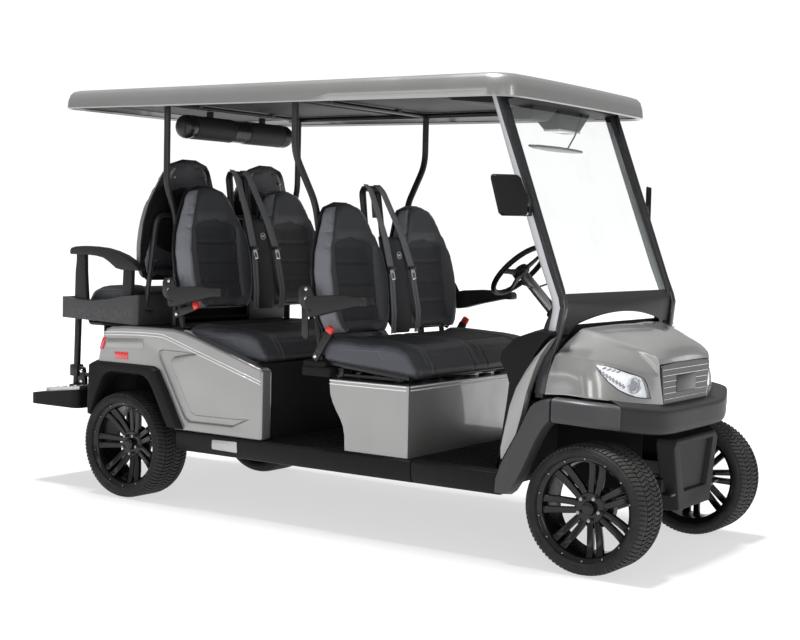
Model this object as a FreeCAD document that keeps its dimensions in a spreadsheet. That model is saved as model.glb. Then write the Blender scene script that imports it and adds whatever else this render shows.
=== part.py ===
"""Six-seat golf cart with a roof, standing on its wheels.

+X is forward, +Y is left and +Z is up. The origin is on the ground under the middle of the cart.
"""
import FreeCAD, Part
import math
import os

import Sketcher
from FreeCAD import Placement, Rotation, Vector

doc = FreeCAD.newDocument("golf_cart")

# Driving dimensions in millimetres. A name that ends in back is a distance behind the front axle.
SIZES = {
    "wheelbase": 2710,
    "track_half": 552,
    "tyre_r": 279.4,
    "tyre_width": 236,
    "rear_end_back": 3500,
    "seat_gap": 0.3,
    "run_gap": 0.05,
    "overrun": 20,
    "skin": 6,
    "panel_wall": 12,
    # Wheels
    "rim_seat_r": 205,
    "tyre_bead_width": 188,
    "tyre_tread_width": 176,
    "rim_wall": 9,
    "rim_flange_r": 216,
    "rim_flange_width": 9,
    "rim_hub_r": 62,
    "rim_face_in": 22,
    "spoke_thickness": 34,
    "spoke_width": 21,
    "spoke_spacing": 40,
    "hub_length": 86,
    # Front axle and steering
    "kingpin_y": 455,
    "kingpin_r": 14,
    "kingpin_half_length": 66,
    "axle_boss_r": 26,
    "axle_boss_half": 36,
    "ear_gap": 2,
    "ear_half_width": 24,
    "knuckle_plate_in": 35,
    "knuckle_plate_thickness": 18,
    "knuckle_plate_half": 30,
    "spindle_r": 16,
    "drum_r": 92,
    "drum_width": 22,
    "axle_beam_half_width": 22,
    "axle_beam_half_height": 18,
    "steer_arm_back": 120,
    "steer_arm_width": 26,
    "steer_arm_thickness": 12,
    "steer_pin_r": 8,
    "steer_pin_length": 34,
    "tie_rod_r": 11,
    "tie_eye_r": 17,
    "tie_eye_height": 20,
    # Chassis
    "rail_y": 240,
    "rail_width": 50,
    "rail_bottom": 320,
    "rail_top": 380,
    "rail_front_back": -180,
    "rail_kick_start_back": 2280,
    "rail_kick_end_back": 2440,
    "rail_kick_rise": 120,
    "rail_end_back": 3050,
    "cross_member_width": 50,
    "tow_hole_r": 6.5,
    "tow_hole_spacing": 200,
    "spring_width": 44,
    "spring_leaf": 6,
    "spring_rise": 14,
    "front_spring_half": 270,
    "rear_spring_half": 370,
    "rear_axle_r": 34,
    "motor_r": 88,
    "motor_length": 250,
    "diff_r": 105,
    "diff_width": 130,
    # Floor and sills
    "floor_thickness": 12,
    "floor_half": 580,
    "floor_front_back": 400,
    "floor_rear_back": 2270,
    "toe_top_back": 340,
    "toe_top": 870,
    "rocker_bottom": 285,
    "rocker_half": 640,
    "rocker_front_back": 430,
    "rocker_chamfer": 18,
    # Front seat box
    "seat_box_front_back": 915,
    "seat_box_depth": 455,
    "seat_box_curve": 93,
    "seat_box_half": 622,
    "seat_box_top": 730,
    "seat_box_wall": 10,
    "battery_length": 300,
    "battery_half": 400,
    "battery_height": 240,
    # Rear body
    "row_space": 332,
    "mid_deck_top": 765,
    "mid_deck_depth": 562,
    "rear_deck_top": 910,
    "rear_deck_depth": 563,
    "quarter_lead": 30,
    "quarter_front_top": 743,
    "quarter_in": 600,
    "quarter_out": 640,
    "quarter_recess": 10,
    # Flares
    "flare_in": 585,
    "flare_out": 676,
    "front_arch_top": 648,
    "front_flare_top": 730,
    "front_arch_rear_back": 288,
    "front_flare_foot_back": 378,
    "front_flare_front_back": -165,
    "rear_arch_top": 645,
    "rear_flare_top": 720,
    "rear_flare_front_back": 2280,
    "rear_flare_rear_back": 3012,
    "rear_flare_foot": 400,
    # Cowl
    "cowl_shoulder": 880,
    "cowl_top": 1035,
    "cowl_front_back": -168,
    "cowl_rear_back": 212,
    "cowl_half": 636,
    "grille_half": 262,
    "grille_foot_half": 232,
    "grille_depth": 22,
    "grille_rim": 14,
    "grille_slat": 8,
    "lamp_depth": 60,
    "bumper_bottom": 580,
    "bumper_front_back": -226,
    "bumper_front_half": 310,
    "bumper_depth": 75,
    "guard_foot": 294,
    "guard_foot_half": 166,
    "guard_depth": 45,
    "guard_recess": 10,
    "liner_y": 282,
    "liner_wall": 5,
    "leg_shield_back": 424,
    "leg_shield_in": 600,
    # Dashboard and steering column
    "dash_half": 528,
    "dash_rear_back": 450,
    "dash_foot": 870,
    "dash_top": 1052,
    "steer_shaft_y": 330,
    "steer_shaft_tilt": 44,
    "steer_shaft_length": 675,
    "steer_shaft_r": 24,
    "wheel_centre_back": 900,
    "wheel_centre_z": 1250,
    "steering_rim_r": 178,
    "steering_rim_tube_r": 14,
    "steering_hub_r": 42,
    "steering_hub_depth": 45,
    "pedal_width": 85,
    "pedal_height": 120,
    "pedal_thickness": 14,
    "pedal_arm_r": 9,
    "pedal_back": 425,
    # Screen
    "pillar_r": 24,
    "pillar_y": 548,
    "pillar_top_back": 521,
    "pillar_knee_back": 176,
    "pillar_knee_z": 1140,
    "pillar_foot_back": 240,
    "pillar_bend": 90,
    "pillar_waist_z": 1035,
    "pillar_foot_y": 608,
    "glass_thickness": 6,
    "screen_panel_top": 1178,
    # Roof
    "back_to_roof": 246,
    "roof_depth": 118,
    "roof_half": 712,
    "roof_front_back": 362,
    "roof_corner_back": 440,
    "roof_rear_back": 3125,
    "roof_wall": 12,
    "roof_tube_r": 14,
    "roof_cross_r": 11,
    "roof_tube_y": 560,
    "roof_bracket_y": 300,
    "strut_r": 17,
    "mid_strut_back": 1650,
    "mid_strut_y": 567,
    "mid_strut_bend_drop": 228,
    "mid_strut_low_drop": 468,
    "mid_strut_low_y": 395,
    "rear_strut_back": 2520,
    "rear_strut_y": 540,
    "rear_strut_bend_drop": 388,
    "rear_strut_low_drop": 548,
    "rear_strut_low_y": 465,
    "strut_bend": 70,
    "sound_bar_r": 56,
    "sound_bar_half": 430,
    "sound_bar_drop": 88,
    "pod_length": 195,
    "pod_half": 180,
    "pod_y": 200,
    "pod_height": 82,
    "mirror_y": 716,
    "mirror_z": 1594,
    "mirror_back": 372,
    "mirror_width": 170,
    "mirror_height": 180,
    "mirror_thickness": 34,
    "mirror_arm_r": 8,
    "cabin_mirror_drop": 190,
    "cabin_mirror_half": 230,
    "cabin_mirror_height": 44,
    # Seats
    "recline": 8.5,
    "back_thickness": 95,
    "back_foot": 150,
    "back_length": 770,
    "back_half": 298,
    "back_top_half": 168,
    "back_y": 308,
    "back_set": 83,
    "front_back_base_z": 800,
    "mid_back_set": 90,
    "mid_back_base_z": 880,
    "back_to_back": 297,
    "rear_back_base_z": 1020,
    "cushion_half": 592,
    "cushion_height": 108,
    "cushion_base_height": 48,
    "cushion_base_in": 26,
    "cushion_overhang": 15,
    "front_cushion_depth": 485,
    "mid_cushion_overhang": 5,
    "mid_cushion_depth": 490,
    "rear_cushion_set": 85,
    "rear_cushion_depth": 393,
    "hinge_r": 7,
    "rear_cushion_half": 540,
    "rear_pan_top": 985,
    "frame_tube_r": 14,
    "frame_cross_r": 10,
    "frame_outer_y": 540,
    "frame_inner_y": 70,
    "frame_height": 640,
    "hoop_height": 860,
    "hoop_bend": 45,
    "ledge_height": 90,
    "belt_width": 46,
    "belt_thickness": 4,
    # Armrests
    "armrest_in": 622,
    "armrest_out": 684,
    "armrest_height": 62,
    "front_arm_level": 341,
    "front_armrest_length": 400,
    "mid_arm_level": 233,
    "mid_armrest_length": 360,
    # Rear side arms and footboard
    "side_tub_rear_back": 3270,
    "side_tub_front_back": 2450,
    "side_tub_top": 1065,
    "side_tub_in": 556,
    "side_tub_out": 622,
    "side_rest_rear_back": 3240,
    "side_rest_front_back": 2720,
    "side_rest_top": 1310,
    "side_rest_thickness": 46,
    "rear_post_r": 15,
    "foot_plate_front_back": 3080,
    "foot_plate_half": 500,
    "foot_plate_z": 430,
    "foot_plate_thickness": 30,
    "foot_post_y": 455,
    "foot_post_back": 3215,
    "grab_bar_r": 14,
    # Tail lamps
    "tail_lamp_z": 774,
    "tail_lamp_height": 66,
    "tail_lamp_length": 60,
}


class Size:
    """A size with its value and the spreadsheet expression that gives it."""

    def __init__(self, value, text):
        self.value = value
        self.text = text

    def joined(self, other, sign, value):
        return Size(value, f"({self.text} {sign} {as_size(other).text})")

    def __add__(self, other):
        return self.joined(other, "+", self.value + as_size(other).value)

    def __sub__(self, other):
        return self.joined(other, "-", self.value - as_size(other).value)

    def __mul__(self, other):
        return self.joined(other, "*", self.value * as_size(other).value)

    def __truediv__(self, other):
        return self.joined(other, "/", self.value / as_size(other).value)

    def __radd__(self, other):
        return as_size(other) + self

    def __rsub__(self, other):
        return as_size(other) - self

    def __rmul__(self, other):
        return as_size(other) * self

    def __neg__(self):
        return self * -1

    def __float__(self):
        return float(self.value)


def as_size(number):
    return number if isinstance(number, Size) else Size(number, repr(number))


class Sizes:
    """The spreadsheet of driving dimensions, read by name."""

    def __init__(self, table):
        self.sheet = doc.addObject("Spreadsheet::Sheet", "sizes")
        for row, (alias, value) in enumerate(table.items(), start=1):
            self.sheet.set(f"A{row}", alias)
            self.sheet.set(f"B{row}", str(value))
            self.sheet.setAlias(f"B{row}", alias)
        doc.recompute()

    def __getattr__(self, alias):
        return Size(float(getattr(self.sheet, alias)), f"sizes.{alias}")


S = Sizes(SIZES)
NODES = {}
RIGHT = -1
LEFT = 1
SIDES = {"right": RIGHT, "left": LEFT}

front_axle_x = (S.rear_end_back - S.tyre_r) / 2
rear_axle_x = front_axle_x - S.wheelbase
floor_top = S.rail_top + S.floor_thickness
cowl_foot = S.front_flare_top + S.seat_gap

# The seat rows, each set behind the one before it
lean_sin = math.sin(math.radians(float(S.recline)))
lean_cos = math.cos(math.radians(float(S.recline)))
seat_box_rear_back = S.seat_box_front_back + S.seat_box_depth
seat_box_foot_back = seat_box_rear_back - S.seat_box_curve
front_cushion_front_back = S.seat_box_front_back - S.cushion_overhang
front_cushion_rear_back = front_cushion_front_back + S.front_cushion_depth
front_back_base_back = front_cushion_rear_back + S.back_set
mid_box_front_back = front_back_base_back + S.row_space
quarter_front_back = mid_box_front_back - S.quarter_lead
deck_step_back = mid_box_front_back + S.mid_deck_depth
rear_deck_end_back = deck_step_back + S.rear_deck_depth
mid_cushion_front_back = mid_box_front_back - S.mid_cushion_overhang
mid_cushion_rear_back = mid_cushion_front_back + S.mid_cushion_depth
mid_back_base_back = mid_cushion_rear_back + S.mid_back_set
rear_back_base_back = mid_back_base_back + S.back_to_back
rear_cushion_front_back = rear_back_base_back + S.rear_cushion_set
rear_cushion_rear_back = rear_cushion_front_back + S.rear_cushion_depth

# The roof, set over the tallest backs
roof_under = S.rear_back_base_z + S.back_length * lean_cos + S.back_to_roof
roof_top = roof_under + S.roof_depth


def at(back):
    """X of a place that lies this far behind the front axle."""
    return front_axle_x - back


def bind(piece, prop, size):
    size = as_size(size)
    setattr(piece, prop, float(size))
    piece.setExpression(prop, size.text)


def put(piece, x=0, y=0, z=0, turn=None):
    """Place a piece at x, y, z, and turn it by a Rotation."""
    piece.Placement = Placement(Vector(float(x), float(y), float(z)), turn or Rotation())
    for axis, size in zip("xyz", (x, y, z)):
        piece.setExpression(f"Placement.Base.{axis}", as_size(size).text)
    return piece


def box(name, x0, x1, y0, y1, z0, z1):
    piece = doc.addObject("Part::Box", name)
    bind(piece, "Length", as_size(x1) - x0)
    bind(piece, "Width", as_size(y1) - y0)
    bind(piece, "Height", as_size(z1) - z0)
    return put(piece, x0, y0, z0)


ALONG = {
    "X": Rotation(Vector(0, 1, 0), 90),
    "Y": Rotation(Vector(1, 0, 0), -90),
    "Z": Rotation(),
}


def cylinder(name, axis, x, y, z, radius, length):
    """Cylinder that starts at x, y, z and runs along +X, +Y or +Z."""
    piece = doc.addObject("Part::Cylinder", name)
    bind(piece, "Radius", radius)
    bind(piece, "Height", length)
    return put(piece, x, y, z, ALONG[axis])


PLANES = {
    "XY": (Rotation(), "z"),
    "XZ": (Rotation(Vector(1, 0, 0), 90), "y"),
    "YZ": (Rotation(Vector(1, 1, 1), 120), "x"),
}


def outline(name, plane, points, level=0):
    """Closed sketch through points on the plane at this level, tied to the sheet."""
    piece = doc.addObject("Sketcher::SketchObject", name)
    corners = [Vector(float(u), float(v), 0) for u, v in points]
    count = len(corners)
    for index in range(count):
        piece.addGeometry(Part.LineSegment(corners[index], corners[(index + 1) % count]), False)
    rules = [Sketcher.Constraint("Coincident", index, 2, (index + 1) % count, 1) for index in range(count)]
    for index, corner in enumerate(corners):
        rules.append(Sketcher.Constraint("DistanceX", -1, 1, index, 1, corner.x))
        rules.append(Sketcher.Constraint("DistanceY", -1, 1, index, 1, corner.y))
    piece.addConstraint(rules)
    for index, (u, v) in enumerate(points):
        piece.setExpression(f"Constraints[{count + 2 * index}]", as_size(u).text)
        piece.setExpression(f"Constraints[{count + 2 * index + 1}]", as_size(v).text)
    turn, axis = PLANES[plane]
    place = {"x": 0, "y": 0, "z": 0, axis: level}
    return put(piece, place["x"], place["y"], place["z"], turn)


def prism(name, plane, points, low, high):
    """Outline pushed out from the low level to the high one."""
    start = high if plane == "XZ" else low
    piece = doc.addObject("Part::Extrusion", name)
    piece.Base = outline(f"{name}_outline", plane, points, start)
    piece.DirMode = "Normal"
    piece.Solid = True
    bind(piece, "LengthFwd", as_size(high) - low)
    return piece


def loft(name, plane, sections, ruled=False):
    """Solid through outlines, each given as its level and its points."""
    piece = doc.addObject("Part::Loft", name)
    piece.Sections = [
        outline(f"{name}_section_{index}", plane, points, level)
        for index, (level, points) in enumerate(sections)
    ]
    piece.Solid = True
    piece.Ruled = ruled
    return piece


def spun(name, points):
    """Ring made by turning an outline of (along, radius) points about the Y axis."""
    piece = doc.addObject("Part::Revolution", name)
    piece.Source = outline(f"{name}_outline", "XY", [(radius, along) for along, radius in points])
    piece.Axis = Vector(0, 1, 0)
    piece.Base = Vector(0, 0, 0)
    piece.Angle = 360
    piece.Solid = True
    return piece


def fuse(name, pieces):
    piece = doc.addObject("Part::MultiFuse", name)
    piece.Shapes = pieces
    piece.Refine = False
    return piece


def cut(name, base, tool):
    piece = doc.addObject("Part::Cut", name)
    piece.Base = base
    piece.Tool = tool
    return piece


def common(name, base, tool):
    piece = doc.addObject("Part::Common", name)
    piece.Base = base
    piece.Tool = tool
    return piece


def mirrored(name, source):
    """The same piece on the other side of the cart."""
    piece = doc.addObject("Part::Mirroring", name)
    piece.Source = source
    piece.Normal = Vector(0, 1, 0)
    piece.Base = Vector(0, 0, 0)
    return piece


def gathered(name, pieces):
    """Several solids that don't touch, kept as one node."""
    piece = doc.addObject("Part::Compound", name)
    piece.Links = pieces
    return piece


def pair(name, source):
    return gathered(name, [source, mirrored(f"{name}_mirrored", source)])


def node(label, piece):
    piece.Label = label
    NODES[label] = piece
    return piece


def bent_bar(name, points, radius, bend):
    """Round bar along straight runs joined by tangent arcs, set from the sheet's values."""
    corners = [Vector(float(x), float(y), float(z)) for x, y, z in points]
    edges = []
    start = corners[0]
    for before, corner, after in zip(corners, corners[1:], corners[2:]):
        inward = (before - corner).normalize()
        outward = (after - corner).normalize()
        half_turn = (math.pi - inward.getAngle(outward)) / 2
        setback = float(bend) * math.tan(half_turn)
        arc_start = corner + inward * setback
        arc_end = corner + outward * setback
        bisector = (inward + outward).normalize()
        middle = corner + bisector * (float(bend) / math.cos(half_turn) - float(bend))
        edges.append(Part.makeLine(start, arc_start))
        edges.append(Part.Arc(arc_start, middle, arc_end).toShape())
        start = arc_end
    edges.append(Part.makeLine(start, corners[-1]))
    path = Part.Wire(edges)
    ring = Part.Wire([Part.makeCircle(float(radius), corners[0], corners[1] - corners[0])])
    piece = doc.addObject("Part::Feature", name)
    piece.Shape = path.makePipeShell([ring], True, True)
    return piece


def rod(name, start, end, radius):
    """Straight round bar between two points, set from the sheet's values."""
    low = Vector(*(float(value) for value in start))
    high = Vector(*(float(value) for value in end))
    piece = doc.addObject("Part::Feature", name)
    piece.Shape = Part.makeCylinder(float(radius), (high - low).Length, low, high - low)
    return piece


# Wheels

def tyre(label, x, side):
    half = S.tyre_width / 2
    bead = S.tyre_bead_width / 2
    tread = S.tyre_tread_width / 2
    seat = S.rim_seat_r + S.seat_gap
    wall = S.tyre_r - S.rim_seat_r
    low_share, high_share, shoulder_share, shoulder_width_share = 0.34, 0.66, 0.92, 0.9
    flange = S.rim_flange_r + S.seat_gap
    points = [
        (-bead, seat),
        (-bead, flange),
        (-half, seat + wall * low_share),
        (-half, seat + wall * high_share),
        (-half * shoulder_width_share, seat + wall * shoulder_share),
        (-tread, S.tyre_r),
        (tread, S.tyre_r),
        (half * shoulder_width_share, seat + wall * shoulder_share),
        (half, seat + wall * high_share),
        (half, seat + wall * low_share),
        (bead, flange),
        (bead, seat),
    ]
    piece = spun(label, points)
    put(piece, x, side * S.track_half, S.tyre_r)
    return node(label, piece)


def rim(label, x, side):
    """Barrel with two flanges, seven twin spokes and a hub with a blind bore from inside."""
    bead = S.tyre_bead_width / 2 + S.seat_gap
    edge = bead + S.rim_flange_width
    inner = S.rim_seat_r - S.rim_wall
    barrel = spun(f"{label}_barrel", [
        (-edge, inner), (edge, inner), (edge, S.rim_flange_r), (bead, S.rim_flange_r),
        (bead, S.rim_seat_r), (-bead, S.rim_seat_r), (-bead, S.rim_flange_r), (-edge, S.rim_flange_r),
    ])
    face = -(edge - S.rim_face_in)
    spokes = []
    spoke_pairs = 7
    for index in range(spoke_pairs):
        turn = Rotation(Vector(0, 1, 0), 360 * index / spoke_pairs + 90)
        for hand in (RIGHT, LEFT):
            spoke = doc.addObject("Part::Box", f"{label}_spoke_{index}_{hand + 1}")
            bind(spoke, "Length", inner + S.rim_wall / 2)
            bind(spoke, "Width", S.spoke_thickness)
            bind(spoke, "Height", S.spoke_width)
            offset = hand * S.spoke_spacing / 2 - S.spoke_width / 2
            local = turn.multVec(Vector(0, 0, float(offset)))
            spoke.Placement = Placement(Vector(local.x, float(face), local.z), turn)
            spoke.setExpression("Placement.Base.y", face.text)
            spoke.setExpression("Placement.Base.x", (offset * (turn.multVec(Vector(0, 0, 1)).x)).text)
            spoke.setExpression("Placement.Base.z", (offset * (turn.multVec(Vector(0, 0, 1)).z)).text)
            spokes.append(spoke)
    hub = cylinder(f"{label}_hub", "Y", 0, face, 0, S.rim_hub_r, S.hub_length)
    solid = fuse(f"{label}_solid", [barrel, hub] + spokes)
    depth = S.hub_length - S.rim_face_in
    bore = cylinder(
        f"{label}_bore", "Y", 0, face + S.rim_face_in, 0, S.spindle_r + S.run_gap, depth + S.overrun
    )
    piece = cut(label, solid, bore)
    put(piece, x, side * S.track_half, S.tyre_r, Rotation(Vector(0, 0, 1), 180 if side == LEFT else 0))
    return node(label, piece)


for end, axle_x in (("front", front_axle_x), ("rear", rear_axle_x)):
    for side_name, side in SIDES.items():
        tyre(f"tyre_{end}_{side_name}", axle_x, side)
        rim(f"rim_{end}_{side_name}", axle_x, side)

# The hub's inner face and the bottom of its bore, measured from the middle of the cart
hub_face_y = S.track_half + S.tyre_bead_width / 2 + S.seat_gap + S.rim_flange_width - S.rim_face_in
bore_end_y = hub_face_y - S.rim_face_in
hub_inner_y = hub_face_y - S.hub_length


# Front axle, knuckles and tie rod

def front_axle():
    z = S.tyre_r
    beam = box(
        "axle_beam", front_axle_x - S.axle_beam_half_width, front_axle_x + S.axle_beam_half_width,
        -S.kingpin_y + S.kingpin_r + S.panel_wall, S.kingpin_y - S.kingpin_r - S.panel_wall,
        z - S.axle_beam_half_height, z + S.axle_beam_half_height,
    )
    bosses = []
    for side_name, side in SIDES.items():
        y = side * S.kingpin_y
        boss = cylinder(
            f"axle_boss_{side_name}", "Z", front_axle_x, y, z - S.axle_boss_half,
            S.axle_boss_r, S.axle_boss_half * 2,
        )
        bosses.append(boss)
    solid = fuse("front_axle_solid", [beam] + bosses)
    bores = [
        cylinder(
            f"kingpin_bore_{side_name}", "Z", front_axle_x, side * S.kingpin_y,
            z - S.axle_boss_half - S.overrun, S.kingpin_r + S.run_gap, (S.axle_boss_half + S.overrun) * 2,
        )
        for side_name, side in SIDES.items()
    ]
    return node("front_axle", cut("front_axle_piece", solid, fuse("kingpin_bores", bores)))


arm_pin_y = S.kingpin_y
arm_z = S.tyre_r - S.kingpin_half_length - S.steer_arm_thickness


def knuckle(side_name, side):
    """Kingpin with two ears, an upright plate, the wheel's spindle and the steering arm."""
    z = S.tyre_r
    name = f"knuckle_{side_name}"
    plate_in = S.kingpin_y + S.knuckle_plate_in
    plate_out = plate_in + S.knuckle_plate_thickness
    ears = []
    for level_name, level in (("top", LEFT), ("bottom", RIGHT)):
        low = S.axle_boss_half + S.ear_gap
        z0, z1 = (z + low, z + S.kingpin_half_length) if level > 0 else (z - S.kingpin_half_length, z - low)
        y0, y1 = S.kingpin_y - S.ear_half_width, plate_out
        ears.append(box(
            f"{name}_ear_{level_name}", front_axle_x - S.ear_half_width, front_axle_x + S.ear_half_width,
            y0 if side > 0 else -y1, y1 if side > 0 else -y0, z0, z1,
        ))
    plate = box(
        f"{name}_plate", front_axle_x - S.knuckle_plate_half, front_axle_x + S.knuckle_plate_half,
        plate_in if side > 0 else -plate_out, plate_out if side > 0 else -plate_in,
        z - S.kingpin_half_length, z + S.kingpin_half_length,
    )
    pin = cylinder(
        f"{name}_kingpin", "Z", front_axle_x, side * S.kingpin_y, z - S.kingpin_half_length,
        S.kingpin_r, S.kingpin_half_length * 2,
    )
    tip = bore_end_y - S.seat_gap
    spindle = cylinder(
        f"{name}_spindle", "Y", front_axle_x, plate_in if side > 0 else -tip, z,
        S.spindle_r, tip - plate_in,
    )
    drum_end = hub_inner_y - S.seat_gap * 4
    drum = cylinder(
        f"{name}_drum", "Y", front_axle_x, plate_out - S.run_gap if side > 0 else -drum_end, z,
        S.drum_r, drum_end - plate_out + S.run_gap,
    )
    half = S.steer_arm_width / 2
    back = front_axle_x - S.steer_arm_back
    arm = prism(f"{name}_arm", "XY", [
        (front_axle_x + half, side * (S.kingpin_y - half)), (front_axle_x + half, side * (S.kingpin_y + half)),
        (front_axle_x - half, side * (S.kingpin_y + half)), (back - half, side * (arm_pin_y + half)),
        (back - half, side * (arm_pin_y - half)), (back + half, side * (arm_pin_y - half)),
    ], arm_z, arm_z + S.steer_arm_thickness)
    arm_pin = cylinder(
        f"{name}_arm_pin", "Z", back, side * arm_pin_y, arm_z - S.steer_pin_length + S.steer_arm_thickness,
        S.steer_pin_r, S.steer_pin_length,
    )
    return node(name, fuse(f"{name}_piece", ears + [plate, pin, spindle, drum, arm, arm_pin]))


def tie_rod():
    """Rod with an eye at each end; the left eye has a wide bore, because that pivot is left open."""
    x = front_axle_x - S.steer_arm_back
    top = arm_z - S.seat_gap
    eyes, bores = [], []
    for side_name, side in SIDES.items():
        y = side * arm_pin_y
        eyes.append(cylinder(f"tie_eye_{side_name}", "Z", x, y, top - S.tie_eye_height, S.tie_eye_r, S.tie_eye_height))
        slack = S.run_gap if side == RIGHT else S.seat_gap
        bores.append(cylinder(
            f"tie_bore_{side_name}", "Z", x, y, top - S.tie_eye_height - S.overrun,
            S.steer_pin_r + slack, S.tie_eye_height + S.overrun * 2,
        ))
    reach = arm_pin_y - S.steer_pin_r - S.spring_leaf / 2
    bar = cylinder("tie_bar", "Y", x, -reach, top - S.tie_eye_height / 2, S.tie_rod_r * 4 / 5, reach * 2)
    solid = fuse("tie_rod_solid", [bar] + eyes)
    return node("tie_rod", cut("tie_rod_piece", solid, fuse("tie_bores", bores)))


front_axle()
for side_name, side in SIDES.items():
    knuckle(side_name, side)
tie_rod()


# Chassis, springs, rear axle and battery

kick_top = S.rail_top + S.rail_kick_rise
kick_bottom = S.rail_bottom + S.rail_kick_rise


def chassis_rails():
    """Two side rails, straight to the rear seat and raised over the rear axle."""
    rail = prism("rail_right", "XZ", [
        (at(S.rail_front_back), S.rail_bottom), (at(S.rail_front_back), S.rail_top),
        (at(S.rail_kick_start_back), S.rail_top), (at(S.rail_kick_end_back), kick_top),
        (at(S.rail_end_back), kick_top), (at(S.rail_end_back), kick_bottom),
        (at(S.rail_kick_end_back), kick_bottom), (at(S.rail_kick_start_back), S.rail_bottom),
    ], -S.rail_y - S.rail_width / 2, -S.rail_y + S.rail_width / 2)
    return node("chassis_rails", pair("chassis_rails_piece", rail))


def cross_members():
    """Bars between the rails, outriggers from the rails to the sills, and two tow holes at the nose."""
    half = S.cross_member_width / 2
    inner = S.rail_y - S.rail_width / 2
    outer = S.rail_y + S.rail_width / 2
    middle_backs = {
        "front": S.floor_front_back + S.cross_member_width,
        "seat": S.seat_box_front_back + S.cross_member_width,
        "step": seat_box_rear_back + S.cross_member_width,
        "mid": mid_box_front_back + S.cross_member_width,
    }
    pieces = []
    for name, back in middle_backs.items():
        for part, low, high in (("mid", -inner, inner), ("right", -S.floor_half, -outer), ("left", outer, S.floor_half)):
            pieces.append(box(
                f"cross_{name}_{part}", at(back + half), at(back - half), low, high, S.rail_bottom, S.rail_top
            ))
    for name, back in (("kick", S.rail_kick_end_back + half), ("tail", S.rail_end_back - half)):
        pieces.append(box(f"cross_{name}", at(back + half), at(back - half), -inner, inner, kick_bottom, kick_top))
    nose_back = S.rail_front_back + half
    nose = box("cross_nose_bar", at(nose_back + half), at(nose_back - half), -inner, inner, S.rail_bottom, S.rail_top)
    holes = [
        cylinder(
            f"tow_hole_{name}", "Z", at(nose_back), side * S.tow_hole_spacing / 2,
            S.rail_bottom - S.overrun, S.tow_hole_r, S.rail_top - S.rail_bottom + S.overrun * 2,
        )
        for name, side in SIDES.items()
    ]
    pieces.append(cut("cross_nose", nose, fuse("tow_holes", holes)))
    return node("cross_members", gathered("cross_members_piece", pieces))


def leaf_stack(name, x, y, base, reach, rise, hangers):
    """Three leaves, the longest on top, with a plate at each end up to the rail."""
    half_width = S.spring_width / 2
    leaf = S.spring_leaf
    leaf_shares = (0.45, 0.72, 1)
    side = [(as_size(0), base)]
    for level, share in enumerate(leaf_shares):
        lift = rise * share * share
        side.append((reach * share, base + leaf * level + lift))
        side.append((reach * share, base + leaf * (level + 1) + lift))
    top = base + leaf * len(leaf_shares)
    points = [(x + across, z) for across, z in side] + [(x, top)]
    points += [(x - across, z) for across, z in side[:0:-1]]
    pieces = [prism(f"{name}_leaves", "XZ", points, y - half_width, y + half_width)]
    for tag, hand, high in (("fore", 1, hangers[0]), ("aft", -1, hangers[1])):
        place = x + (reach - leaf) * hand
        pieces.append(box(
            f"{name}_hanger_{tag}", place - leaf, place + leaf, y - half_width, y + half_width,
            top + rise - leaf / 2, high,
        ))
    return fuse(name, pieces)


def rear_axle():
    z = S.tyre_r
    drum_end = hub_inner_y - S.seat_gap * 4
    tube = cylinder("rear_tube", "Y", rear_axle_x, -drum_end, z, S.rear_axle_r, drum_end * 2)
    tip = bore_end_y - S.seat_gap
    shaft = cylinder("rear_shaft", "Y", rear_axle_x, -tip, z, S.spindle_r, tip * 2)
    drums = [
        cylinder(
            f"rear_drum_{name}", "Y", rear_axle_x, drum_end - S.drum_width if side > 0 else -drum_end, z,
            S.drum_r, S.drum_width,
        )
        for name, side in SIDES.items()
    ]
    diff = cylinder("diff", "Y", rear_axle_x, -S.diff_width / 2, z, S.diff_r, S.diff_width)
    motor = cylinder(
        "motor", "Y", rear_axle_x - S.diff_r - S.motor_r / 2, -S.diff_width / 2, z + S.rear_axle_r,
        S.motor_r, S.motor_length,
    )
    return node("rear_axle", fuse("rear_axle_piece", [tube, shaft, diff, motor] + drums))


def battery_pack():
    middle = at((S.seat_box_front_back + seat_box_foot_back) / 2)
    return node("battery_pack", box(
        "battery_block", middle - S.battery_length / 2, middle + S.battery_length / 2,
        -S.battery_half, S.battery_half, floor_top, floor_top + S.battery_height,
    ))


def leaf_springs():
    """Springs that stand on the front axle and hang under the rear one."""
    stack = S.spring_leaf * 3
    front = leaf_stack(
        "front_spring_right", front_axle_x - S.spring_width, -S.rail_y,
        S.tyre_r + S.axle_beam_half_height + S.seat_gap, S.front_spring_half, as_size(0),
        (S.rail_bottom, S.rail_bottom),
    )
    kick_run = S.rail_kick_end_back - S.rail_kick_start_back
    fore_share = (S.wheelbase - S.rear_spring_half - S.rail_kick_start_back) / kick_run
    rear = leaf_stack(
        "rear_spring_right", rear_axle_x, -S.rail_y, S.tyre_r - S.rear_axle_r - S.seat_gap - stack,
        S.rear_spring_half, S.spring_rise, (S.rail_bottom + S.rail_kick_rise * fore_share, kick_bottom),
    )
    return node("leaf_springs", gathered("leaf_springs_piece", [
        front, mirrored("front_spring_left", front), rear, mirrored("rear_spring_left", rear),
    ]))


chassis_rails()
cross_members()
leaf_springs()
rear_axle()
battery_pack()


# Floor, sills and seat boxes

def floor_pan():
    """Flat floor with the toe board that rises to the dashboard."""
    wall = S.floor_thickness
    return node("floor_pan", prism("floor_pan_piece", "XZ", [
        (at(S.floor_rear_back), S.rail_top), (at(S.floor_front_back), S.rail_top),
        (at(S.toe_top_back), S.toe_top), (at(S.toe_top_back + wall), S.toe_top),
        (at(S.floor_front_back + wall), floor_top), (at(S.floor_rear_back), floor_top),
    ], -S.floor_half, S.floor_half))


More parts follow.
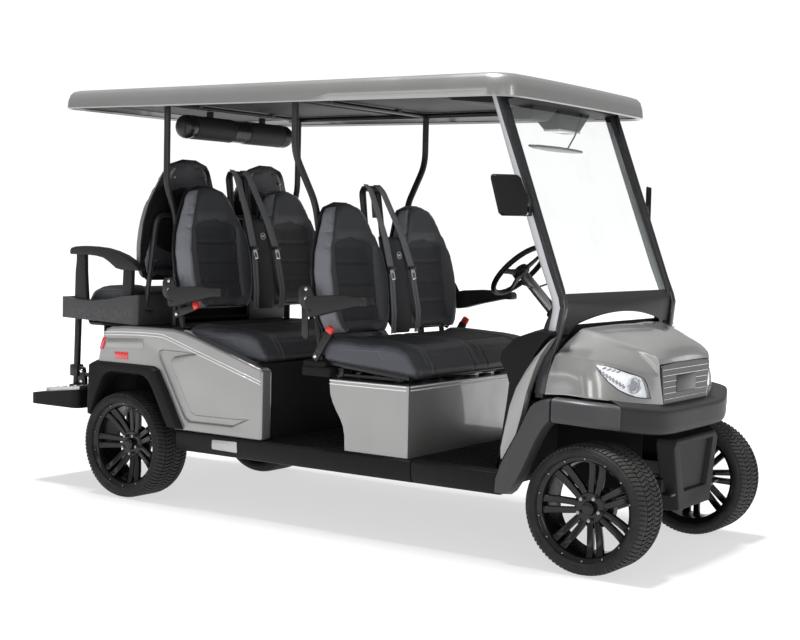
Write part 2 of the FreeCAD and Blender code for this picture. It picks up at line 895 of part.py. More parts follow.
def rocker_panels():
    low, high = S.rocker_bottom, floor_top
    out, edge = S.rocker_half, S.rocker_chamfer
    side = prism("rocker_right", "YZ", [
        (-out + edge, low), (-S.floor_half, low), (-S.floor_half, high), (-out + edge, high),
        (-out, high - edge), (-out, low + edge),
    ], at(S.rear_flare_front_back), at(S.rocker_front_back))
    return node("rocker_panels", pair("rocker_panels_piece", side))


def front_seat_box():
    """Open box with an S-curved rear edge, a deck on top and no floor."""
    wall = S.seat_box_wall
    curve_shares = ((0, 1), (0, 0.86), (0.22, 0.66), (0.62, 0.44), (0.9, 0.24), (1, 0))

    def side_outline(inset, low, high):
        rear = seat_box_rear_back - inset
        run = seat_box_rear_back - seat_box_foot_back
        points = [(at(S.seat_box_front_back + inset), low), (at(S.seat_box_front_back + inset), high)]
        for across_share, up_share in curve_shares:
            points.append((at(rear - run * across_share), low + (high - low) * up_share))
        return points

    outer = prism(
        "seat_box_outer", "XZ", side_outline(0, floor_top, S.seat_box_top), -S.seat_box_half, S.seat_box_half
    )
    inner = prism(
        "seat_box_inner", "XZ", side_outline(wall, floor_top - wall, S.seat_box_top - wall),
        -S.seat_box_half + wall, S.seat_box_half - wall,
    )
    return node("front_seat_box", cut("front_seat_box_piece", outer, inner))


def rear_seat_box():
    """Front wall, middle deck, step, rear deck and rear wall under the two rear rows."""
    wall = S.panel_wall
    half = S.quarter_in
    rear_half = S.flare_in - S.seat_gap
    front, step, end = mid_box_front_back, deck_step_back, rear_deck_end_back
    low = S.mid_deck_top
    top = S.rear_deck_top
    walls = [
        box("mid_box_front", at(front + wall), at(front), -half, half, floor_top, low),
        box("mid_deck", at(step), at(front), -half, half, low - wall, low),
        box("deck_step", at(step + wall), at(step), -half, half, low - wall, top),
        box("rear_deck", at(end), at(step), -half, half, top - wall, top),
        box("rear_wall", at(end), at(end - wall), -rear_half, rear_half, kick_top, top),
    ]
    return node("rear_seat_box", fuse("rear_seat_box_piece", walls))


def quarter_panels():
    """Painted rear sides, each with a recessed field."""
    gap = S.seat_gap
    front, end = quarter_front_back, rear_deck_end_back
    foot = floor_top + gap
    arch_front = S.rear_flare_front_back
    outer = prism("quarter_outer", "XZ", [
        (at(front + S.quarter_recess * 3), foot), (at(arch_front - gap), foot), *flare_edge_points(gap),
        (at(end), S.rear_flare_top + gap), (at(end), S.rear_deck_top - S.panel_wall),
        (at(end - S.panel_wall * 3), S.rear_deck_top), (at(deck_step_back - S.panel_wall * 3), S.rear_deck_top),
        (at(front), S.quarter_front_top), (at(front + S.quarter_recess * 4), S.quarter_front_top * 4 / 5),
    ], -S.quarter_out, -S.quarter_in)
    field = prism("quarter_field", "XZ", [
        (at(front + S.panel_wall * 12), foot + S.panel_wall * 4), (at(arch_front - S.panel_wall * 3), foot + S.panel_wall * 4),
        (at(arch_front + S.panel_wall * 4), S.rear_arch_top), (at(arch_front - S.panel_wall * 3), S.rear_flare_top - S.panel_wall),
        (at(front + S.panel_wall * 16), S.rear_arch_top + S.panel_wall),
    ], -S.quarter_out - S.overrun, -S.quarter_out + S.quarter_recess)
    side = cut("quarter_right", outer, field)
    return node("quarter_panels", pair("quarter_panels_piece", side))


def flare_edge_points(gap):
    """Outer edge of the rear flare, from its front foot to its top, raised by a gap."""
    return [
        (rear_axle_x + S.wheelbase * share_x + gap, S.tyre_r + (S.rear_flare_top - S.tyre_r) * share_z + gap)
        for share_x, share_z in ((0.157, 0.27), (0.139, 0.57), (0.107, 0.85), (0.063, 1))
    ]


def rear_flares():
    foot = S.rear_flare_foot
    gap = S.seat_gap
    span = S.rear_arch_top - S.tyre_r
    arch_shares = ((-0.26, 0.33), (-0.252, 0.56), (-0.21, 0.85), (-0.16, 1), (0.135, 1), (0.225, 0.86), (0.3, 0.6), (0.335, 0.31))
    arch = [
        (rear_axle_x + S.wheelbase * share_x * 3 / 8, S.tyre_r + span * share_z)
        for share_x, share_z in arch_shares
    ]
    outer_rear = [
        (rear_axle_x - S.wheelbase * share_x, S.tyre_r + (S.rear_flare_top - S.tyre_r) * share_z)
        for share_x, share_z in ((0.06, 1), (0.089, 0.89), (0.107, 0.62))
    ]
    points = flare_edge_points(0)[::-1] + [(at(S.rear_flare_front_back), floor_top + gap)] + arch[::-1] + [
        (at(S.rear_flare_rear_back), foot)
    ] + outer_rear[::-1]
    side = prism("rear_flare_right", "XZ", points, -S.flare_out, -S.flare_in)
    return node("rear_flares", pair("rear_flares_piece", side))


floor_pan()
rocker_panels()
front_seat_box()
rear_seat_box()
quarter_panels()
rear_flares()


def tail_lamps():
    low = S.tail_lamp_z
    side = box(
        "tail_lamp_right", at(rear_deck_end_back), at(rear_deck_end_back - S.tail_lamp_length),
        -S.quarter_out - S.panel_wall, -S.quarter_out, low, low + S.tail_lamp_height,
    )
    return node("tail_lamps", pair("tail_lamps_piece", side))


tail_lamps()


# Front body

def front_flares():
    top, arch = S.front_flare_top, S.front_arch_top
    foot = S.rocker_bottom + S.rocker_chamfer / 2
    gap = S.seat_gap
    reach = S.front_flare_foot_back
    points = [
        (at(S.rocker_front_back - gap), foot), (at(S.rocker_front_back - gap), floor_top),
        (at(reach * 0.93), foot + (top - foot) * 0.5), (at(reach * 0.76), foot + (top - foot) * 0.83),
        (at(S.cowl_rear_back), top), (at(S.front_flare_front_back), top - S.panel_wall),
        (at(S.front_flare_front_back), arch - S.panel_wall), (at(S.front_flare_front_back / 2), arch - S.skin),
        (at(0), arch), (at(S.front_arch_rear_back / 2), arch),
        (at(S.front_arch_rear_back * 5 / 6), arch - (arch - foot) * 0.27),
        (at(S.front_arch_rear_back), arch - (arch - foot) * 0.66), (at(S.front_arch_rear_back + S.cross_member_width), foot),
    ]
    side = prism("front_flare_right", "XZ", points, -S.flare_out, -S.flare_in)
    return node("front_flares", pair("front_flares_piece", side))


def cowl_outline(inset, front, shoulder_x, corner_x, half, ridge_half, rear):
    """Half-width outline of the cowl at one height, mirrored to both sides."""
    near = [
        (at(front + inset), ridge_half - inset), (at(shoulder_x + inset), ridge_half + (half - ridge_half) / 2 - inset),
        (at(corner_x + inset), half - inset), (at(rear), half - inset),
    ]
    return [(x, -y) for x, y in near] + [(x, y) for x, y in near[::-1]]


def cowl_sections(inset, rear_extra, below):
    """Outlines from the foot to the crest, as (level, points), started below the foot where asked."""
    front = S.cowl_front_back
    rear = S.cowl_rear_back + rear_extra
    half = S.cowl_half
    grille, foot = S.grille_half, S.grille_foot_half
    rise = S.cowl_top - cowl_foot
    levels = (
        (0, front * 0.95, front * 0.6, front * -0.1, half, foot),
        (0.25, front, front * 0.58, front * -0.14, half * 0.99, foot + (grille - foot) / 2),
        (0.5, front * 0.98, front * 0.42, front * -0.3, half * 0.955, grille),
        (0.74, front * 0.9, front * 0.2, front * -0.6, half * 0.87, grille * 0.9),
    )
    sections = []
    for index, (share, tip, shoulder, corner, reach, ridge) in enumerate(levels):
        drop = below if index == 0 else 0
        sections.append((
            cowl_foot + rise * share - drop,
            cowl_outline(inset, tip, shoulder, corner, reach, ridge, rear),
        ))
    top_low = S.cowl_top - inset
    sections.append((top_low, cowl_outline(inset, front * -0.5, front * -0.62, front * -0.85, half * 0.72, grille * 1.1, rear)))
    return sections


def front_body():
    """Cowl shell with its lamps let into the front corners."""
    outer = loft("cowl_outer", "XY", cowl_sections(as_size(0), as_size(0), as_size(0)), True)
    inner = loft("cowl_inner", "XY", cowl_sections(S.skin, S.overrun, S.overrun), True)
    shell = cut("cowl_shell", outer, inner)

    def lamp_window(name, gap):
        low = cowl_foot + S.skin * 2
        points = [
            (-S.grille_half - S.panel_wall + gap, low - gap), (-S.grille_half * 1.24 + gap, low + S.lamp_depth * 1.9 + gap),
            (-S.cowl_half * 0.965 - gap, S.cowl_shoulder + S.skin + gap), (-S.cowl_half * 0.94 - gap, low + S.lamp_depth - gap),
            (-S.cowl_half * 0.66, low - gap),
        ]
        return prism(name, "YZ", points, at(S.panel_wall * 4), at(S.cowl_front_back - S.lamp_depth))

    lamp = common("headlamp_right", shell, lamp_window("lamp_window", as_size(0)))
    hole = lamp_window("lamp_hole", S.seat_gap)
    grille_hole = prism("grille_hole", "YZ", grille_points(S.seat_gap), at(0), at(S.cowl_front_back - S.lamp_depth))
    holes = fuse("cowl_holes", [hole, mirrored("lamp_hole_mirror", hole), grille_hole])
    node("cowl", cut("cowl_piece", shell, holes))
    node("headlamps", pair("headlamps_piece", lamp))


def grille_points(gap):
    low = cowl_foot + S.panel_wall
    high = cowl_foot + (S.cowl_top - cowl_foot) * 0.5
    foot, top = S.grille_foot_half + gap, S.grille_half + gap
    return [(-foot, low - gap), (-top, high + gap), (top, high + gap), (foot, low - gap)]


def grille():
    """Frame with five flat slats across it."""
    x1 = at(S.cowl_front_back)
    x0 = x1 - S.grille_depth
    rim = S.grille_rim
    frame = cut(
        "grille_frame",
        prism("grille_outer", "YZ", grille_points(as_size(0)), x0, x1),
        prism("grille_window", "YZ", grille_points(-rim), x0 - S.overrun, x1 + S.overrun),
    )
    low = cowl_foot + S.panel_wall + rim
    high = cowl_foot + (S.cowl_top - cowl_foot) * 0.5 - rim
    slats = []
    slat_count = 5
    for index in range(slat_count):
        widen = (S.grille_half - S.grille_foot_half) * ((index + 1) / (slat_count + 1))
        reach = S.grille_foot_half + widen - S.grille_rim * 2 / 3
        z = low + (high - low) * ((index + 1) / (slat_count + 1))
        slats.append(box(
            f"grille_slat_{index}", x0, x1 - S.skin, -reach, reach, z - S.grille_slat / 2, z + S.grille_slat / 2
        ))
    return node("grille", fuse("grille_piece", [frame] + slats))


def bumper_half_outline():
    front, depth = S.bumper_front_back, S.bumper_depth
    half, out = S.bumper_front_half, S.rocker_half
    end = S.front_flare_front_back
    return [
        (at(front), half), (at(front * 0.9), half + (out - half) * 0.5), (at(end - S.skin), out),
        (at(end - S.seat_gap), out), (at(end - S.seat_gap), S.flare_in - S.seat_gap),
        (at(end + depth / 2), half + (out - half) * 0.5), (at(front + depth), half),
    ]


def bumper():
    near = bumper_half_outline()
    points = [(x, -y) for x, y in near] + near[::-1]
    top = cowl_foot - S.seat_gap
    return node("front_bumper", prism("front_bumper_piece", "XY", points, S.bumper_bottom, top))


def chin_guard():
    """Tapered guard under the bumper with a recessed field."""
    x1 = at(S.bumper_front_back)
    x0 = x1 - S.guard_depth
    high, low = S.bumper_bottom, S.guard_foot
    top, foot = S.liner_y - S.panel_wall, S.guard_foot_half

    def face(inset):
        return [(-foot + inset, low + inset), (-top + inset, high - inset), (top - inset, high - inset), (foot - inset, low + inset)]

    plate = prism("guard_plate", "YZ", face(as_size(0)), x0, x1)
    field = prism("guard_field", "YZ", face(S.guard_depth), x1 - S.guard_recess, x1 + S.overrun)
    return node("chin_guard", cut("chin_guard_piece", plate, field))


def leg_shields():
    front = S.pillar_foot_back + S.pillar_r + S.seat_gap
    rear = S.leg_shield_back
    reach = S.front_flare_foot_back
    foot = S.rocker_bottom + S.rocker_chamfer / 2
    top = S.front_flare_top
    gap = S.seat_gap
    side = prism("leg_shield_right", "XZ", [
        (at(S.rocker_front_back), floor_top + gap), (at(rear), foot + (top - foot) * 0.5), (at(rear * 0.93), cowl_foot + (S.cowl_top - cowl_foot) * 0.25),
        (at(front + S.panel_wall), S.cowl_top - S.panel_wall * 2), (at(front), S.cowl_top - S.panel_wall * 3), (at(front), top + gap),
        (at(reach * 0.76 + gap), foot + (top - foot) * 0.83 + gap), (at(reach * 0.93 + gap), foot + (top - foot) * 0.5 + gap),
    ], -S.rocker_half, -S.leg_shield_in)
    return node("leg_shields", pair("leg_shields_piece", side))


def wheel_liner():
    """Inner wheel housings: two walls beside the rails and a lid over both wheels."""
    wall = S.liner_wall
    front = S.front_flare_front_back + S.bumper_depth
    rear = S.toe_top_back - S.panel_wall
    lid = cowl_foot - S.overrun
    side = box("liner_right", at(rear), at(front), -S.liner_y, -S.liner_y + wall, S.rail_bottom, lid)
    cover = box("liner_lid", at(rear), at(front), -S.flare_in + S.seat_gap, S.flare_in - S.seat_gap, lid - wall, lid)
    return node("wheel_liner", fuse("wheel_liner_piece", [side, mirrored("liner_left", side), cover]))


def dashboard():
    rear, front = S.dash_rear_back, S.cowl_rear_back
    foot, top = S.dash_foot, S.dash_top
    wall = S.panel_wall

    def profile(inset, low):
        return [
            (at(rear - inset), low), (at(rear * 0.945 - inset), foot + (top - foot) * 0.42),
            (at(rear * 0.72 - inset), foot + (top - foot) * 0.86 - inset), (at(rear * 0.57), top - inset),
            (at(front + inset), top - inset), (at(front + inset), low),
        ]

    outer = prism("dash_outer", "XZ", profile(as_size(0), foot), -S.dash_half, S.dash_half)
    inner = prism("dash_inner", "XZ", profile(wall, foot - S.overrun), -S.dash_half + wall, S.dash_half - wall)
    return node("dashboard", cut("dashboard_piece", outer, inner))


front_flares()
front_body()
grille()
bumper()
chin_guard()
leg_shields()
wheel_liner()
dashboard()


# Steering column, wheel and pedals

tilt = float(S.steer_shaft_tilt)
COLUMN_TURN = Rotation(Vector(0, 1, 0), -(90 - tilt))
column_axis = COLUMN_TURN.multVec(Vector(0, 0, 1))


def along_column(distance):
    """Point on the column's axis, this far below the steering wheel's centre."""
    return (
        at(S.wheel_centre_back) - distance * column_axis.x, S.steer_shaft_y, S.wheel_centre_z - distance * column_axis.z
    )


def steering_column():
    hub = S.steering_hub_depth
    low = hub + S.steer_shaft_length
    tube = doc.addObject("Part::Cylinder", "column_tube")
    bind(tube, "Radius", S.steer_shaft_r)
    bind(tube, "Height", S.steer_shaft_length - S.seat_gap)
    put(tube, *along_column(low), turn=COLUMN_TURN)
    return node("steering_column", tube)


def steering_wheel():
    """Round rim with three spokes and a hub, on the column's axis."""
    rim = doc.addObject("Part::Torus", "steering_rim")
    bind(rim, "Radius1", S.steering_rim_r - S.steering_rim_tube_r)
    bind(rim, "Radius2", S.steering_rim_tube_r)
    hub = doc.addObject("Part::Cylinder", "steering_hub")
    bind(hub, "Radius", S.steering_hub_r)
    bind(hub, "Height", S.steering_hub_depth)
    put(hub, 0, 0, -S.steering_hub_depth)
    spokes = []
    for index, angle in enumerate((0, 120, 240)):
        turn = Rotation(Vector(0, 0, 1), angle)
        spoke = doc.addObject("Part::Box", f"steering_spoke_{index}")
        bind(spoke, "Length", S.steering_rim_r - S.steering_rim_tube_r)
        bind(spoke, "Width", S.steering_rim_tube_r * 2)
        bind(spoke, "Height", S.steering_rim_tube_r)
        side = turn.multVec(Vector(0, -1, 0))
        put(spoke, S.steering_rim_tube_r * side.x, S.steering_rim_tube_r * side.y, -S.steering_rim_tube_r, turn)
        spokes.append(spoke)
    wheel = fuse("steering_wheel_piece", [rim, hub] + spokes)
    put(wheel, *along_column(as_size(0)), turn=COLUMN_TURN)
    return node("steering_wheel", wheel)


def pedals():
    """Two flat pads on arms that hang from under the dashboard."""
    pieces = []
    for index, y in enumerate((S.steer_shaft_y - S.pedal_width, S.steer_shaft_y + S.pedal_width)):
        low = floor_top + S.pedal_height / 2
        pad = box(
            f"pedal_pad_{index}", at(S.pedal_back + S.pedal_thickness), at(S.pedal_back),
            y - S.pedal_width / 2, y + S.pedal_width / 2, low, low + S.pedal_height,
        )
        start = low + S.pedal_height / 2
        arm = cylinder(f"pedal_arm_{index}", "Z", at(S.pedal_back), y, start, S.pedal_arm_r, S.dash_foot - S.seat_gap - start)
        pieces.append(fuse(f"pedal_{index}", [pad, arm]))
    return node("pedals", gathered("pedals_piece", pieces))


steering_column()
steering_wheel()
pedals()


# Roof, pillars, struts and screen

def roof_outline(inset):
    corner = S.roof_corner_back - S.roof_front_back
    half = S.roof_half - inset
    front, shoulder, rear = S.roof_front_back + inset, S.roof_corner_back + inset, S.roof_rear_back - inset
    near = [
        (at(front), half * 0.55), (at(shoulder), half - corner / 4), (at(shoulder + corner / 2), half),
        (at(rear - corner), half), (at(rear), half - corner),
    ]
    return [(x, -y) for x, y in near[::-1]] + near


def roof_shell():
    """Shallow tray turned upside down, with a raised forward deck."""
    high = roof_top - roof_under
    wall = S.roof_wall

    def tray(name, inset, drop):
        levels = ((0, 0), (0.4, 3), (0.62, 24), (0.8, 70))
        return loft(name, "XY", [
            (roof_under + high * share - (drop if index else drop * 2), roof_outline(inset + S.roof_wall * step / 12))
            for index, (share, step) in enumerate(levels)
        ], True)

    outer = tray("roof_outer", as_size(0), as_size(0))
    inner = tray("roof_inner", wall, wall)
    raised = loft("roof_raised", "XY", [
        (roof_under + high * 0.8 - wall / 2, roof_outline(wall * 9)), (roof_top, roof_outline(wall * 16)),
    ], True)
    return node("roof_shell", cut("roof_shell_piece", fuse("roof_solid", [outer, raised]), inner))


roof_ceiling = roof_under + S.roof_depth * 0.8 - S.roof_wall
cross_tube_under = roof_under - S.roof_tube_r - S.roof_cross_r
sound_bar_z = roof_under - S.sound_bar_drop
cabin_mirror_z = roof_under - S.cabin_mirror_drop


def roof_frame():
    """Pillars, struts and the tubes under the roof, as one welded frame."""
    y = S.roof_tube_y
    z = roof_under - S.roof_tube_r
    pieces = []
    for side_name, side in SIDES.items():
        pillar_y = side * S.pillar_y
        pieces.append(bent_bar(f"pillar_{side_name}", [
            (at(S.pillar_top_back), pillar_y, z), (at(S.pillar_knee_back), pillar_y, S.pillar_knee_z),
            (at(S.pillar_foot_back), pillar_y + side * S.pillar_r / 4, S.pillar_waist_z),
            (at(S.pillar_foot_back), side * S.pillar_foot_y, S.front_flare_top + S.seat_gap),
        ], S.pillar_r, S.pillar_bend))
        mid_y, low_y = side * S.mid_strut_y, side * S.mid_strut_low_y
        ledge_top = S.seat_box_top + S.ledge_height
        foot_back = front_back_base_back + S.frame_tube_r * 7 / 2 + S.strut_r
        pieces.append(bent_bar(f"mid_strut_{side_name}", [
            (at(S.mid_strut_back), mid_y, z), (at(S.mid_strut_back), mid_y, roof_under - S.mid_strut_bend_drop),
            (at(S.mid_strut_back), low_y, roof_under - S.mid_strut_low_drop), (at(foot_back), low_y, ledge_top + S.ledge_height),
            (at(foot_back), low_y, ledge_top + S.seat_gap),
        ], S.strut_r, S.strut_bend))
        rear_y, rear_low = side * S.rear_strut_y, side * S.rear_strut_low_y
        pieces.append(bent_bar(f"rear_strut_{side_name}", [
            (at(S.rear_strut_back), rear_y, z), (at(S.rear_strut_back), rear_y, roof_under - S.rear_strut_bend_drop),
            (at(S.rear_strut_back), rear_low, roof_under - S.rear_strut_low_drop), (at(S.rear_strut_back), rear_low, S.rear_deck_top),
        ], S.strut_r, S.strut_bend))
        pieces.append(cylinder(
            f"roof_side_tube_{side_name}", "X", at(S.rear_strut_back + S.overrun * 4), side * y, z,
            S.roof_tube_r, S.rear_strut_back - S.pillar_top_back + S.overrun * 6,
        ))
    for name, back in (("front", S.pillar_top_back), ("mid", S.mid_strut_back), ("rear", S.rear_strut_back)):
        pieces.append(cylinder(f"roof_cross_{name}", "Y", at(back), -y, z, S.roof_cross_r, y * 2))
        half = S.roof_tube_r
        for side_name, side in SIDES.items():
            bracket_y = side * S.roof_bracket_y
            pieces.append(box(
                f"roof_bracket_{name}_{side_name}", at(back) - half, at(back) + half, bracket_y - half, bracket_y + half,
                z + S.roof_cross_r / 2, roof_ceiling - S.seat_gap,
            ))
    return node("roof_frame", fuse("roof_frame_piece", pieces))


def screen_line(z):
    """X of the screen's slope at a height."""
    run = S.pillar_top_back - S.pillar_knee_back
    rise = roof_under - S.roof_tube_r - S.pillar_knee_z
    return at(S.pillar_knee_back + run * ((z - S.pillar_knee_z) / rise))


def windscreen():
    half = S.pillar_y - S.pillar_r - S.seat_gap
    thick = S.glass_thickness / 2
    low, high = S.screen_panel_top + S.seat_gap, roof_under - S.roof_tube_r * 2 - S.seat_gap
    glass = prism("glass", "XZ", [
        (screen_line(low) - thick, low), (screen_line(low) + thick, low),
        (screen_line(high) + thick, high), (screen_line(high) - thick, high),
    ], -half, half)
    return node("windscreen", glass)


def screen_panel():
    half = S.pillar_y - S.pillar_r - S.seat_gap
    thick = S.panel_wall
    low, high = S.dash_top, S.screen_panel_top
    plate = prism("panel_plate", "XZ", [
        (at(S.cowl_rear_back), low), (at(S.cowl_rear_back - thick), low), (at(S.pillar_knee_back - thick / 2), S.pillar_knee_z),
        (screen_line(high) + thick / 2, high), (screen_line(high) - thick / 2, high), (at(S.pillar_knee_back + thick / 2), S.pillar_knee_z),
    ], -half, half)
    return node("screen_panel", plate)


def sound_bar():
    bar = cylinder(
        "sound_tube", "Y", at(S.rear_strut_back), -S.sound_bar_half, sound_bar_z, S.sound_bar_r, S.sound_bar_half * 2
    )
    top = cross_tube_under - S.seat_gap
    hangers = [
        box(
            f"sound_hanger_{name}", at(S.rear_strut_back) - S.roof_tube_r, at(S.rear_strut_back) + S.roof_tube_r,
            side * S.sound_bar_half / 2 - S.roof_tube_r, side * S.sound_bar_half / 2 + S.roof_tube_r, sound_bar_z, top,
        )
        for name, side in SIDES.items()
    ]
    return node("sound_bar", fuse("sound_bar_piece", [bar] + hangers))


def overhead_pod():
    high = roof_under - S.roof_tube_r
    front = S.pillar_top_back + S.roof_cross_r + S.seat_gap
    rear = front + S.pod_length
    pod = prism("pod_body", "XZ", [
        (at(rear), high), (at(rear - S.pod_height), high - S.pod_height), (at(front + S.pod_height / 3), high - S.pod_height),
        (at(front), high - S.roof_tube_r), (at(front), high),
    ], S.pod_y - S.pod_half, S.pod_y + S.pod_half)
    return node("overhead_pod", pod)


def mirrors():
    """Two outside mirrors on arms from the pillars and one inside on a stem."""
    x, z = at(S.mirror_back), S.mirror_z
    half_height = S.mirror_height / 2
    thick = S.mirror_thickness / 2
    head = box(
        "mirror_head", x - thick, x + thick, -S.mirror_y - S.mirror_width / 2, -S.mirror_y + S.mirror_width / 2,
        z - half_height, z + half_height,
    )
    arm = cylinder(
        "mirror_arm", "Y", x, -S.mirror_y, z, S.mirror_arm_r, S.mirror_y - S.pillar_y - S.pillar_r * 24 / 25 - S.seat_gap
    )
    outside = fuse("mirror_right", [head, arm])
    y = S.pod_y / 2
    inside_x = at(S.pillar_top_back)
    plate = box(
        "cabin_mirror_plate", inside_x - thick, inside_x, y - S.cabin_mirror_half, y + S.cabin_mirror_half,
        cabin_mirror_z - S.cabin_mirror_height / 2, cabin_mirror_z + S.cabin_mirror_height / 2,
    )
    stem = cylinder(
        "cabin_mirror_stem", "Z", inside_x - thick / 2, S.pod_y - S.pod_half - S.mirror_arm_r * 2, cabin_mirror_z,
        S.mirror_arm_r / 2, cross_tube_under - S.seat_gap - cabin_mirror_z,
    )
    inside = fuse("cabin_mirror", [plate, stem])
    return node("mirrors", gathered("mirrors_piece", [outside, mirrored("mirror_left", outside), inside]))


roof_shell()
roof_frame()
windscreen()
screen_panel()
sound_bar()
overhead_pod()
mirrors()


# Seats

def frame_point(base_back, base_z, level):
    """X and Z of a point on a forward-facing row's tubes, this far up the lean."""
    deep = S.frame_tube_r + S.seat_gap
    return at(base_back) - deep * lean_cos - level * lean_sin, base_z - deep * lean_sin + level * lean_cos


def back_turn(hand):
    """Lean of a seat back: hand is 1 for one that faces forward, -1 for one that faces back."""
    return Rotation(Vector(0, 1, 0), -hand * float(S.recline))


def seat_backs(label, base_back, base_z, hand):
    """Two tapered backs with narrow heads, leaning away from the sitter."""
    foot, high = S.back_foot, S.back_length
    span = high - foot
    half, top = S.back_half, S.back_top_half
    shares = ((0.78, 0), (0.93, 0.06), (0.97, 0.25), (1, 0.52), (0.93, 0.68), (0.72, 0.8), (0.6, 0.93))
    near = [(half * across, foot + span * up) for across, up in shares] + [(top * 0.8, high)]
    backs = []
    for side_name, side in SIDES.items():
        y = side * S.back_y
        points = [(y - reach, level) for reach, level in near] + [(y + reach, level) for reach, level in near[::-1]]
        low, deep = (0, S.back_thickness) if hand > 0 else (-S.back_thickness, 0)
        backs.append(prism(f"{label}_{side_name}", "YZ", points, low, deep))
    group = gathered(f"{label}_piece", backs)
    put(group, at(base_back), 0, base_z, back_turn(hand))
    return node(label, group)


def cushion(label, front_back, rear_back, half, low):
    """Padded seat with a narrower base under it and a hinge barrel along the base's front edge."""
    pad_low = low + S.cushion_base_height
    inset = S.cushion_base_in
    pad = box(
        f"{label}_pad", at(rear_back), at(front_back), -half, half, pad_low, pad_low + S.cushion_height
    )
    base = box(
        f"{label}_base", at(rear_back - inset), at(front_back + inset), -half + inset, half - inset, low, pad_low
    )
    barrel = cylinder(
        f"{label}_hinge", "Y", at(front_back + inset), -half + inset * 2, low + S.hinge_r, S.hinge_r,
        (half - inset * 2) * 2,
    )
    return node(label, fuse(f"{label}_piece", [pad, base, barrel]))


def seat_frame(label, base_back, base_z, low, hand, arm_level=None):
    """Tubes behind a row of backs: uprights, a middle hoop, cross tubes and stubs for the armrests."""
    x = -hand * (S.frame_tube_r + S.seat_gap)
    start = -(as_size(base_z) - low)
    pieces = [
        cylinder(f"{label}_upright_{name}", "Z", x, side * S.frame_outer_y, start, S.frame_tube_r, S.frame_height - start)
        for name, side in SIDES.items()
    ]
    inner = S.frame_inner_y
    pieces.append(bent_bar(f"{label}_hoop", [
        (x, -inner, start), (x, -inner, S.hoop_height), (x, inner, S.hoop_height), (x, inner, start),
    ], S.frame_tube_r, S.hoop_bend))
    cross_levels = (S.back_foot + S.frame_tube_r * 3, S.frame_height - S.frame_tube_r * 2)
    for index, level in enumerate(cross_levels):
        pieces.append(cylinder(
            f"{label}_cross_{index}", "Y", x, -S.frame_outer_y, level, S.frame_cross_r, S.frame_outer_y * 2
        ))
    if arm_level:
        stub_end = S.armrest_in - S.seat_gap
        for index, y in enumerate((-stub_end, S.frame_outer_y)):
            pieces.append(cylinder(
                f"{label}_arm_stub_{index}", "Y", x, y, arm_level, S.frame_cross_r, stub_end - S.frame_outer_y
            ))
    frame = fuse(f"{label}_tubes", pieces)
    put(frame, at(base_back), 0, base_z, back_turn(hand))
    return frame


front_cushion_low = S.seat_box_top + S.seat_gap
mid_cushion_low = S.mid_deck_top + S.seat_gap
rear_cushion_low = S.rear_pan_top + S.seat_gap
cushion("front_cushion", front_cushion_front_back, front_cushion_rear_back, S.cushion_half, front_cushion_low)
cushion("mid_cushion", mid_cushion_front_back, mid_cushion_rear_back, S.cushion_half - S.overrun / 2, mid_cushion_low)
seat_backs("front_backs", front_back_base_back, S.front_back_base_z, 1)
seat_backs("mid_backs", mid_back_base_back, S.mid_back_base_z, 1)
seat_backs("rear_backs", rear_back_base_back, S.rear_back_base_z, -1)


def rear_cushion():
    """Padded seat that faces back, with its hinge barrel let into its outer lower edge."""
    low = rear_cushion_low
    outer = at(rear_cushion_rear_back)
    pad = box(
        "rear_cushion_pad", outer + S.hinge_r, at(rear_cushion_front_back),
        -S.rear_cushion_half, S.rear_cushion_half, low, low + S.cushion_height,
    )
    lip = box(
        "rear_cushion_lip", outer, outer + S.hinge_r * 2, -S.rear_cushion_half, S.rear_cushion_half,
        low + S.hinge_r * 2, low + S.cushion_height,
    )
    barrel = cylinder(
        "rear_cushion_hinge", "Y", outer + S.hinge_r, -S.rear_cushion_half + S.overrun, low + S.hinge_r,
        S.hinge_r, (S.rear_cushion_half - S.overrun) * 2,
    )
    return node("rear_cushion", fuse("rear_cushion_piece", [pad, lip, barrel]))


def front_ledge():
    """Moulded ledge behind the front cushion that carries the front seat frame."""
    return box(
        "front_ledge_block", at(front_back_base_back + S.ledge_height), at(front_cushion_rear_back + S.run_gap * 100),
        -S.seat_box_half + S.panel_wall, S.seat_box_half - S.panel_wall, S.seat_box_top, S.seat_box_top + S.ledge_height,
    )


def seat_frames():
    front = seat_frame(
        "front_frame", front_back_base_back, S.front_back_base_z, S.seat_box_top + S.ledge_height / 2, 1,
        S.front_arm_level,
    )
    dip = (S.frame_tube_r * 2 + S.seat_gap) * lean_sin + S.seat_gap
    mid = seat_frame("mid_frame", mid_back_base_back, S.mid_back_base_z, S.rear_deck_top + dip, 1, S.mid_arm_level)
    rear = seat_frame("rear_frame", rear_back_base_back, S.rear_back_base_z, S.rear_pan_top + dip, -1)
    node("front_seat_frame", fuse("front_seat_frame_piece", [front, front_ledge()]))
    node("rear_seat_frames", gathered("rear_seat_frames_piece", [mid, rear]))


rear_cushion()
seat_frames()


def armrest(label, side, pin, length):
    """Flat arm with a round pivot end and a thicker grip, straight at rest."""
    x, pin_z = pin
    half = S.armrest_height / 2
    points = [
        (x - half * 0.7, pin_z - half * 0.7), (x, pin_z - half), (x + length * 0.3, pin_z - half), (x + length * 0.92, pin_z - half * 0.8),
        (x + length, pin_z - half * 0.2), (x + length * 0.95, pin_z + half * 0.4), (x + length * 0.3, pin_z + half * 0.5),
        (x, pin_z + half), (x - half * 0.7, pin_z + half * 0.7), (x - half, pin_z),
    ]
    low, high = (S.armrest_in, S.armrest_out) if side > 0 else (-S.armrest_out, -S.armrest_in)
    arm = prism(f"{label}_arm", "XZ", points, low, high)
    return node(label, arm)


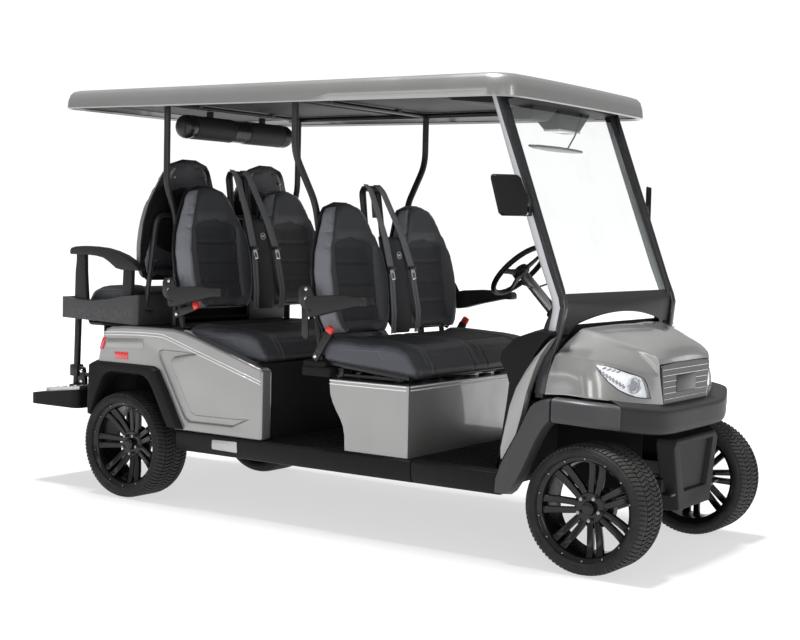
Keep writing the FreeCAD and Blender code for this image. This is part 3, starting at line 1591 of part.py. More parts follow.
for side_name, side in SIDES.items():
    front_pin = frame_point(front_back_base_back, S.front_back_base_z, S.front_arm_level)
    mid_pin = frame_point(mid_back_base_back, S.mid_back_base_z, S.mid_arm_level)
    armrest(f"front_armrest_{side_name}", side, front_pin, S.front_armrest_length)
    armrest(f"mid_armrest_{side_name}", side, mid_pin, S.mid_armrest_length)


# Rear side arms and footboard

def rear_side_arms():
    """Seat pan with a raised side on each hand, and a padded arm on two posts over each side."""
    rear, front = S.side_tub_rear_back, S.side_tub_front_back
    top = S.side_tub_top
    low = S.rear_deck_top
    pan = box(
        "rear_pan", at(rear_cushion_rear_back + S.overrun), at(rear_cushion_front_back - S.overrun),
        -S.side_tub_in, S.side_tub_in, low, S.rear_pan_top,
    )
    length = rear - front
    wave_shares = ((0, 0.55), (0.02, 0.92), (0.1, 1), (0.3, 0.72), (0.62, 0.68), (0.82, 0.9), (0.97, 0.85), (1, 0.3), (1, 0), (0, 0))
    points = [(at(rear - length * across), low + (top - low) * up) for across, up in wave_shares]
    side = prism("side_tub_right", "XZ", points, -S.side_tub_out, -S.side_tub_in)
    middle_y = -(S.side_tub_in + S.side_tub_out) / 2
    arm_rear, arm_front = S.side_rest_rear_back, S.side_rest_front_back
    arm_top, thick = S.side_rest_top, S.side_rest_thickness
    arm_half = (S.side_tub_out - S.side_tub_in) / 2
    pad = prism("rear_arm_pad", "XZ", [
        (at(arm_rear), arm_top - thick / 2), (at(arm_rear - thick), arm_top), (at((arm_rear + arm_front) / 2), arm_top - thick / 2),
        (at(arm_front + thick), arm_top - thick * 2), (at(arm_front), arm_top - thick * 3), (at(arm_front + thick), arm_top - thick * 3),
        (at((arm_rear + arm_front) / 2), arm_top - thick * 1.5), (at(arm_rear - thick), arm_top - thick),
    ], middle_y - arm_half, middle_y + arm_half)
    posts = [
        rod(f"rear_post_{index}", (at(foot), middle_y, low + (top - low) / 2), (at(head), middle_y, level), S.rear_post_r)
        for index, (foot, head, level) in enumerate((
            (S.side_rest_rear_back - S.side_rest_thickness * 2, S.side_rest_rear_back - S.side_rest_thickness * 1.5, S.side_rest_top - S.side_rest_thickness * 0.7),
            (S.side_rest_front_back + S.side_rest_thickness * 1.5, S.side_rest_front_back + S.side_rest_thickness * 2, S.side_rest_top - S.side_rest_thickness * 2),
        ))
    ]
    right = fuse("rear_side_right", [side, pad] + posts)
    return node("rear_side_arms", fuse("rear_side_arms_piece", [pan, right, mirrored("rear_side_left", right)]))


def rear_footboard():
    """Treadplate step on bars from the rails, with posts up to the rear pan."""
    low = S.foot_plate_z
    thick = S.foot_plate_thickness
    plate = box(
        "foot_plate", at(S.rear_end_back), at(S.foot_plate_front_back), -S.foot_plate_half, S.foot_plate_half, low, low + thick
    )
    half = S.rail_width / 2
    arms, posts = [], []
    for side_name, side in SIDES.items():
        y = side * S.rail_y
        arms.append(box(
            f"foot_arm_{side_name}", at(S.rear_end_back - S.overrun * 4), at(S.rail_end_back), y - half, y + half,
            low + thick - S.run_gap, kick_top,
        ))
        posts.append(cylinder(
            f"foot_post_{side_name}", "Z", at(S.foot_post_back - S.rear_post_r * 3), side * S.foot_post_y, low + thick / 2,
            S.rear_post_r, S.rear_deck_top - low - thick / 2,
        ))
    bar = cylinder(
        "grab_bar", "Y", at(S.foot_post_back - S.rear_post_r * 3), -S.foot_post_y, S.rear_deck_top - S.overrun * 8,
        S.grab_bar_r, S.foot_post_y * 2,
    )
    return node("rear_footboard", fuse("rear_footboard_piece", [plate, bar] + arms + posts))


rear_side_arms()
rear_footboard()


# Seat belts

def belts(label, base_back, base_z, hand):
    """Straps from the hoops down over the backs' inner edges, with a buckle at each outer hip."""
    turn = back_turn(hand)
    pieces = []
    face = S.back_thickness + S.seat_gap
    for side_name, side in SIDES.items():
        low, high = (face, face + S.belt_thickness) if hand > 0 else (-face - S.belt_thickness, -face)
        inner, outer = S.seat_gap * 20, S.seat_gap * 20 + S.belt_width
        y0, y1 = (inner, outer) if side > 0 else (-outer, -inner)
        strap = box(f"{label}_strap_{side_name}", low, high, y0, y1, S.back_foot, S.frame_height)
        pieces.append(strap)
    group = gathered(f"{label}_straps", pieces)
    put(group, at(base_back), 0, base_z, turn)
    return group


node("seat_belts", gathered("seat_belts_piece", [
    belts("front_belt", front_back_base_back, S.front_back_base_z, 1),
    belts("mid_belt", mid_back_base_back, S.mid_back_base_z, 1),
]))


# Check every object, then write one file for each node

doc.recompute()
for piece in doc.Objects:
    if "Invalid" in piece.State or "Error" in piece.State:
        raise RuntimeError(f"{piece.Name} failed: {piece.State}")
os.makedirs("parts", exist_ok=True)
for label, piece in NODES.items():
    shape = piece.Shape
    if shape.isNull() or not shape.isValid() or not shape.Solids:
        raise RuntimeError(f"{label} has no valid solid")
    shape.exportStep(f"parts/{label}.step")
print(len(NODES), "nodes written")
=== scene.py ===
# %% [markdown]
# # A six-seat golf cart, dressed in Blender
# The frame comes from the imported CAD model. Each cell adds one piece or one finish of the cart to it.
# X points forward, Y to the left and Z up, in metres, and the origin is on the ground under the cart.

# %% Load the frame
import math

import bmesh
import bpy
from mathutils import Matrix, Vector
from mathutils.bvhtree import BVHTree


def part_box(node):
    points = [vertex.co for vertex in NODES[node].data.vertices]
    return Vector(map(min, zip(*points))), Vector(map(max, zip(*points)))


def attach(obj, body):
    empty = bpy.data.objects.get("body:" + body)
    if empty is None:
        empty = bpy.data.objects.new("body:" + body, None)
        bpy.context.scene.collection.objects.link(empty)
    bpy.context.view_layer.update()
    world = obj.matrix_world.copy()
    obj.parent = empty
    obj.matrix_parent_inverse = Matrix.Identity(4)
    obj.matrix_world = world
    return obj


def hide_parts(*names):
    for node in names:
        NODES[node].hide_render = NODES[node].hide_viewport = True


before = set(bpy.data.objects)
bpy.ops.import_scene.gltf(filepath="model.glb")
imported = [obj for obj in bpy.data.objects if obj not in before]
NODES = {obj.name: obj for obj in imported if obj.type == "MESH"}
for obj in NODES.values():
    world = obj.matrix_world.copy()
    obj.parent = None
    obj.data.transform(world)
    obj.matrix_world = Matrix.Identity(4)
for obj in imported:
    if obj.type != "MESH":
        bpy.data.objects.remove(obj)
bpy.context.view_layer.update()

AXLE_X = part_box("tyre_front_right")[0][0] / 2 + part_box("tyre_front_right")[1][0] / 2
REAR_AXLE_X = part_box("tyre_rear_right")[0][0] / 2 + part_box("tyre_rear_right")[1][0] / 2
RIGHT, LEFT = -1, 1
SIDES = {"right": RIGHT, "left": LEFT}
print("front axle at", round(AXLE_X, 4), "rear axle at", round(REAR_AXLE_X, 4), "nodes", len(NODES))

# %% [markdown]
# Most sizes here are read forward from the front axle, as they were measured.
# `ahead` turns such a place into one on the cart, so the numbers below stay easy to check.

# %% Places measured from the front axle


def ahead(x, y, z):
    """A place given by its distance ahead of the front axle."""
    return Vector((x + AXLE_X, y, z))


# %% [markdown]
# Every operator works on what is selected, so each piece starts from an empty selection.
# These helpers add a primitive, reshape it in edit mode, and leave the object at the origin.

# %% Helpers for starting and finishing a piece


def clear():
    """Deselect every object, in object mode."""
    if bpy.context.object and bpy.context.object.mode != "OBJECT":
        bpy.ops.object.mode_set(mode="OBJECT")
    bpy.ops.object.select_all(action="DESELECT")


def only(obj):
    """Make one object the selected and active one."""
    clear()
    obj.select_set(True)
    bpy.context.view_layer.objects.active = obj
    return obj


def settle(obj):
    """Put a piece's place into its mesh."""
    only(obj)
    bpy.ops.object.transform_apply(location=True, rotation=True, scale=True)
    return obj


def modify(obj, kind, **settings):
    """Add a modifier with these settings and apply it."""
    only(obj)
    modifier = obj.modifiers.new(kind.lower(), kind)
    for name, value in settings.items():
        setattr(modifier, name, value)
    bpy.ops.object.modifier_apply(modifier=modifier.name)
    return obj


def bevel(obj, width, segments=2, angle=35):
    """Round the edges that are sharper than the angle, then shade the piece smooth."""
    if width:
        modify(
            obj, "BEVEL", width=width, segments=segments, limit_method="ANGLE",
            angle_limit=math.radians(angle),
            use_clamp_overlap=True, harden_normals=False,
        )
    only(obj)
    bpy.ops.object.shade_smooth_by_angle(angle=math.radians(38))
    return obj


def outward(obj):
    """Merge doubled points and turn every face outwards."""
    only(obj)
    bpy.ops.object.mode_set(mode="EDIT")
    bpy.ops.mesh.select_all(action="SELECT")
    bpy.ops.mesh.remove_doubles(threshold=0.00005)
    bpy.ops.mesh.normals_make_consistent(inside=False)
    bpy.ops.object.mode_set(mode="OBJECT")
    return obj


def join(name, pieces):
    """Several meshes as one piece."""
    clear()
    for piece in pieces:
        piece.select_set(True)
    bpy.context.view_layer.objects.active = pieces[0]
    if len(pieces) > 1:
        bpy.ops.object.join()
    pieces[0].name = name
    return pieces[0]


def copied(obj, name, matrix=None):
    """A copy with its own mesh, moved inside that mesh, and turned right side out after a mirror."""
    twin = obj.copy()
    twin.data = obj.data.copy()
    twin.name = name
    bpy.context.collection.objects.link(twin)
    if matrix is not None:
        twin.data.transform(matrix)
        if matrix.determinant() < 0:
            twin.data.flip_normals()
    return twin


MIRROR = Matrix.Scale(-1, 4, (0, 1, 0))


def both_sides(obj, name):
    """The piece with its mirror image on the other side of the cart, as one piece."""
    return join(name, [obj, copied(obj, f"{name}_far", MIRROR)])


# %% [markdown]
# Flat moulded parts start as a filled circle with as many corners as the part's outline.
# The corners are dragged to the outline and the face is extruded, which is how a plate is cut by hand.

# %% Plates, blocks, bars and rods

PLANE_MAPS = {
    "X": lambda u, v, level: (level, u, v),
    "Y": lambda u, v, level: (u, level, v),
    "Z": lambda u, v, level: (u, v, level),
}


def plate(name, axis, points, low, high, width=0.004, segments=2, taper=None):
    """Outline extruded along an axis; taper moves the outline's far copy with a function of its points."""
    clear()
    bpy.ops.mesh.primitive_circle_add(vertices=len(points), fill_type="NGON", radius=1)
    obj = bpy.context.object
    obj.name = name
    place = PLANE_MAPS[axis]
    for vertex, (u, v) in zip(obj.data.vertices, points):
        vertex.co = place(u, v, low)
    bpy.ops.object.mode_set(mode="EDIT")
    bpy.ops.mesh.select_all(action="SELECT")
    push = Vector(place(0, 0, high)) - Vector(place(0, 0, low))
    bpy.ops.mesh.extrude_region_move(TRANSFORM_OT_translate={"value": push})
    bpy.ops.object.mode_set(mode="OBJECT")
    if taper:
        far_points = taper if isinstance(taper, list) else [taper(u, v) for u, v in points]
        for vertex, (u, v) in zip(obj.data.vertices[len(points):], far_points):
            vertex.co = place(u, v, high)
    outward(obj)
    return bevel(obj, width, segments)


def block(name, low, high, width=0.004, segments=2):
    """Cube stretched between two corners, with rounded edges."""
    clear()
    low, high = Vector(low), Vector(high)
    bpy.ops.mesh.primitive_cube_add(size=1, location=(low + high) / 2, scale=high - low)
    obj = settle(bpy.context.object)
    obj.name = name
    return bevel(obj, width, segments)


def rod(name, start, end, radius, sides=20, width=0.0012):
    """Round bar between two points, with eased ends."""
    clear()
    start, end = Vector(start), Vector(end)
    bpy.ops.mesh.primitive_cylinder_add(
        vertices=sides, radius=radius, depth=(end - start).length, location=(start + end) / 2,
        rotation=(end - start).to_track_quat("Z", "Y").to_euler(),
    )
    obj = settle(bpy.context.object)
    obj.name = name
    return bevel(obj, width, 2)


def rounded(points, bend, steps=7):
    """The corners of a path replaced by arcs."""
    points = [Vector(p) for p in points]
    path = [points[0]]
    for before, corner, after in zip(points, points[1:], points[2:]):
        inward, onward = (before - corner), (after - corner)
        reach = min(bend, inward.length * 0.49, onward.length * 0.49)
        first, last = corner + inward.normalized() * reach, corner + onward.normalized() * reach
        for step in range(steps + 1):
            t = step / steps
            path.append(first * (1 - t) ** 2 + corner * 2 * t * (1 - t) + last * t ** 2)
    return path + [points[-1]]


def bar(name, points, radius, bend=0.04, sides=5, closed=False):
    """Tube along a path with rounded corners, made from a bevelled curve."""
    clear()
    path = rounded(points, bend) if bend else [Vector(p) for p in points]
    curve = bpy.data.curves.new(name, "CURVE")
    curve.dimensions = "3D"
    curve.bevel_depth = radius
    curve.bevel_resolution = sides
    curve.use_fill_caps = True
    line = curve.splines.new("POLY")
    line.points.add(len(path) - 1)
    for point, place in zip(line.points, path):
        point.co = (*place, 1)
    line.use_cyclic_u = closed
    obj = bpy.data.objects.new(name, curve)
    bpy.context.collection.objects.link(obj)
    only(obj)
    bpy.ops.object.convert(target="MESH")
    obj = bpy.context.object
    obj.name = name
    outward(obj)
    bpy.ops.object.shade_smooth_by_angle(angle=math.radians(40))
    return obj


# %% [markdown]
# Curved panels start as a grid. Its rows are pulled to a few measured lines of the real panel, with
# smooth values between them, and Solidify then gives the sheet its wall.

# %% Curved panels from measured lines


def smooth_through(values, t):
    """Value at t between 0 and 1 on a smooth line through evenly spaced values."""
    count = len(values) - 1
    if count == 1:
        return values[0].lerp(values[1], t)
    place = min(max(t, 0), 1) * count
    index = min(int(place), count - 1)
    u = place - index
    p1, p2 = values[index], values[index + 1]
    p0 = values[index - 1] if index else p1 * 2 - p2
    p3 = values[index + 2] if index + 2 <= count else p2 * 2 - p1
    return ((p1 * 2) + (p2 - p0) * u + (p0 * 2 - p1 * 5 + p2 * 4 - p3) * u * u
            + (p1 * 3 - p0 - p2 * 3 + p3) * u ** 3) / 2


def stretched(lines, across, along, creases=()):
    """Points of a sheet through measured lines; a crease is the number of a line with a sharp fold."""
    lines = [[Vector(p) for p in line] for line in lines]
    folds = [0, *creases, len(lines) - 1]
    rows = []
    for step in range(along + 1):
        t = step / along
        section = [smooth_through(line, t) for line in lines]
        row = []
        for start, end in zip(folds, folds[1:]):
            part = section[start:end + 1]
            count = max(2, round(across * (end - start) / (len(lines) - 1)))
            row += [smooth_through(part, k / count) for k in range(count)]
        rows.append(row + [section[-1]])
    return rows


def sheet_of(name, rows, wall=0.0, width=0.0, thick_side=-1):
    """Grid primitive pulled to the rows of points, then thickened."""
    clear()
    bpy.ops.mesh.primitive_grid_add(x_subdivisions=len(rows[0]) - 1, y_subdivisions=len(rows) - 1, size=1)
    obj = bpy.context.object
    obj.name = name
    for vertex, place in zip(obj.data.vertices, [p for row in rows for p in row]):
        vertex.co = place
    if wall:
        modify(obj, "SOLIDIFY", thickness=wall, offset=thick_side, use_even_offset=True,
               use_quality_normals=True)
    return bevel(obj, width)


def spun(name, profile, steps=96, axis_x=0.0, axis_z=0.0):
    """Closed (along, radius) profile spun a full turn about a line along Y."""
    clear()
    bpy.ops.mesh.primitive_circle_add(vertices=len(profile), fill_type="NOTHING", radius=1)
    obj = bpy.context.object
    obj.name = name
    for vertex, (along, radius) in zip(obj.data.vertices, profile):
        vertex.co = (axis_x, along, axis_z + radius)
    bpy.ops.object.mode_set(mode="EDIT")
    bpy.ops.mesh.select_all(action="SELECT")
    bpy.ops.mesh.spin(steps=steps, angle=math.tau, center=(axis_x, 0, axis_z), axis=(0, 1, 0))
    bpy.ops.object.mode_set(mode="OBJECT")
    return bevel(outward(obj), 0)


# %% [markdown]
# ## Finishes
# Shader maths reads best as plain expressions, so this small class wraps a socket. Its operators add
# Math nodes, and `node` adds any other kind, with its settings first and its sockets after.

# %% Shader wires


class Wire:
    """One socket of a material, with arithmetic."""

    def __init__(self, tree, socket=None):
        self.tree, self.socket = tree, socket

    def node(self, kind, settings=None, inputs=None, output=0):
        made = self.tree.nodes.new(kind)
        for name, value in (settings or {}).items():
            if name == "stops":
                while len(made.color_ramp.elements) < len(value):
                    made.color_ramp.elements.new(0.5)
                for element, (place, colour) in zip(made.color_ramp.elements, value):
                    element.position, element.color = place, (*colour, 1)
            else:
                setattr(made, name, value)
        for name, value in (inputs or {}).items():
            if isinstance(value, Wire):
                self.tree.links.new(value.socket, made.inputs[name])
            else:
                made.inputs[name].default_value = value
        return Wire(self.tree, made.outputs[output])

    def math(self, operation, *values):
        return self.node("ShaderNodeMath", {"operation": operation}, dict(enumerate(values)))

    def __add__(self, other):
        return self.math("ADD", self, other)

    def __sub__(self, other):
        return self.math("SUBTRACT", self, other)

    def __mul__(self, other):
        return self.math("MULTIPLY", self, other)

    def __rsub__(self, other):
        return self.math("SUBTRACT", other, self)

    __radd__, __rmul__ = __add__, __mul__

    def between(self, low, high):
        """This value eased from 0 at low to 1 at high."""
        return self.node("ShaderNodeMapRange", {"interpolation_type": "SMOOTHSTEP"},
                         {"Value": self, "From Min": low, "From Max": high})

    def mix(self, dark, light):
        """Colour between two colours, by this value."""
        colours = [value if isinstance(value, Wire) else (*value, 1) for value in (dark, light)]
        return self.node("ShaderNodeMix", {"data_type": "RGBA"}, {0: self, 6: colours[0], 7: colours[1]}, 2)


def finish(name, build, **constants):
    """Material from a function that returns its varying sockets; constants go straight on the shader."""
    material = bpy.data.materials.new(name)
    material.use_nodes = True
    tree = material.node_tree
    shader = tree.nodes["Principled BSDF"]
    for socket, value in constants.items():
        shader.inputs[socket.replace("_", " ")].default_value = value
    start = Wire(tree)
    place = start.node("ShaderNodeTexCoord", output=3)
    for socket, value in build(start, place).items():
        tree.links.new(value.socket, shader.inputs[socket])
    return material


def noise(wire, place, scale, detail=3.0, rough=0.5):
    return wire.node("ShaderNodeTexNoise", None,
                     {"Vector": place, "Scale": scale, "Detail": detail, "Roughness": rough})


def bump(wire, height, strength, distance):
    return wire.node("ShaderNodeBump", None, {"Height": height, "Strength": strength, "Distance": distance})


def edges(wire):
    """1 on outer edges and 0 on flat faces, from the surface's own pointiness."""
    return wire.node("ShaderNodeNewGeometry", output=7).between(0.52, 0.60)


# %% [markdown]
# The body colour is a warm grey metallic under clear lacquer. Real metallic paint holds tiny flakes and
# dries with a faint orange-peel ripple, so both are drawn at their real scale.

# %% Body paint


def paint_look(wire, place):
    flakes = wire.node("ShaderNodeTexVoronoi", None, {"Vector": place, "Scale": 900.0}, 1)
    sparkle = flakes.node("ShaderNodeSeparateColor", None, {"Color": flakes})
    cloud = noise(wire, place, 1.6, 2.0)
    tone = sparkle * 0.16 + cloud * 0.10 + 0.37
    colour = tone.mix((0.180, 0.179, 0.177), (0.390, 0.388, 0.384))
    ripple = noise(wire, place, 260.0, 1.0)
    dust = noise(wire, place, 5.0, 5.0).between(0.45, 0.75)
    return {"Base Color": colour, "Roughness": dust * 0.08 + 0.30, "Normal": bump(wire, ripple, 0.03, 0.0006)}


BODY_PAINT = finish("body_paint", paint_look, Metallic=0.62, Coat_Weight=1.0, Coat_Roughness=0.045,
                    Coat_IOR=1.5)

# %% [markdown]
# The flares, bumper, sills and tubs are moulded in black plastic with a fine leather-like grain.
# Worn edges turn a little grey, and a faint cloud of dust varies the tone.

# %% Moulded plastics


def grain_look(base, pale, scale, depth, rough):
    def look(wire, place):
        cells = wire.node("ShaderNodeTexVoronoi", {"feature": "SMOOTH_F1"}, {"Vector": place, "Scale": scale})
        fine = noise(wire, place, scale * 2.2, 2.0)
        cloud = noise(wire, place, 3.0, 5.0)
        worn = edges(wire) * noise(wire, place, 60.0, 3.0).between(0.35, 0.7)
        tone = cloud * 0.35 + worn * 0.6 + fine * 0.15
        return {
            "Base Color": tone.mix(base, pale),
            "Roughness": cloud * 0.12 + rough,
            "Normal": bump(wire, cells * 0.7 + fine * 0.5, 0.35, depth),
        }
    return look


# The same black plastic comes in lit and shaded copies, a painted light and shade: this darkest one is for
# the sills, rear flares and chin guard, which lie in shade, and paler ones are for parts that catch more
# light.
BLACK_PLASTIC = finish(
    "black_plastic", grain_look((0.003, 0.003, 0.003), (0.011, 0.011, 0.012), 900.0, 0.0004, 0.44),
    Specular_IOR_Level=0.18,
)
# Painted light: a paler copy of the black plastic, for the bumper, screen panel, sound bar rings and arms.
PAINTED_LIT_PLASTIC = finish(
    "painted_lit_black_plastic", grain_look((0.012, 0.012, 0.013), (0.032, 0.032, 0.033), 700.0, 0.0003, 0.42),
    Specular_IOR_Level=0.28,
)
SMOOTH_PLASTIC = finish(
    "smooth_plastic", grain_look((0.006, 0.006, 0.007), (0.020, 0.020, 0.021), 500.0, 0.0001, 0.2),
    Specular_IOR_Level=0.4,
)
POWDER_STEEL = finish(
    "powder_steel", grain_look((0.007, 0.007, 0.008), (0.022, 0.023, 0.026), 1500.0, 0.00015, 0.30),
    Specular_IOR_Level=0.4,
)
LINER_PLASTIC = finish(
    "liner_plastic", grain_look((0.005, 0.005, 0.005), (0.014, 0.014, 0.015), 300.0, 0.0004, 0.7),
    Specular_IOR_Level=0.25,
)

# %% [markdown]
# The wheels are machined and dipped in gloss black. The gloss comes from a clear coat over a dark metal,
# with fine dust on it that dulls the reflections in patches.

# %% Metals


def gloss_metal_look(base, pale, rough):
    def look(wire, place):
        dust = noise(wire, place, 9.0, 6.0, 0.6).between(0.4, 0.8)
        speck = noise(wire, place, 420.0, 2.0)
        return {
            "Base Color": (dust * 0.4 + edges(wire) * 0.3).mix(base, pale),
            "Roughness": dust * 0.12 + rough,
            "Normal": bump(wire, speck, 0.02, 0.0003),
        }
    return look


BLACK_ALLOY = finish("black_alloy", gloss_metal_look((0.003, 0.003, 0.003), (0.010, 0.010, 0.011), 0.20),
                     Specular_IOR_Level=0.35, Coat_Weight=0.12)
CHROME = finish("chrome", gloss_metal_look((0.62, 0.63, 0.65), (0.75, 0.76, 0.78), 0.07), Metallic=1.0)
DULL_STEEL = finish("dull_steel", gloss_metal_look((0.30, 0.30, 0.31), (0.44, 0.44, 0.45), 0.32),
                    Metallic=0.9)
SILVER_TRIM = finish("silver_trim", gloss_metal_look((0.80, 0.80, 0.80), (0.92, 0.92, 0.92), 0.18),
                     Metallic=0.25)


def tread_plate_look(wire, place):
    """Aluminium treadplate: brushed ground, with darker patches of dirt."""
    brushed = wire.node("ShaderNodeMapping", None, {"Vector": place, "Scale": (12.0, 260.0, 60.0)})
    streak = noise(wire, brushed, 6.0, 3.0)
    dirt = noise(wire, place, 14.0, 6.0).between(0.4, 0.75)
    return {
        "Base Color": (streak * 0.5 + dirt * 0.4).mix((0.62, 0.63, 0.65), (0.38, 0.385, 0.40)),
        "Roughness": streak * 0.15 + dirt * 0.15 + 0.2,
        "Normal": bump(wire, streak, 0.1, 0.0003),
    }


TREAD_PLATE = finish("tread_plate", tread_plate_look, Metallic=0.85)

# %% [markdown]
# Tyre rubber is almost black, but dry and dusty: the grooves stay darker than the rubbed blocks.

# %% Rubber, leather and webbing


def rubber_look(wire, place):
    dust = noise(wire, place, 22.0, 6.0, 0.65).between(0.35, 0.75)
    grain = noise(wire, place, 700.0, 3.0)
    return {
        "Base Color": (dust * 0.7 + edges(wire) * 0.5).mix((0.008, 0.008, 0.008), (0.030, 0.029, 0.028)),
        "Roughness": dust * 0.15 + 0.60,
        "Normal": bump(wire, grain, 0.3, 0.0006),
    }


TYRE_RUBBER = finish("tyre_rubber", rubber_look, Specular_IOR_Level=0.3)


def leather_look(base, pale, rough, weave=False):
    """Vinyl leather: pebbled cells with creases between them, duller in the hollows."""
    def look(wire, place):
        cells = wire.node("ShaderNodeTexVoronoi", {"feature": "DISTANCE_TO_EDGE"},
                          {"Vector": place, "Scale": 420.0})
        pebble = cells.between(0.0, 0.12)
        fine = noise(wire, place, 1300.0, 3.0)
        cloud = noise(wire, place, 7.0, 4.0)
        height = pebble * 0.7 + fine * 0.3
        if weave:
            dots = wire.node("ShaderNodeTexVoronoi", {"feature": "F1"}, {"Vector": place, "Scale": 300.0})
            height = height * 0.4 + dots.between(0.1, 0.45) * 0.6
        return {
            "Base Color": (cloud * 0.45 + pebble * 0.25 + edges(wire) * 0.3).mix(base, pale),
            "Roughness": rough + cloud * 0.10 - pebble * 0.04,
            "Normal": bump(wire, height, 0.28, 0.0005),
        }
    return look


LEATHER = finish(
    "black_leather", leather_look((0.028, 0.029, 0.033), (0.064, 0.066, 0.075), 0.44),
    Specular_IOR_Level=0.32,
)
# Painted sheen: the back's outer bolsters are black leather, made pale grey for the light shining on them.
BOLSTER_SHEEN_LEATHER = finish(
    "bolster_painted_sheen", leather_look((0.120, 0.124, 0.142), (0.240, 0.246, 0.274), 0.36),
    Specular_IOR_Level=0.55,
)
# Painted sheen: the cushions' sideways faces are the same black leather made paler, for the light on them.
SIDE_SHEEN_LEATHER = finish(
    "side_painted_sheen", leather_look((0.045, 0.048, 0.058), (0.105, 0.110, 0.128), 0.40), Specular_IOR_Level=0.40,
)
INSERT_LEATHER = finish(
    "insert_leather", leather_look((0.017, 0.018, 0.020), (0.040, 0.041, 0.045), 0.55, weave=True),
    Specular_IOR_Level=0.28,
)
PIPING = finish("piping", leather_look((0.10, 0.103, 0.11), (0.16, 0.163, 0.17), 0.4))


def webbing_look(wire, place):
    """Belt webbing: fine ribs across its run."""
    ribs = wire.node("ShaderNodeTexWave", {"bands_direction": "DIAGONAL"},
                     {"Vector": place, "Scale": 210.0, "Distortion": 0.4})
    fine = noise(wire, place, 900.0, 2.0)
    return {
        "Base Color": (fine * 0.5 + ribs_value(ribs) * 0.4).mix((0.060, 0.062, 0.070), (0.160, 0.164, 0.180)),
        "Roughness": fine * 0.15 + 0.5,
        "Normal": bump(wire, ribs_value(ribs), 0.35, 0.0006),
    }


def ribs_value(ribs):
    return ribs.node("ShaderNodeSeparateColor", None, {"Color": ribs})


WEBBING = finish("belt_webbing", webbing_look, Sheen_Weight=0.3)

# %% [markdown]
# Clear parts are glass with real thickness. The lamp covers carry faint moulded lines, and the lenses
# are deep red plastic with a cell pattern inside.

# %% Glass and lenses


def clear_look(wire, place):
    smear = noise(wire, place, 4.0, 5.0).between(0.5, 0.8)
    return {"Roughness": smear * 0.04 + 0.005, "Alpha": smear * 0.06 + 0.10}


CLEAR_GLASS = finish("clear_glass", clear_look, Base_Color=(0.85, 0.90, 0.90, 1), IOR=1.45, Coat_Weight=0.3)
LAMP_COVER = finish(
    "clear_lens", lambda wire, place: {"Alpha": noise(wire, place, 8.0, 2.0) * 0.06 + 0.16,
                                       "Roughness": noise(wire, place, 40.0) * 0.03},
    Base_Color=(0.93, 0.95, 1.0, 1), IOR=1.5, Coat_Weight=1.0,
)


def lens_look(base, pale):
    def look(wire, place):
        cells = wire.node("ShaderNodeTexVoronoi", {"feature": "F1", "distance": "CHEBYCHEV"},
                          {"Vector": place, "Scale": 160.0})
        return {
            "Base Color": cells.between(0.1, 0.6).mix(base, pale),
            "Roughness": noise(wire, place, 30.0) * 0.06 + 0.05,
            "Normal": bump(wire, cells, 0.2, 0.0008),
        }
    return look


RED_LENS = finish("red_lens", lens_look((0.55, 0.008, 0.012), (0.85, 0.05, 0.05)), Coat_Weight=1.0)
RED_PLASTIC = finish("red_plastic", lens_look((0.60, 0.02, 0.02), (0.75, 0.04, 0.03)), Coat_Weight=0.2)
GREY_LENS = finish("grey_lens", lens_look((0.42, 0.43, 0.44), (0.60, 0.61, 0.62)), Coat_Weight=0.6)
LAMP_WHITE = finish("lamp_white", lens_look((0.72, 0.74, 0.78), (0.95, 0.96, 0.98)), Coat_Weight=0.8)
LAMP_WHITE.node_tree.nodes["Principled BSDF"].inputs["Emission Color"].default_value = (0.9, 0.95, 1, 1)
LAMP_WHITE.node_tree.nodes["Principled BSDF"].inputs["Emission Strength"].default_value = 0.35
MIRROR_GLASS = finish("mirror_glass", gloss_metal_look((0.80, 0.82, 0.84), (0.86, 0.87, 0.88), 0.02),
                      Metallic=1.0)
WHITE_PLATE = finish("white_plate", gloss_metal_look((0.46, 0.46, 0.45), (0.60, 0.60, 0.59), 0.35),
                     Metallic=0.4)
print(len(bpy.data.materials), "finishes")

# %% [markdown]
# ## Studio
# The photograph was taken from ahead of the cart's right side, a little above its seats. The camera's place,
# turn and focal length were worked out from the wheels and the roof, and the view leans by about a degree.

# %% Camera

CAMERA_PLACE = Vector((4.3603, -6.009, 1.4205))
SENSOR_WIDTH, FOCAL_PIXELS, IMAGE_WIDTH = 36, 1437.9, 800
AZIMUTH, PITCH, ROLL = (math.radians(a) for a in (34.64, 3.43, 1.28))
forward = Vector((-math.sin(AZIMUTH) * math.cos(PITCH), math.cos(AZIMUTH) * math.cos(PITCH),
                  -math.sin(PITCH)))
right = Vector((math.cos(AZIMUTH), math.sin(AZIMUTH), 0))
up = right.cross(forward)
tilted_right = right * math.cos(ROLL) + up * math.sin(ROLL)
tilted_up = up * math.cos(ROLL) - right * math.sin(ROLL)
turn = Matrix((tilted_right, tilted_up, -forward)).transposed().to_4x4()
camera = bpy.data.objects.new("camera", bpy.data.cameras.new("camera"))
camera.data.lens = SENSOR_WIDTH * FOCAL_PIXELS / IMAGE_WIDTH
camera.matrix_world = Matrix.Translation(CAMERA_PLACE) @ turn
bpy.context.collection.objects.link(camera)
bpy.context.scene.camera = camera
print("lens", round(camera.data.lens, 2), "mm")

# %% [markdown]
# A white studio: a pale floor that glows to its far edge, so that it meets the white surround without a line,
# and a broad light straight above that leaves only a pale shadow. Near the cart the floor glows less, a
# painted shade that lets the shadow show. The camera sees the surround as white, but it lights the cart as an
# even grey that is a little brighter above.

# %% Floor and lights

clear()
bpy.ops.mesh.primitive_grid_add(x_subdivisions=4, y_subdivisions=4, size=120)
floor = bpy.context.object
floor.name = "floor"


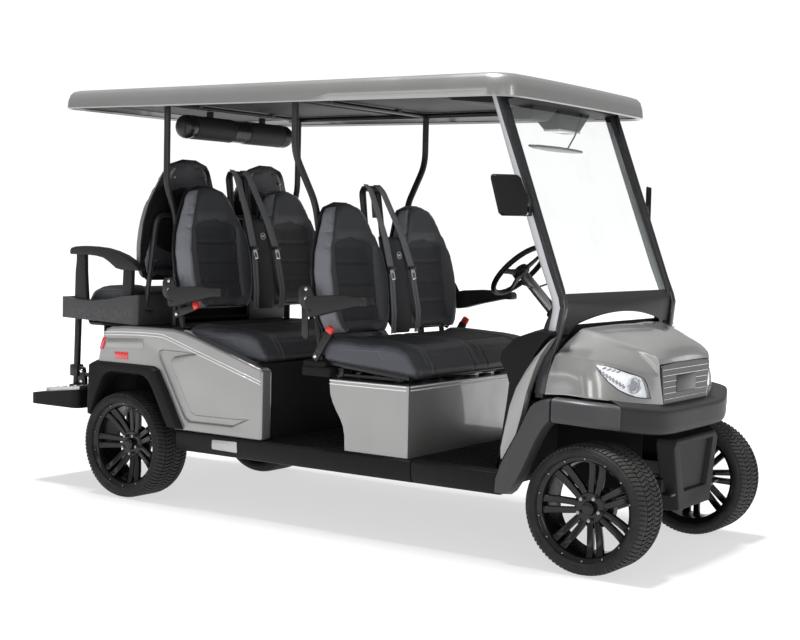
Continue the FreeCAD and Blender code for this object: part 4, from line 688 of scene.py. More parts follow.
def floor_look(wire, place):
    """Pale floor: it glows less near the cart, a painted shade in which the shadow shows."""
    parts = wire.node("ShaderNodeSeparateXYZ", None, {"Vector": place})
    x, y = Wire(wire.tree, parts.socket.node.outputs[0]), Wire(wire.tree, parts.socket.node.outputs[1])
    reach = wire.math("SQRT", x * x * 0.35 + y * y)
    # Painted shade: the glow is dimmer within about four metres of the cart.
    glow = reach.between(1.6, 4.2) * 0.42 + 0.635
    return {"Base Color": noise(wire, place, 0.7, 3.0).mix((0.22, 0.22, 0.22), (0.26, 0.26, 0.26)),
            "Emission Color": glow.mix((0, 0, 0), (1, 1, 1))}


FLOOR = finish("floor", floor_look, Roughness=0.9, Emission_Strength=1.0, Specular_IOR_Level=0.0)
floor.data.materials.append(FLOOR)

world = bpy.data.worlds.new("studio")
world.use_nodes = True
sky = Wire(world.node_tree)
view = sky.node("ShaderNodeTexCoord")
parts = sky.node("ShaderNodeSeparateXYZ", None, {"Vector": view})
side_glow = Wire(world.node_tree, parts.socket.node.outputs[1]) * -0.03
front_glow = Wire(world.node_tree, parts.socket.node.outputs[0]) * 0.02
top_glow = Wire(world.node_tree, parts.socket.node.outputs[2]) * 0.12
level = side_glow + front_glow + top_glow + 0.37
seen = sky.node("ShaderNodeLightPath")
strength = level.math("MAXIMUM", level, seen * 1.05)
world.node_tree.links.new(strength.socket, world.node_tree.nodes["Background"].inputs["Strength"])
world.node_tree.nodes["Background"].inputs["Color"].default_value = (1, 1, 1, 1)
bpy.context.scene.world = world
bpy.context.scene.view_settings.view_transform = "Standard"


def soft_light(name, place, target, wide, high, power):
    lamp = bpy.data.lights.new(name, "AREA")
    lamp.shape, lamp.size, lamp.size_y, lamp.energy = "RECTANGLE", wide, high, power
    obj = bpy.data.objects.new(name, lamp)
    obj.location = place
    obj.rotation_euler = (Vector(target) - Vector(place)).to_track_quat("-Z", "Y").to_euler()
    bpy.context.collection.objects.link(obj)
    return obj


soft_light("overhead", (-2.5, -0.2, 24.0), (0.2, 0, 0.6), 4.4, 3.6, 11500)
soft_light("side_strip", (-1.5, -6.5, 2.6), (-0.3, 0, 0.8), 5.0, 0.8, 24)
soft_light("corner_strip", (2.2, -7.0, 2.9), (1.2, 0, 2.1), 0.30, 2.6, 9)
soft_light("front_corner", (7.5, -6.0, 2.6), (1.4, -0.4, 0.8), 3.0, 2.6, 95)
soft_light("nose_strip", (6.5, -1.0, 2.9), (1.2, 0, 1.9), 0.7, 3.0, 34)
print("studio ready")

# %% [markdown]
# ## CAD pieces that stay
# Frames, springs and axles already have their true shape. They get their finish and a light bevel, because
# no real edge is perfectly sharp. Weld comes first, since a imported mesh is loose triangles.

# %% Finishes for the kept nodes

KEPT = {
    POWDER_STEEL: (
        "chassis_rails", "cross_members", "front_axle", "knuckle_right", "knuckle_left", "tie_rod",
        "leaf_springs",
        "rear_axle", "steering_column",
    ),
    LINER_PLASTIC: ("wheel_liner", "floor_pan", "battery_pack", "rear_seat_box"),
}
for material, names in KEPT.items():
    for name in names:
        node = NODES[name]
        node.data.materials.clear()
        node.data.materials.append(material)
        weld = node.modifiers.new("weld", "WELD")
        weld.merge_threshold = 0.00002
        soften = node.modifiers.new("soften", "BEVEL")
        soften.width, soften.segments, soften.limit_method = 0.0015, 2, "ANGLE"
        soften.angle_limit = math.radians(50)
print(sum(len(names) for names in KEPT.values()), "nodes kept")


def dress(obj, material, body="cart", replaces=(), slot=None):
    """Give a piece its finish, the body it rides on and the nodes it stands for."""
    if material is not None:
        obj.data.materials.clear()
        obj.data.materials.append(material)
    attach(obj, body)
    if replaces:
        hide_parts(*replaces)
    return obj


# %% [markdown]
# ## The nose
# The cowl is one painted moulding. A raised hood runs down its middle between two sharp folds, and each
# side rolls over a softer shoulder into a wall that bends round to the grille. Five lines measured along
# the right half carry all of it, so a sheet is pulled through them and mirrored.

# %% Cowl skin

COWL_LINES = [
    [(-0.100, 0.0, 1.036), (0.0, 0.0, 1.020), (0.092, 0.0, 0.992), (0.143, 0.0, 0.955), (0.158, 0.0, 0.917),
     (0.160, 0.0, 0.884)],
    [(-0.118, -0.16, 1.036), (-0.018, -0.155, 1.014), (0.078, -0.148, 0.985), (0.137, -0.142, 0.950),
     (0.154, -0.139, 0.915), (0.158, -0.138, 0.884)],
    [(-0.153, -0.413, 1.026), (-0.053, -0.368, 0.995), (0.040, -0.325, 0.963), (0.108, -0.293, 0.935),
     (0.146, -0.277, 0.908), (0.156, -0.272, 0.880)],
    [(-0.165, -0.520, 0.972), (-0.089, -0.466, 0.960), (-0.020, -0.412, 0.948), (0.050, -0.352, 0.928),
     (0.103, -0.306, 0.900), (0.155, -0.268, 0.856)],
    [(-0.176, -0.604, 0.918), (-0.100, -0.601, 0.920), (-0.018, -0.570, 0.908), (0.050, -0.480, 0.886),
     (0.108, -0.366, 0.856), (0.156, -0.262, 0.822)],
    [(-0.192, -0.628, 0.840), (-0.100, -0.630, 0.843), (-0.008, -0.606, 0.836), (0.060, -0.512, 0.818),
     (0.116, -0.384, 0.792), (0.159, -0.250, 0.768)],
    [(-0.204, -0.636, 0.752), (-0.104, -0.636, 0.756), (-0.002, -0.622, 0.750), (0.065, -0.532, 0.736),
     (0.122, -0.394, 0.716), (0.164, -0.238, 0.700)],
]
cowl_rows = stretched([[ahead(*p) for p in line] for line in COWL_LINES], across=60, along=56, creases=(2, 4))
half_skin = sheet_of("cowl_half", cowl_rows)
skin = join("cowl", [half_skin, copied(half_skin, "cowl_far", MIRROR)])
only(skin)
bpy.ops.object.mode_set(mode="EDIT")
bpy.ops.mesh.select_all(action="SELECT")
bpy.ops.mesh.remove_doubles(threshold=0.0008)
bpy.ops.mesh.normals_make_consistent(inside=False)
bpy.ops.object.mode_set(mode="OBJECT")
if sum(face.normal.z * face.area for face in skin.data.polygons) < 0:
    skin.data.flip_normals()
cowl = modify(skin, "SOLIDIFY", thickness=0.006, offset=-1, use_even_offset=True)
print("cowl faces", len(cowl.data.polygons))

# %% [markdown]
# The headlamp window is cut out of the skin with a prism, and the same prism keeps a copy of the skin as
# the clear cover. That way the cover follows the nose exactly, as the real one does.

# %% Headlamp windows and covers

WALL_START, WALL_END = ahead(0.0, -0.63, 0), ahead(0.155, -0.28, 0)
ALONG_WALL = (WALL_END - WALL_START).normalized()
OUT_OF_WALL = Vector((ALONG_WALL.y, -ALONG_WALL.x, 0))
LAMP = [
    (0.056, 0.884), (0.078, 0.888), (0.112, 0.883), (0.156, 0.871), (0.215, 0.854), (0.270, 0.838),
    (0.305, 0.826), (0.322, 0.800), (0.334, 0.768), (0.344, 0.735), (0.300, 0.738), (0.255, 0.743),
    (0.200, 0.757), (0.145, 0.781), (0.100, 0.815), (0.068, 0.852),
]


def lamp_prism(name, grow, near, far, width=0.0):
    """Prism of the lamp outline through the nose wall, grown or shrunk about the outline's middle."""
    centre = Vector((sum(s for s, z in LAMP) / len(LAMP), sum(z for s, z in LAMP) / len(LAMP)))
    outline = []
    for s, z in LAMP:
        outward_step = (Vector((s, z)) - centre).normalized() * grow
        outline.append((s + outward_step.x, z + outward_step.y))
    obj = plate(name, "Y", outline, 0, 1, width=0)
    for vertex in obj.data.vertices:
        s, depth, z = vertex.co
        place = WALL_START + ALONG_WALL * s + OUT_OF_WALL * (near + (far - near) * depth)
        vertex.co = (place.x, place.y, z)
    outward(obj)
    return bevel(obj, width)


def boolean(obj, tool, operation, keep=False):
    modify(obj, "BOOLEAN", object=tool, operation=operation, solver="EXACT")
    if not keep:
        bpy.data.objects.remove(tool)
    return obj


window = lamp_prism("window", 0.0, -0.10, 0.12)
inner_window = lamp_prism("inner_window", -0.006, -0.10, 0.12)
lens = boolean(copied(cowl, "headlamp_cover"), inner_window, "INTERSECT", keep=True)
rim = boolean(copied(cowl, "headlamp_rim"), window, "INTERSECT", keep=True)
boolean(rim, inner_window, "DIFFERENCE")
boolean(cowl, window, "DIFFERENCE", keep=True)
for vertex in window.data.vertices:
    vertex.co = MIRROR @ vertex.co
window.data.flip_normals()
boolean(cowl, window, "DIFFERENCE")
bevel(cowl, 0.0016, 2, 40)
dress(cowl, BODY_PAINT, replaces=["cowl"], slot="body_paint")

for piece, material in ((lens, LAMP_COVER), (rim, SMOOTH_PLASTIC)):
    bevel(piece, 0.0008, 1, 40)
    dress(both_sides(piece, piece.name), material, slot="clear_lens" if piece is lens else "black_plastic")
print("lamp cover faces", len(lens.data.polygons))

# %% [markdown]
# Behind the cover sits a bright bowl with a round projector near the grille and an arc of small dark
# segments towards the rear tip. The bowl is the lamp outline pushed back into the nose and shrunk.

# %% Headlamp bowl


def on_wall(s, depth, z):
    place = WALL_START + ALONG_WALL * s + OUT_OF_WALL * depth
    return Vector((place.x, place.y, z))


bowl = lamp_prism("headlamp_bowl", -0.002, -0.055, -0.022, width=0.002)
dress(both_sides(bowl, "headlamp_bowl"), LAMP_WHITE, slot="clear_lens")

PROJECTOR_S, PROJECTOR_Z = 0.262, 0.792
projector = spun("projector", [(-0.036, 0.036), (-0.018, 0.037), (-0.006, 0.033), (-0.010, 0.028),
                               (-0.024, 0.027), (-0.024, 0.0001), (-0.036, 0.0001)], 48)
eye = spun("projector_eye", [(-0.023, 0.0001), (-0.023, 0.025), (-0.014, 0.021), (-0.008, 0.012),
                             (-0.006, 0.0001)], 48)
turn_out = OUT_OF_WALL.to_track_quat("Y", "Z").to_matrix().to_4x4()
for piece, material in ((projector, CHROME), (eye, SMOOTH_PLASTIC)):
    piece.data.transform(Matrix.Translation(on_wall(PROJECTOR_S, 0.0, PROJECTOR_Z)) @ turn_out)
    dress(both_sides(outward(piece), piece.name), material, slot="clear_lens")

segments = []
for count in range(8):
    s, z = 0.075 + count * 0.0185, 0.858 - count * 0.0095
    segment = block(f"segment_{count}", (-0.0055, 0, -0.009), (0.0055, 0.006, 0.009), 0.001)
    segment.data.transform(Matrix.Translation(on_wall(s, -0.022, z)) @ turn_out
                           @ Matrix.Rotation(math.radians(28), 4, "Y"))
    segments.append(segment)
for count in range(4):
    s, z = 0.098 + count * 0.026, 0.872 - count * 0.006
    segment = block(f"bar_{count}", (-0.010, 0, -0.003), (0.010, 0.006, 0.003), 0.001)
    segment.data.transform(Matrix.Translation(on_wall(s, -0.022, z)) @ turn_out
                           @ Matrix.Rotation(math.radians(14), 4, "Y"))
    segments.append(segment)
dress(both_sides(join("headlamp_segments", segments), "headlamp_segments"), SMOOTH_PLASTIC,
      replaces=["headlamps"], slot="clear_lens")
print("headlamp pieces ready")

# %% [markdown]
# The grille is a gloss black tray with rounded upper corners, crossed by six thin slats. Thin chrome strips
# along their top edges are a painted highlight where the gloss black catches the light, and a smooth bare
# plate stands before them in the middle.

# %% Grille

GRILLE_TOP, GRILLE_LOW = 0.880, 0.702


def grille_half(z):
    return 0.236 + (0.268 - 0.236) * (z - GRILLE_LOW) / (GRILLE_TOP - GRILLE_LOW)


def grille_outline(inset):
    low, top = GRILLE_LOW + inset, GRILLE_TOP - inset
    right_side = [(-grille_half(low) + inset, low), (-grille_half(top - 0.03) + inset, top - 0.024),
                  (-grille_half(top) + inset + 0.008, top - 0.009),
                  (-grille_half(top) + inset + 0.024, top - 0.002), (-0.10, top + 0.004)]
    return right_side + [(-y, z) for y, z in reversed(right_side)]


GRILLE_X = AXLE_X + 0.163
tray = plate("grille_tray", "X", grille_outline(0.0), GRILLE_X - 0.034, GRILLE_X, width=0)
only(tray)
bpy.ops.object.mode_set(mode="EDIT")
mesh = bmesh.from_edit_mesh(tray.data)
for face in mesh.faces:
    face.select_set(face.normal.x > 0.9)
bmesh.update_edit_mesh(tray.data)
bpy.ops.mesh.inset(thickness=0.008)
bpy.ops.mesh.extrude_region_move(TRANSFORM_OT_translate={"value": (-0.026, 0, 0)})
bpy.ops.object.mode_set(mode="OBJECT")
bevel(outward(tray), 0.003, 3)
dress(tray, SMOOTH_PLASTIC, replaces=["grille"], slot="black_plastic")

slats = []
for count in range(6):
    z = GRILLE_LOW + 0.022 + count * 0.0262
    half = grille_half(z) - 0.011
    slat = plate(f"slat_{count}", "Y", [(GRILLE_X - 0.024, z - 0.004), (GRILLE_X - 0.002, z - 0.0075),
                                        (GRILLE_X - 0.001, z - 0.0015),
                                        (GRILLE_X - 0.024, z + 0.004)], -half, half, width=0.0008)
    slats.append(slat)
dress(join("grille_slats", slats), SMOOTH_PLASTIC, slot="black_plastic")
# Painted highlight: chrome strips stand for the light on the slats' top edges.
slat_highlight_strips = [
    block(f"slat_edge_{count}", (GRILLE_X - 0.010, -grille_half(0.72 + count * 0.026) + 0.012,
                                 GRILLE_LOW + 0.0205 + count * 0.0262),
          (GRILLE_X + 0.0005, grille_half(0.72 + count * 0.026) - 0.012,
           GRILLE_LOW + 0.0235 + count * 0.0262), 0.001)
    for count in range(6)
]
dress(join("grille_slat_highlights", slat_highlight_strips), CHROME, slot="black_plastic")
badge_plate = plate("grille_plate", "X", [(-0.105, 0.748), (0.105, 0.748), (0.105, 0.826), (-0.105, 0.826)],
                    GRILLE_X - 0.02, GRILLE_X + 0.002, 0.003, 3)
dress(badge_plate, SMOOTH_PLASTIC, slot="black_plastic")
print("grille", len(slats), "slats")

# %% [markdown]
# The bumper wraps the whole nose. Its section is a tall face with a rolled lip on top and a short turn
# under at the bottom. The section is carried along a plan line from one flare round to the other.

# %% Bumper

BUMPER_PLAN = [(0.125, -0.576), (0.160, -0.494), (0.193, -0.405), (0.213, -0.335), (0.222, -0.270),
               (0.225, -0.200), (0.226, -0.100), (0.226, 0.0)]
BUMPER_SECTION = [(-0.075, 0.128), (-0.045, 0.121), (-0.016, 0.112), (-0.004, 0.105), (0.0, 0.094),
                  (0.0, 0.060), (0.0, 0.024), (-0.004, 0.008), (-0.014, 0.001), (-0.040, -0.002)]


def bumper_point(plan, section):
    """Section point pushed back along the plan's own inward direction; the face sinks towards the middle."""
    (x, y), (push, z) = plan, section
    sweep = min(max((abs(y) - 0.25) / 0.15, 0), 1)
    inward_direction = Vector((-1.0, 0.0)).lerp(Vector((-0.90, 0.40)), sweep)
    low = 0.580 + 0.034 * (0.226 - x) / 0.10
    return ahead(x + inward_direction.x * -push, y + inward_direction.y * -push, low + z)


bumper_lines = [[bumper_point(plan, section) for plan in BUMPER_PLAN] for section in BUMPER_SECTION]
half_bumper = sheet_of("bumper", stretched(bumper_lines, across=24, along=40))
bumper = join("bumper", [half_bumper, copied(half_bumper, "bumper_far", MIRROR)])
outward(bumper)
if sum(face.normal.x * face.area for face in bumper.data.polygons) < 0:
    bumper.data.flip_normals()
modify(bumper, "SOLIDIFY", thickness=0.005, offset=-1, use_even_offset=True)
bevel(bumper, 0.0015)
dress(bumper, PAINTED_LIT_PLASTIC, replaces=["front_bumper"], slot="black_plastic")
print("bumper", [round(v, 3) for v in bumper.dimensions])

# %% [markdown]
# The chin guard is a tapered box under the bumper, with broad bevels at its sides. A wedge cuts a sunken
# field into its face, and the edges are eased afterwards.

# %% Chin guard

CHIN_REAR = [(-0.300, 0.540), (-0.285, 0.570), (0.285, 0.570), (0.300, 0.540), (0.215, 0.238),
             (-0.215, 0.238)]
CHIN_FACE = [(-0.246, 0.520), (-0.215, 0.552), (0.215, 0.552), (0.246, 0.520), (0.172, 0.234),
             (-0.172, 0.234)]
chin = plate("chin_guard", "X", CHIN_REAR, AXLE_X + 0.160, AXLE_X + 0.223, width=0, taper=CHIN_FACE)
bevel(chin, 0.010, 4, 15)
field = plate("chin_field", "X", [(-0.176, 0.520), (0.176, 0.520), (0.112, 0.322), (-0.112, 0.322)],
              AXLE_X + 0.207, AXLE_X + 0.240, width=0,
              taper=[(-0.202, 0.534), (0.202, 0.534), (0.134, 0.308), (-0.134, 0.308)])
boolean(chin, field, "DIFFERENCE")
bevel(chin, 0.0025, 2, 30)
dress(chin, BLACK_PLASTIC, replaces=["chin_guard"], slot="black_plastic")
print("chin guard", len(chin.data.polygons), "faces")

# %% [markdown]
# ## Roof
# The roof is one painted moulding with a deep rim and well rounded corners, tighter at the back. A raised
# step crosses it near the front. The rim is built up ring by ring from the plan outline, as the real shell
# is drawn over its mould, and the whole shell is tilted a little at the end.

# %% Roof shell

ROOF_FRONT, ROOF_REAR = -0.385, -3.123


def roof_ring(inset, z, bow):
    """Rounded plan outline at one height: a list of points, front bowed a little."""
    front, rear, half = AXLE_X + ROOF_FRONT - inset, AXLE_X + ROOF_REAR + inset, 0.708 - inset
    nose, tail = 0.115 - inset * 0.4, 0.060 - inset * 0.4
    ring = []
    for end_x, side, corner, start in ((front, 1, nose, 0), (rear, 1, tail, 90), (rear, -1, tail, 180),
                                       (front, -1, nose, 270)):
        centre_x = end_x + (corner if end_x == rear else -corner)
        centre_y = side * (half - corner)
        for step in range(13):
            angle = math.radians(start + 90 * step / 12)
            x, y = centre_x + corner * math.cos(angle), centre_y + corner * math.sin(angle)
            ring.append(Vector((x + bow * 0.020 * (1 - (y / half) ** 2) * (1 if x > 0 else 0), y, z)))
        sides = {0: 24, 90: 10, 180: 24, 270: 10}[start]
        following = {0: (rear + tail, half), 90: (rear, tail - half), 180: (front - nose, -half),
                     270: (front, half - nose)}[start]
        last = ring[-1].copy()
        for step in range(1, sides):
            t = step / sides
            x, y = last.x + (following[0] - last.x) * t, last.y + (following[1] - last.y) * t
            ring.append(Vector((x + (bow * 0.020 * (1 - (y / half) ** 2) if start == 270 else 0), y, z)))
    return ring


def roof_top(x, y):
    """Height of the roof skin: a slight crown, a raised field near the front and a lip sunk before it."""
    crown = 2.131 + 0.004 * (1 - (y / 0.70) ** 2)
    ahead_of = x - AXLE_X
    raised = min(max((ahead_of + 0.90) / 0.10, 0), 1)
    field = min(max((0.60 - abs(y)) / 0.05, 0), 1)
    lip = min(max((ahead_of + 0.475) / 0.012, 0), 1) * min(max((0.62 - abs(y)) / 0.02, 0), 1)
    return crown + 0.004 * raised * raised * (3 - 2 * raised) * field - 0.011 * lip


RIM_RINGS = [(0.016, 2.040), (0.004, 2.030), (0.0, 2.036), (0.003, 2.075), (0.012, 2.108), (0.026, 2.124),
             (0.050, 2.132), (0.070, 2.133)]
rings = [roof_ring(inset, z, 1) for inset, z in RIM_RINGS]
count = len(rings[0])
clear()
bpy.ops.mesh.primitive_circle_add(vertices=count, fill_type="NOTHING", radius=1)
roof = bpy.context.object
roof.name = "roof_shell"
mesh = bmesh.new()
loops = [[mesh.verts.new(p) for p in ring] for ring in rings]
for ring, following in zip(loops, loops[1:]):
    for index in range(count):
        mesh.faces.new((ring[index], ring[(index + 1) % count], following[(index + 1) % count],
                        following[index]))
mesh.faces.new(loops[-1])
mesh.to_mesh(roof.data)
mesh.free()
only(roof)
bpy.ops.object.mode_set(mode="EDIT")
mesh = bmesh.from_edit_mesh(roof.data)
for face in mesh.faces:
    face.select_set(len(face.verts) > 4)
bmesh.update_edit_mesh(roof.data)
cuts = [((x, 0, 0), (1, 0, 0)) for x in (-1.2, -0.6, 0.0, 0.5, 0.66, 0.71, 0.76, 0.81, 0.86, 1.0, 1.134,
                                         1.148)]
cuts += [((0, y, 0), (0, 1, 0)) for y in (-0.62, -0.60, -0.575, -0.55, -0.4, -0.2, 0, 0.2, 0.4, 0.55, 0.575,
                                          0.60, 0.62)]
for place, direction in cuts:
    bpy.ops.mesh.bisect(plane_co=place, plane_no=direction)
bpy.ops.object.mode_set(mode="OBJECT")
for vertex in roof.data.vertices:
    if vertex.co.z > 2.1325:
        vertex.co.z = roof_top(vertex.co.x, vertex.co.y)
for vertex in roof.data.vertices:
    share = (AXLE_X + ROOF_FRONT - vertex.co.x) / (ROOF_FRONT - ROOF_REAR)
    low = min(max((2.10 - vertex.co.z) / 0.06, 0), 1)
    vertex.co.z += 0.017 * share - 0.008 + low * 0.010 * (share - 0.5)
outward(roof)
modify(roof, "SOLIDIFY", thickness=0.005, offset=-1, use_even_offset=True)
bevel(roof, 0)
dress(roof, BODY_PAINT, replaces=["roof_shell"], slot="body_paint")
print("roof", [round(v, 3) for v in roof.dimensions])

# %% [markdown]
# Under the roof a dark moulded liner hides the inside of the skin, with shallow ribs pressed into it.

# %% Roof liner

LINER_GREY = finish("liner_grey", grain_look((0.030, 0.030, 0.031), (0.052, 0.052, 0.053), 60.0, 0.0, 0.6),
                    Specular_IOR_Level=0.2)
UNDER_BLACK = finish("under_black", grain_look((0.004, 0.004, 0.004), (0.008, 0.008, 0.008), 60.0, 0.0, 0.5),
                     Specular_IOR_Level=0.2)
liner = plate("roof_liner", "Z", [(p.x, p.y) for p in roof_ring(0.022, 0, 0.8)], 2.080, 2.087, width=0.003)
dress(liner, LINER_GREY, slot="black_plastic")
ribs = [block(f"liner_rib_{index}", (x - 0.05, -0.55, 2.074), (x + 0.05, 0.55, 2.082), 0.004)
        for index, x in enumerate((0.55, -0.30, -1.10))]
front_liner = plate("front_liner", "Y", [(AXLE_X - 0.42, 2.082), (AXLE_X - 0.47, 2.030),
                                         (AXLE_X - 0.60, 2.012), (AXLE_X - 0.80, 2.030),
                                         (AXLE_X - 0.90, 2.082)], -0.50, 0.50, 0.008, 3)
dress(join("liner_ribs", ribs), LINER_GREY, slot="black_plastic")
dress(front_liner, UNDER_BLACK, slot="black_plastic")
print("liner ready")

# %% [markdown]
# The roof stands on one welded frame: two bent pillars, four cranked struts and a ladder of tubes. The
# ladder sits up inside the rim, so that the far rim shows as a pale band below the liner.

# %% Roof frame

TUBE_Z = 2.064
frame_tubes = []
for side in (RIGHT, LEFT):
    pillar = [(-0.521, 0.548, TUBE_Z), (-0.176, 0.548, 1.140), (-0.240, 0.554, 1.035),
              (-0.240, 0.608, 0.7305)]
    mid_strut = [(-1.650, 0.567, TUBE_Z), (-1.650, 0.567, 1.800), (-1.650, 0.395, 1.560),
                 (-1.534, 0.395, 0.910), (-1.534, 0.395, 0.8205)]
    rear_strut = [(-2.520, 0.540, TUBE_Z), (-2.520, 0.540, 1.640), (-2.520, 0.465, 1.480),
                  (-2.520, 0.465, 0.9105)]
    for name, line, radius, bend in (("pillar_tube", pillar, 0.024, 0.06),
                                     ("mid_strut", mid_strut, 0.017, 0.07),
                                     ("rear_strut", rear_strut, 0.017, 0.07)):
        frame_tubes.append(bar(f"{name}_{side}", [ahead(x, side * y, z) for x, y, z in line], radius, bend,
                               sides=7))
    frame_tubes.append(rod(f"side_tube_{side}", ahead(-2.600, side * 0.560, TUBE_Z),
                           ahead(-0.481, side * 0.560, TUBE_Z), 0.014, 28))
for back in (-0.521, -1.650, -2.520):
    frame_tubes.append(rod(f"cross_tube_{back}", ahead(back, -0.560, TUBE_Z), ahead(back, 0.560, TUBE_Z),
                           0.011, 24))
    for y in (-0.300, 0.300):
        centre = ahead(back, y, TUBE_Z)
        frame_tubes.append(block(f"bracket_{back}_{y}", centre + Vector((-0.014, -0.014, 0.0)),
                                 centre + Vector((0.014, 0.014, 0.045)), 0.002))
dress(join("roof_frame_tubes", frame_tubes), POWDER_STEEL, replaces=["roof_frame"], slot="black_steel")
print("roof frame tubes", len(frame_tubes))

# %% [markdown]
# ## Wheels
# A low tyre is one closed section spun about the axle. The tread is then laid on it as rows of small
# blocks: three modelled blocks are copied round, so the grooves between them are real gaps.

# %% Tyre carcass

TYRE_R, TYRE_MID = 0.2790, 0.552
HALF_SECTION = [(0.060, 0.2725), (0.098, 0.2700), (0.106, 0.266), (0.113, 0.259), (0.1165, 0.2505),
                (0.1165, 0.2480), (0.1180, 0.2465), (0.1180, 0.2440),
                (0.1160, 0.2425), (0.1155, 0.2370), (0.110, 0.2290), (0.103, 0.2240), (0.092, 0.2230)]
TYRE_SECTION = [(-y, r) for y, r in reversed(HALF_SECTION)] + [(0.0, 0.2735)] + HALF_SECTION
carcass = spun("carcass", TYRE_SECTION, 120)


def tread_block(name, path, wide, low=0.2700, high=TYRE_R):
    """One tread block: a bent bar of constant width along a path of (turn in degrees, across)."""
    clear()
    count = len(path)
    bpy.ops.mesh.primitive_grid_add(x_subdivisions=1, y_subdivisions=count - 1, size=1)
    obj = bpy.context.object
    obj.name = name
    for index, vertex in enumerate(obj.data.vertices):
        turn, across = path[index // 2]
        side = -wide / 2 if index % 2 == 0 else wide / 2
        edge_drop = 0.0105 * max(0.0, (abs(across) - 0.074) / 0.036) ** 2
        vertex.co = (math.radians(turn) * high + side, across, high - edge_drop)
    bpy.ops.object.mode_set(mode="EDIT")
    bpy.ops.mesh.select_all(action="SELECT")
    bpy.ops.mesh.extrude_region_move(TRANSFORM_OT_translate={"value": (0, 0, low - high)})
    bpy.ops.object.mode_set(mode="OBJECT")
    for vertex in obj.data.vertices:
        angle, radius = vertex.co.x / high, vertex.co.z
        vertex.co = (radius * math.sin(angle), vertex.co.y, radius * math.cos(angle))
    return outward(obj)


PITCH_COUNT = 84
STEP = 360 / PITCH_COUNT
first_blocks = [
    tread_block("shoulder", [(-1.2, -0.109), (-0.7, -0.098), (0.3, -0.080), (1.0, -0.064)], 0.0145),
    tread_block("inner_rib", [(1.2, -0.057), (2.0, -0.044), (1.5, -0.030), (0.3, -0.012)], 0.0130),
    tread_block("centre", [(0.6, -0.0065), (0.9, 0.0), (0.6, 0.0065)], 0.0165),
]
blocks = []
for index in range(PITCH_COUNT):
    turn = Matrix.Rotation(math.radians(STEP * index), 4, "Y")
    for block_mesh in first_blocks:
        blocks.append(copied(block_mesh, f"tread_{index}", turn))
        if block_mesh.name != "centre":
            blocks.append(copied(block_mesh, f"tread_far_{index}",
                                 turn @ Matrix.Rotation(math.radians(STEP / 2), 4, "Y") @ MIRROR))
for block_mesh in first_blocks:
    bpy.data.objects.remove(block_mesh)
tyre = bevel(join("tyre", [carcass, *blocks]), 0)
print("tyre faces", len(tyre.data.polygons))

# %% [markdown]
# The rim is a deep gloss dish. A spun barrel with a stepped lip carries seven pairs of spokes. One pair is
# modelled with an open slot between its bars, and it is copied round.

# %% Rim

BARREL = [
    (-0.100, 0.2325), (-0.1030, 0.2300), (-0.1000, 0.2250), (-0.0920, 0.2235), (-0.0890, 0.2200),
    (-0.0850, 0.2090), (-0.0780, 0.2030),
    (-0.0100, 0.1960), (0.0200, 0.1950), (0.0800, 0.2000), (0.0930, 0.2190), (0.1000, 0.2325),
    (0.0960, 0.2330), (0.0880, 0.2240),
    (0.0700, 0.2080), (0.0200, 0.2015), (-0.0100, 0.2025), (-0.0760, 0.2090), (-0.0800, 0.2260),
    (-0.0940, 0.2335),
]
barrel = spun("barrel", BARREL, 96)


def spoke_bar(side):
    """One bar of a twin spoke: each station is a radius, a middle, a depth, a thickness and a half width."""
    stations = [(0.030, 0.0125, -0.026, 0.034, 0.0135), (0.060, 0.0150, -0.030, 0.030, 0.0142),
                (0.100, 0.0190, -0.036, 0.026, 0.0150),
                (0.150, 0.0222, -0.048, 0.024, 0.0158), (0.186, 0.0242, -0.062, 0.024, 0.0166),
                (0.212, 0.0255, -0.080, 0.024, 0.0175)]
    clear()
    bpy.ops.mesh.primitive_cube_add(size=1)
    obj = bpy.context.object
    mesh = bmesh.new()
    loops = []
    for radius, centre, face_y, thick, half_wide in stations:
        middle = side * centre
        loops.append([mesh.verts.new((middle + a * half_wide, face_y + b * thick, radius))
                      for a, b in ((-1, 0.12), (-0.72, 0), (0.72, 0), (1, 0.12), (0.85, 1), (-0.85, 1))])
    for ring, following in zip(loops, loops[1:]):
        for k in range(6):
            mesh.faces.new((ring[k], ring[(k + 1) % 6], following[(k + 1) % 6], following[k]))
    mesh.faces.new(loops[0])
    mesh.faces.new(list(reversed(loops[-1])))
    mesh.to_mesh(obj.data)
    mesh.free()
    return outward(obj)


twin = join("twin_spoke", [spoke_bar(-1), spoke_bar(1)])
bevel(twin, 0.002, 2, 30)
spokes = [copied(twin, f"spoke_{index}", Matrix.Rotation(math.tau * index / 7, 4, "Y")) for index in range(7)]
bpy.data.objects.remove(twin)
hub = spun("hub", [(-0.034, 0.0001), (-0.034, 0.030), (-0.034, 0.064), (-0.026, 0.072), (0.010, 0.076),
                   (0.010, 0.0001)], 56)
cap = spun("hub_cap", [(-0.058, 0.0001), (-0.058, 0.022), (-0.055, 0.028), (-0.044, 0.031), (-0.034, 0.032),
                       (-0.034, 0.0001)], 48)
bolts = []
for index in range(5):
    angle = math.tau * index / 5 + 0.3
    x, z = 0.051 * math.sin(angle), 0.051 * math.cos(angle)
    bpy.ops.mesh.primitive_cylinder_add(vertices=6, radius=0.0090, depth=0.024, location=(x, -0.043, z),
                                        rotation=(math.radians(90), 0, 0))
    bolts.append(bevel(settle(bpy.context.object), 0.0015, 2))
lip_bolts = []
for index in range(14):
    angle = math.tau * (index + 0.5) / 14
    x, z = 0.2170 * math.sin(angle), 0.2170 * math.cos(angle)
    bpy.ops.mesh.primitive_cylinder_add(vertices=10, radius=0.0040, depth=0.005, location=(x, -0.0915, z),
                                        rotation=(math.radians(90), 0, 0))
    lip_bolts.append(bevel(settle(bpy.context.object), 0.0008, 1))
wheel = join("rim", [barrel, hub, cap, *spokes])
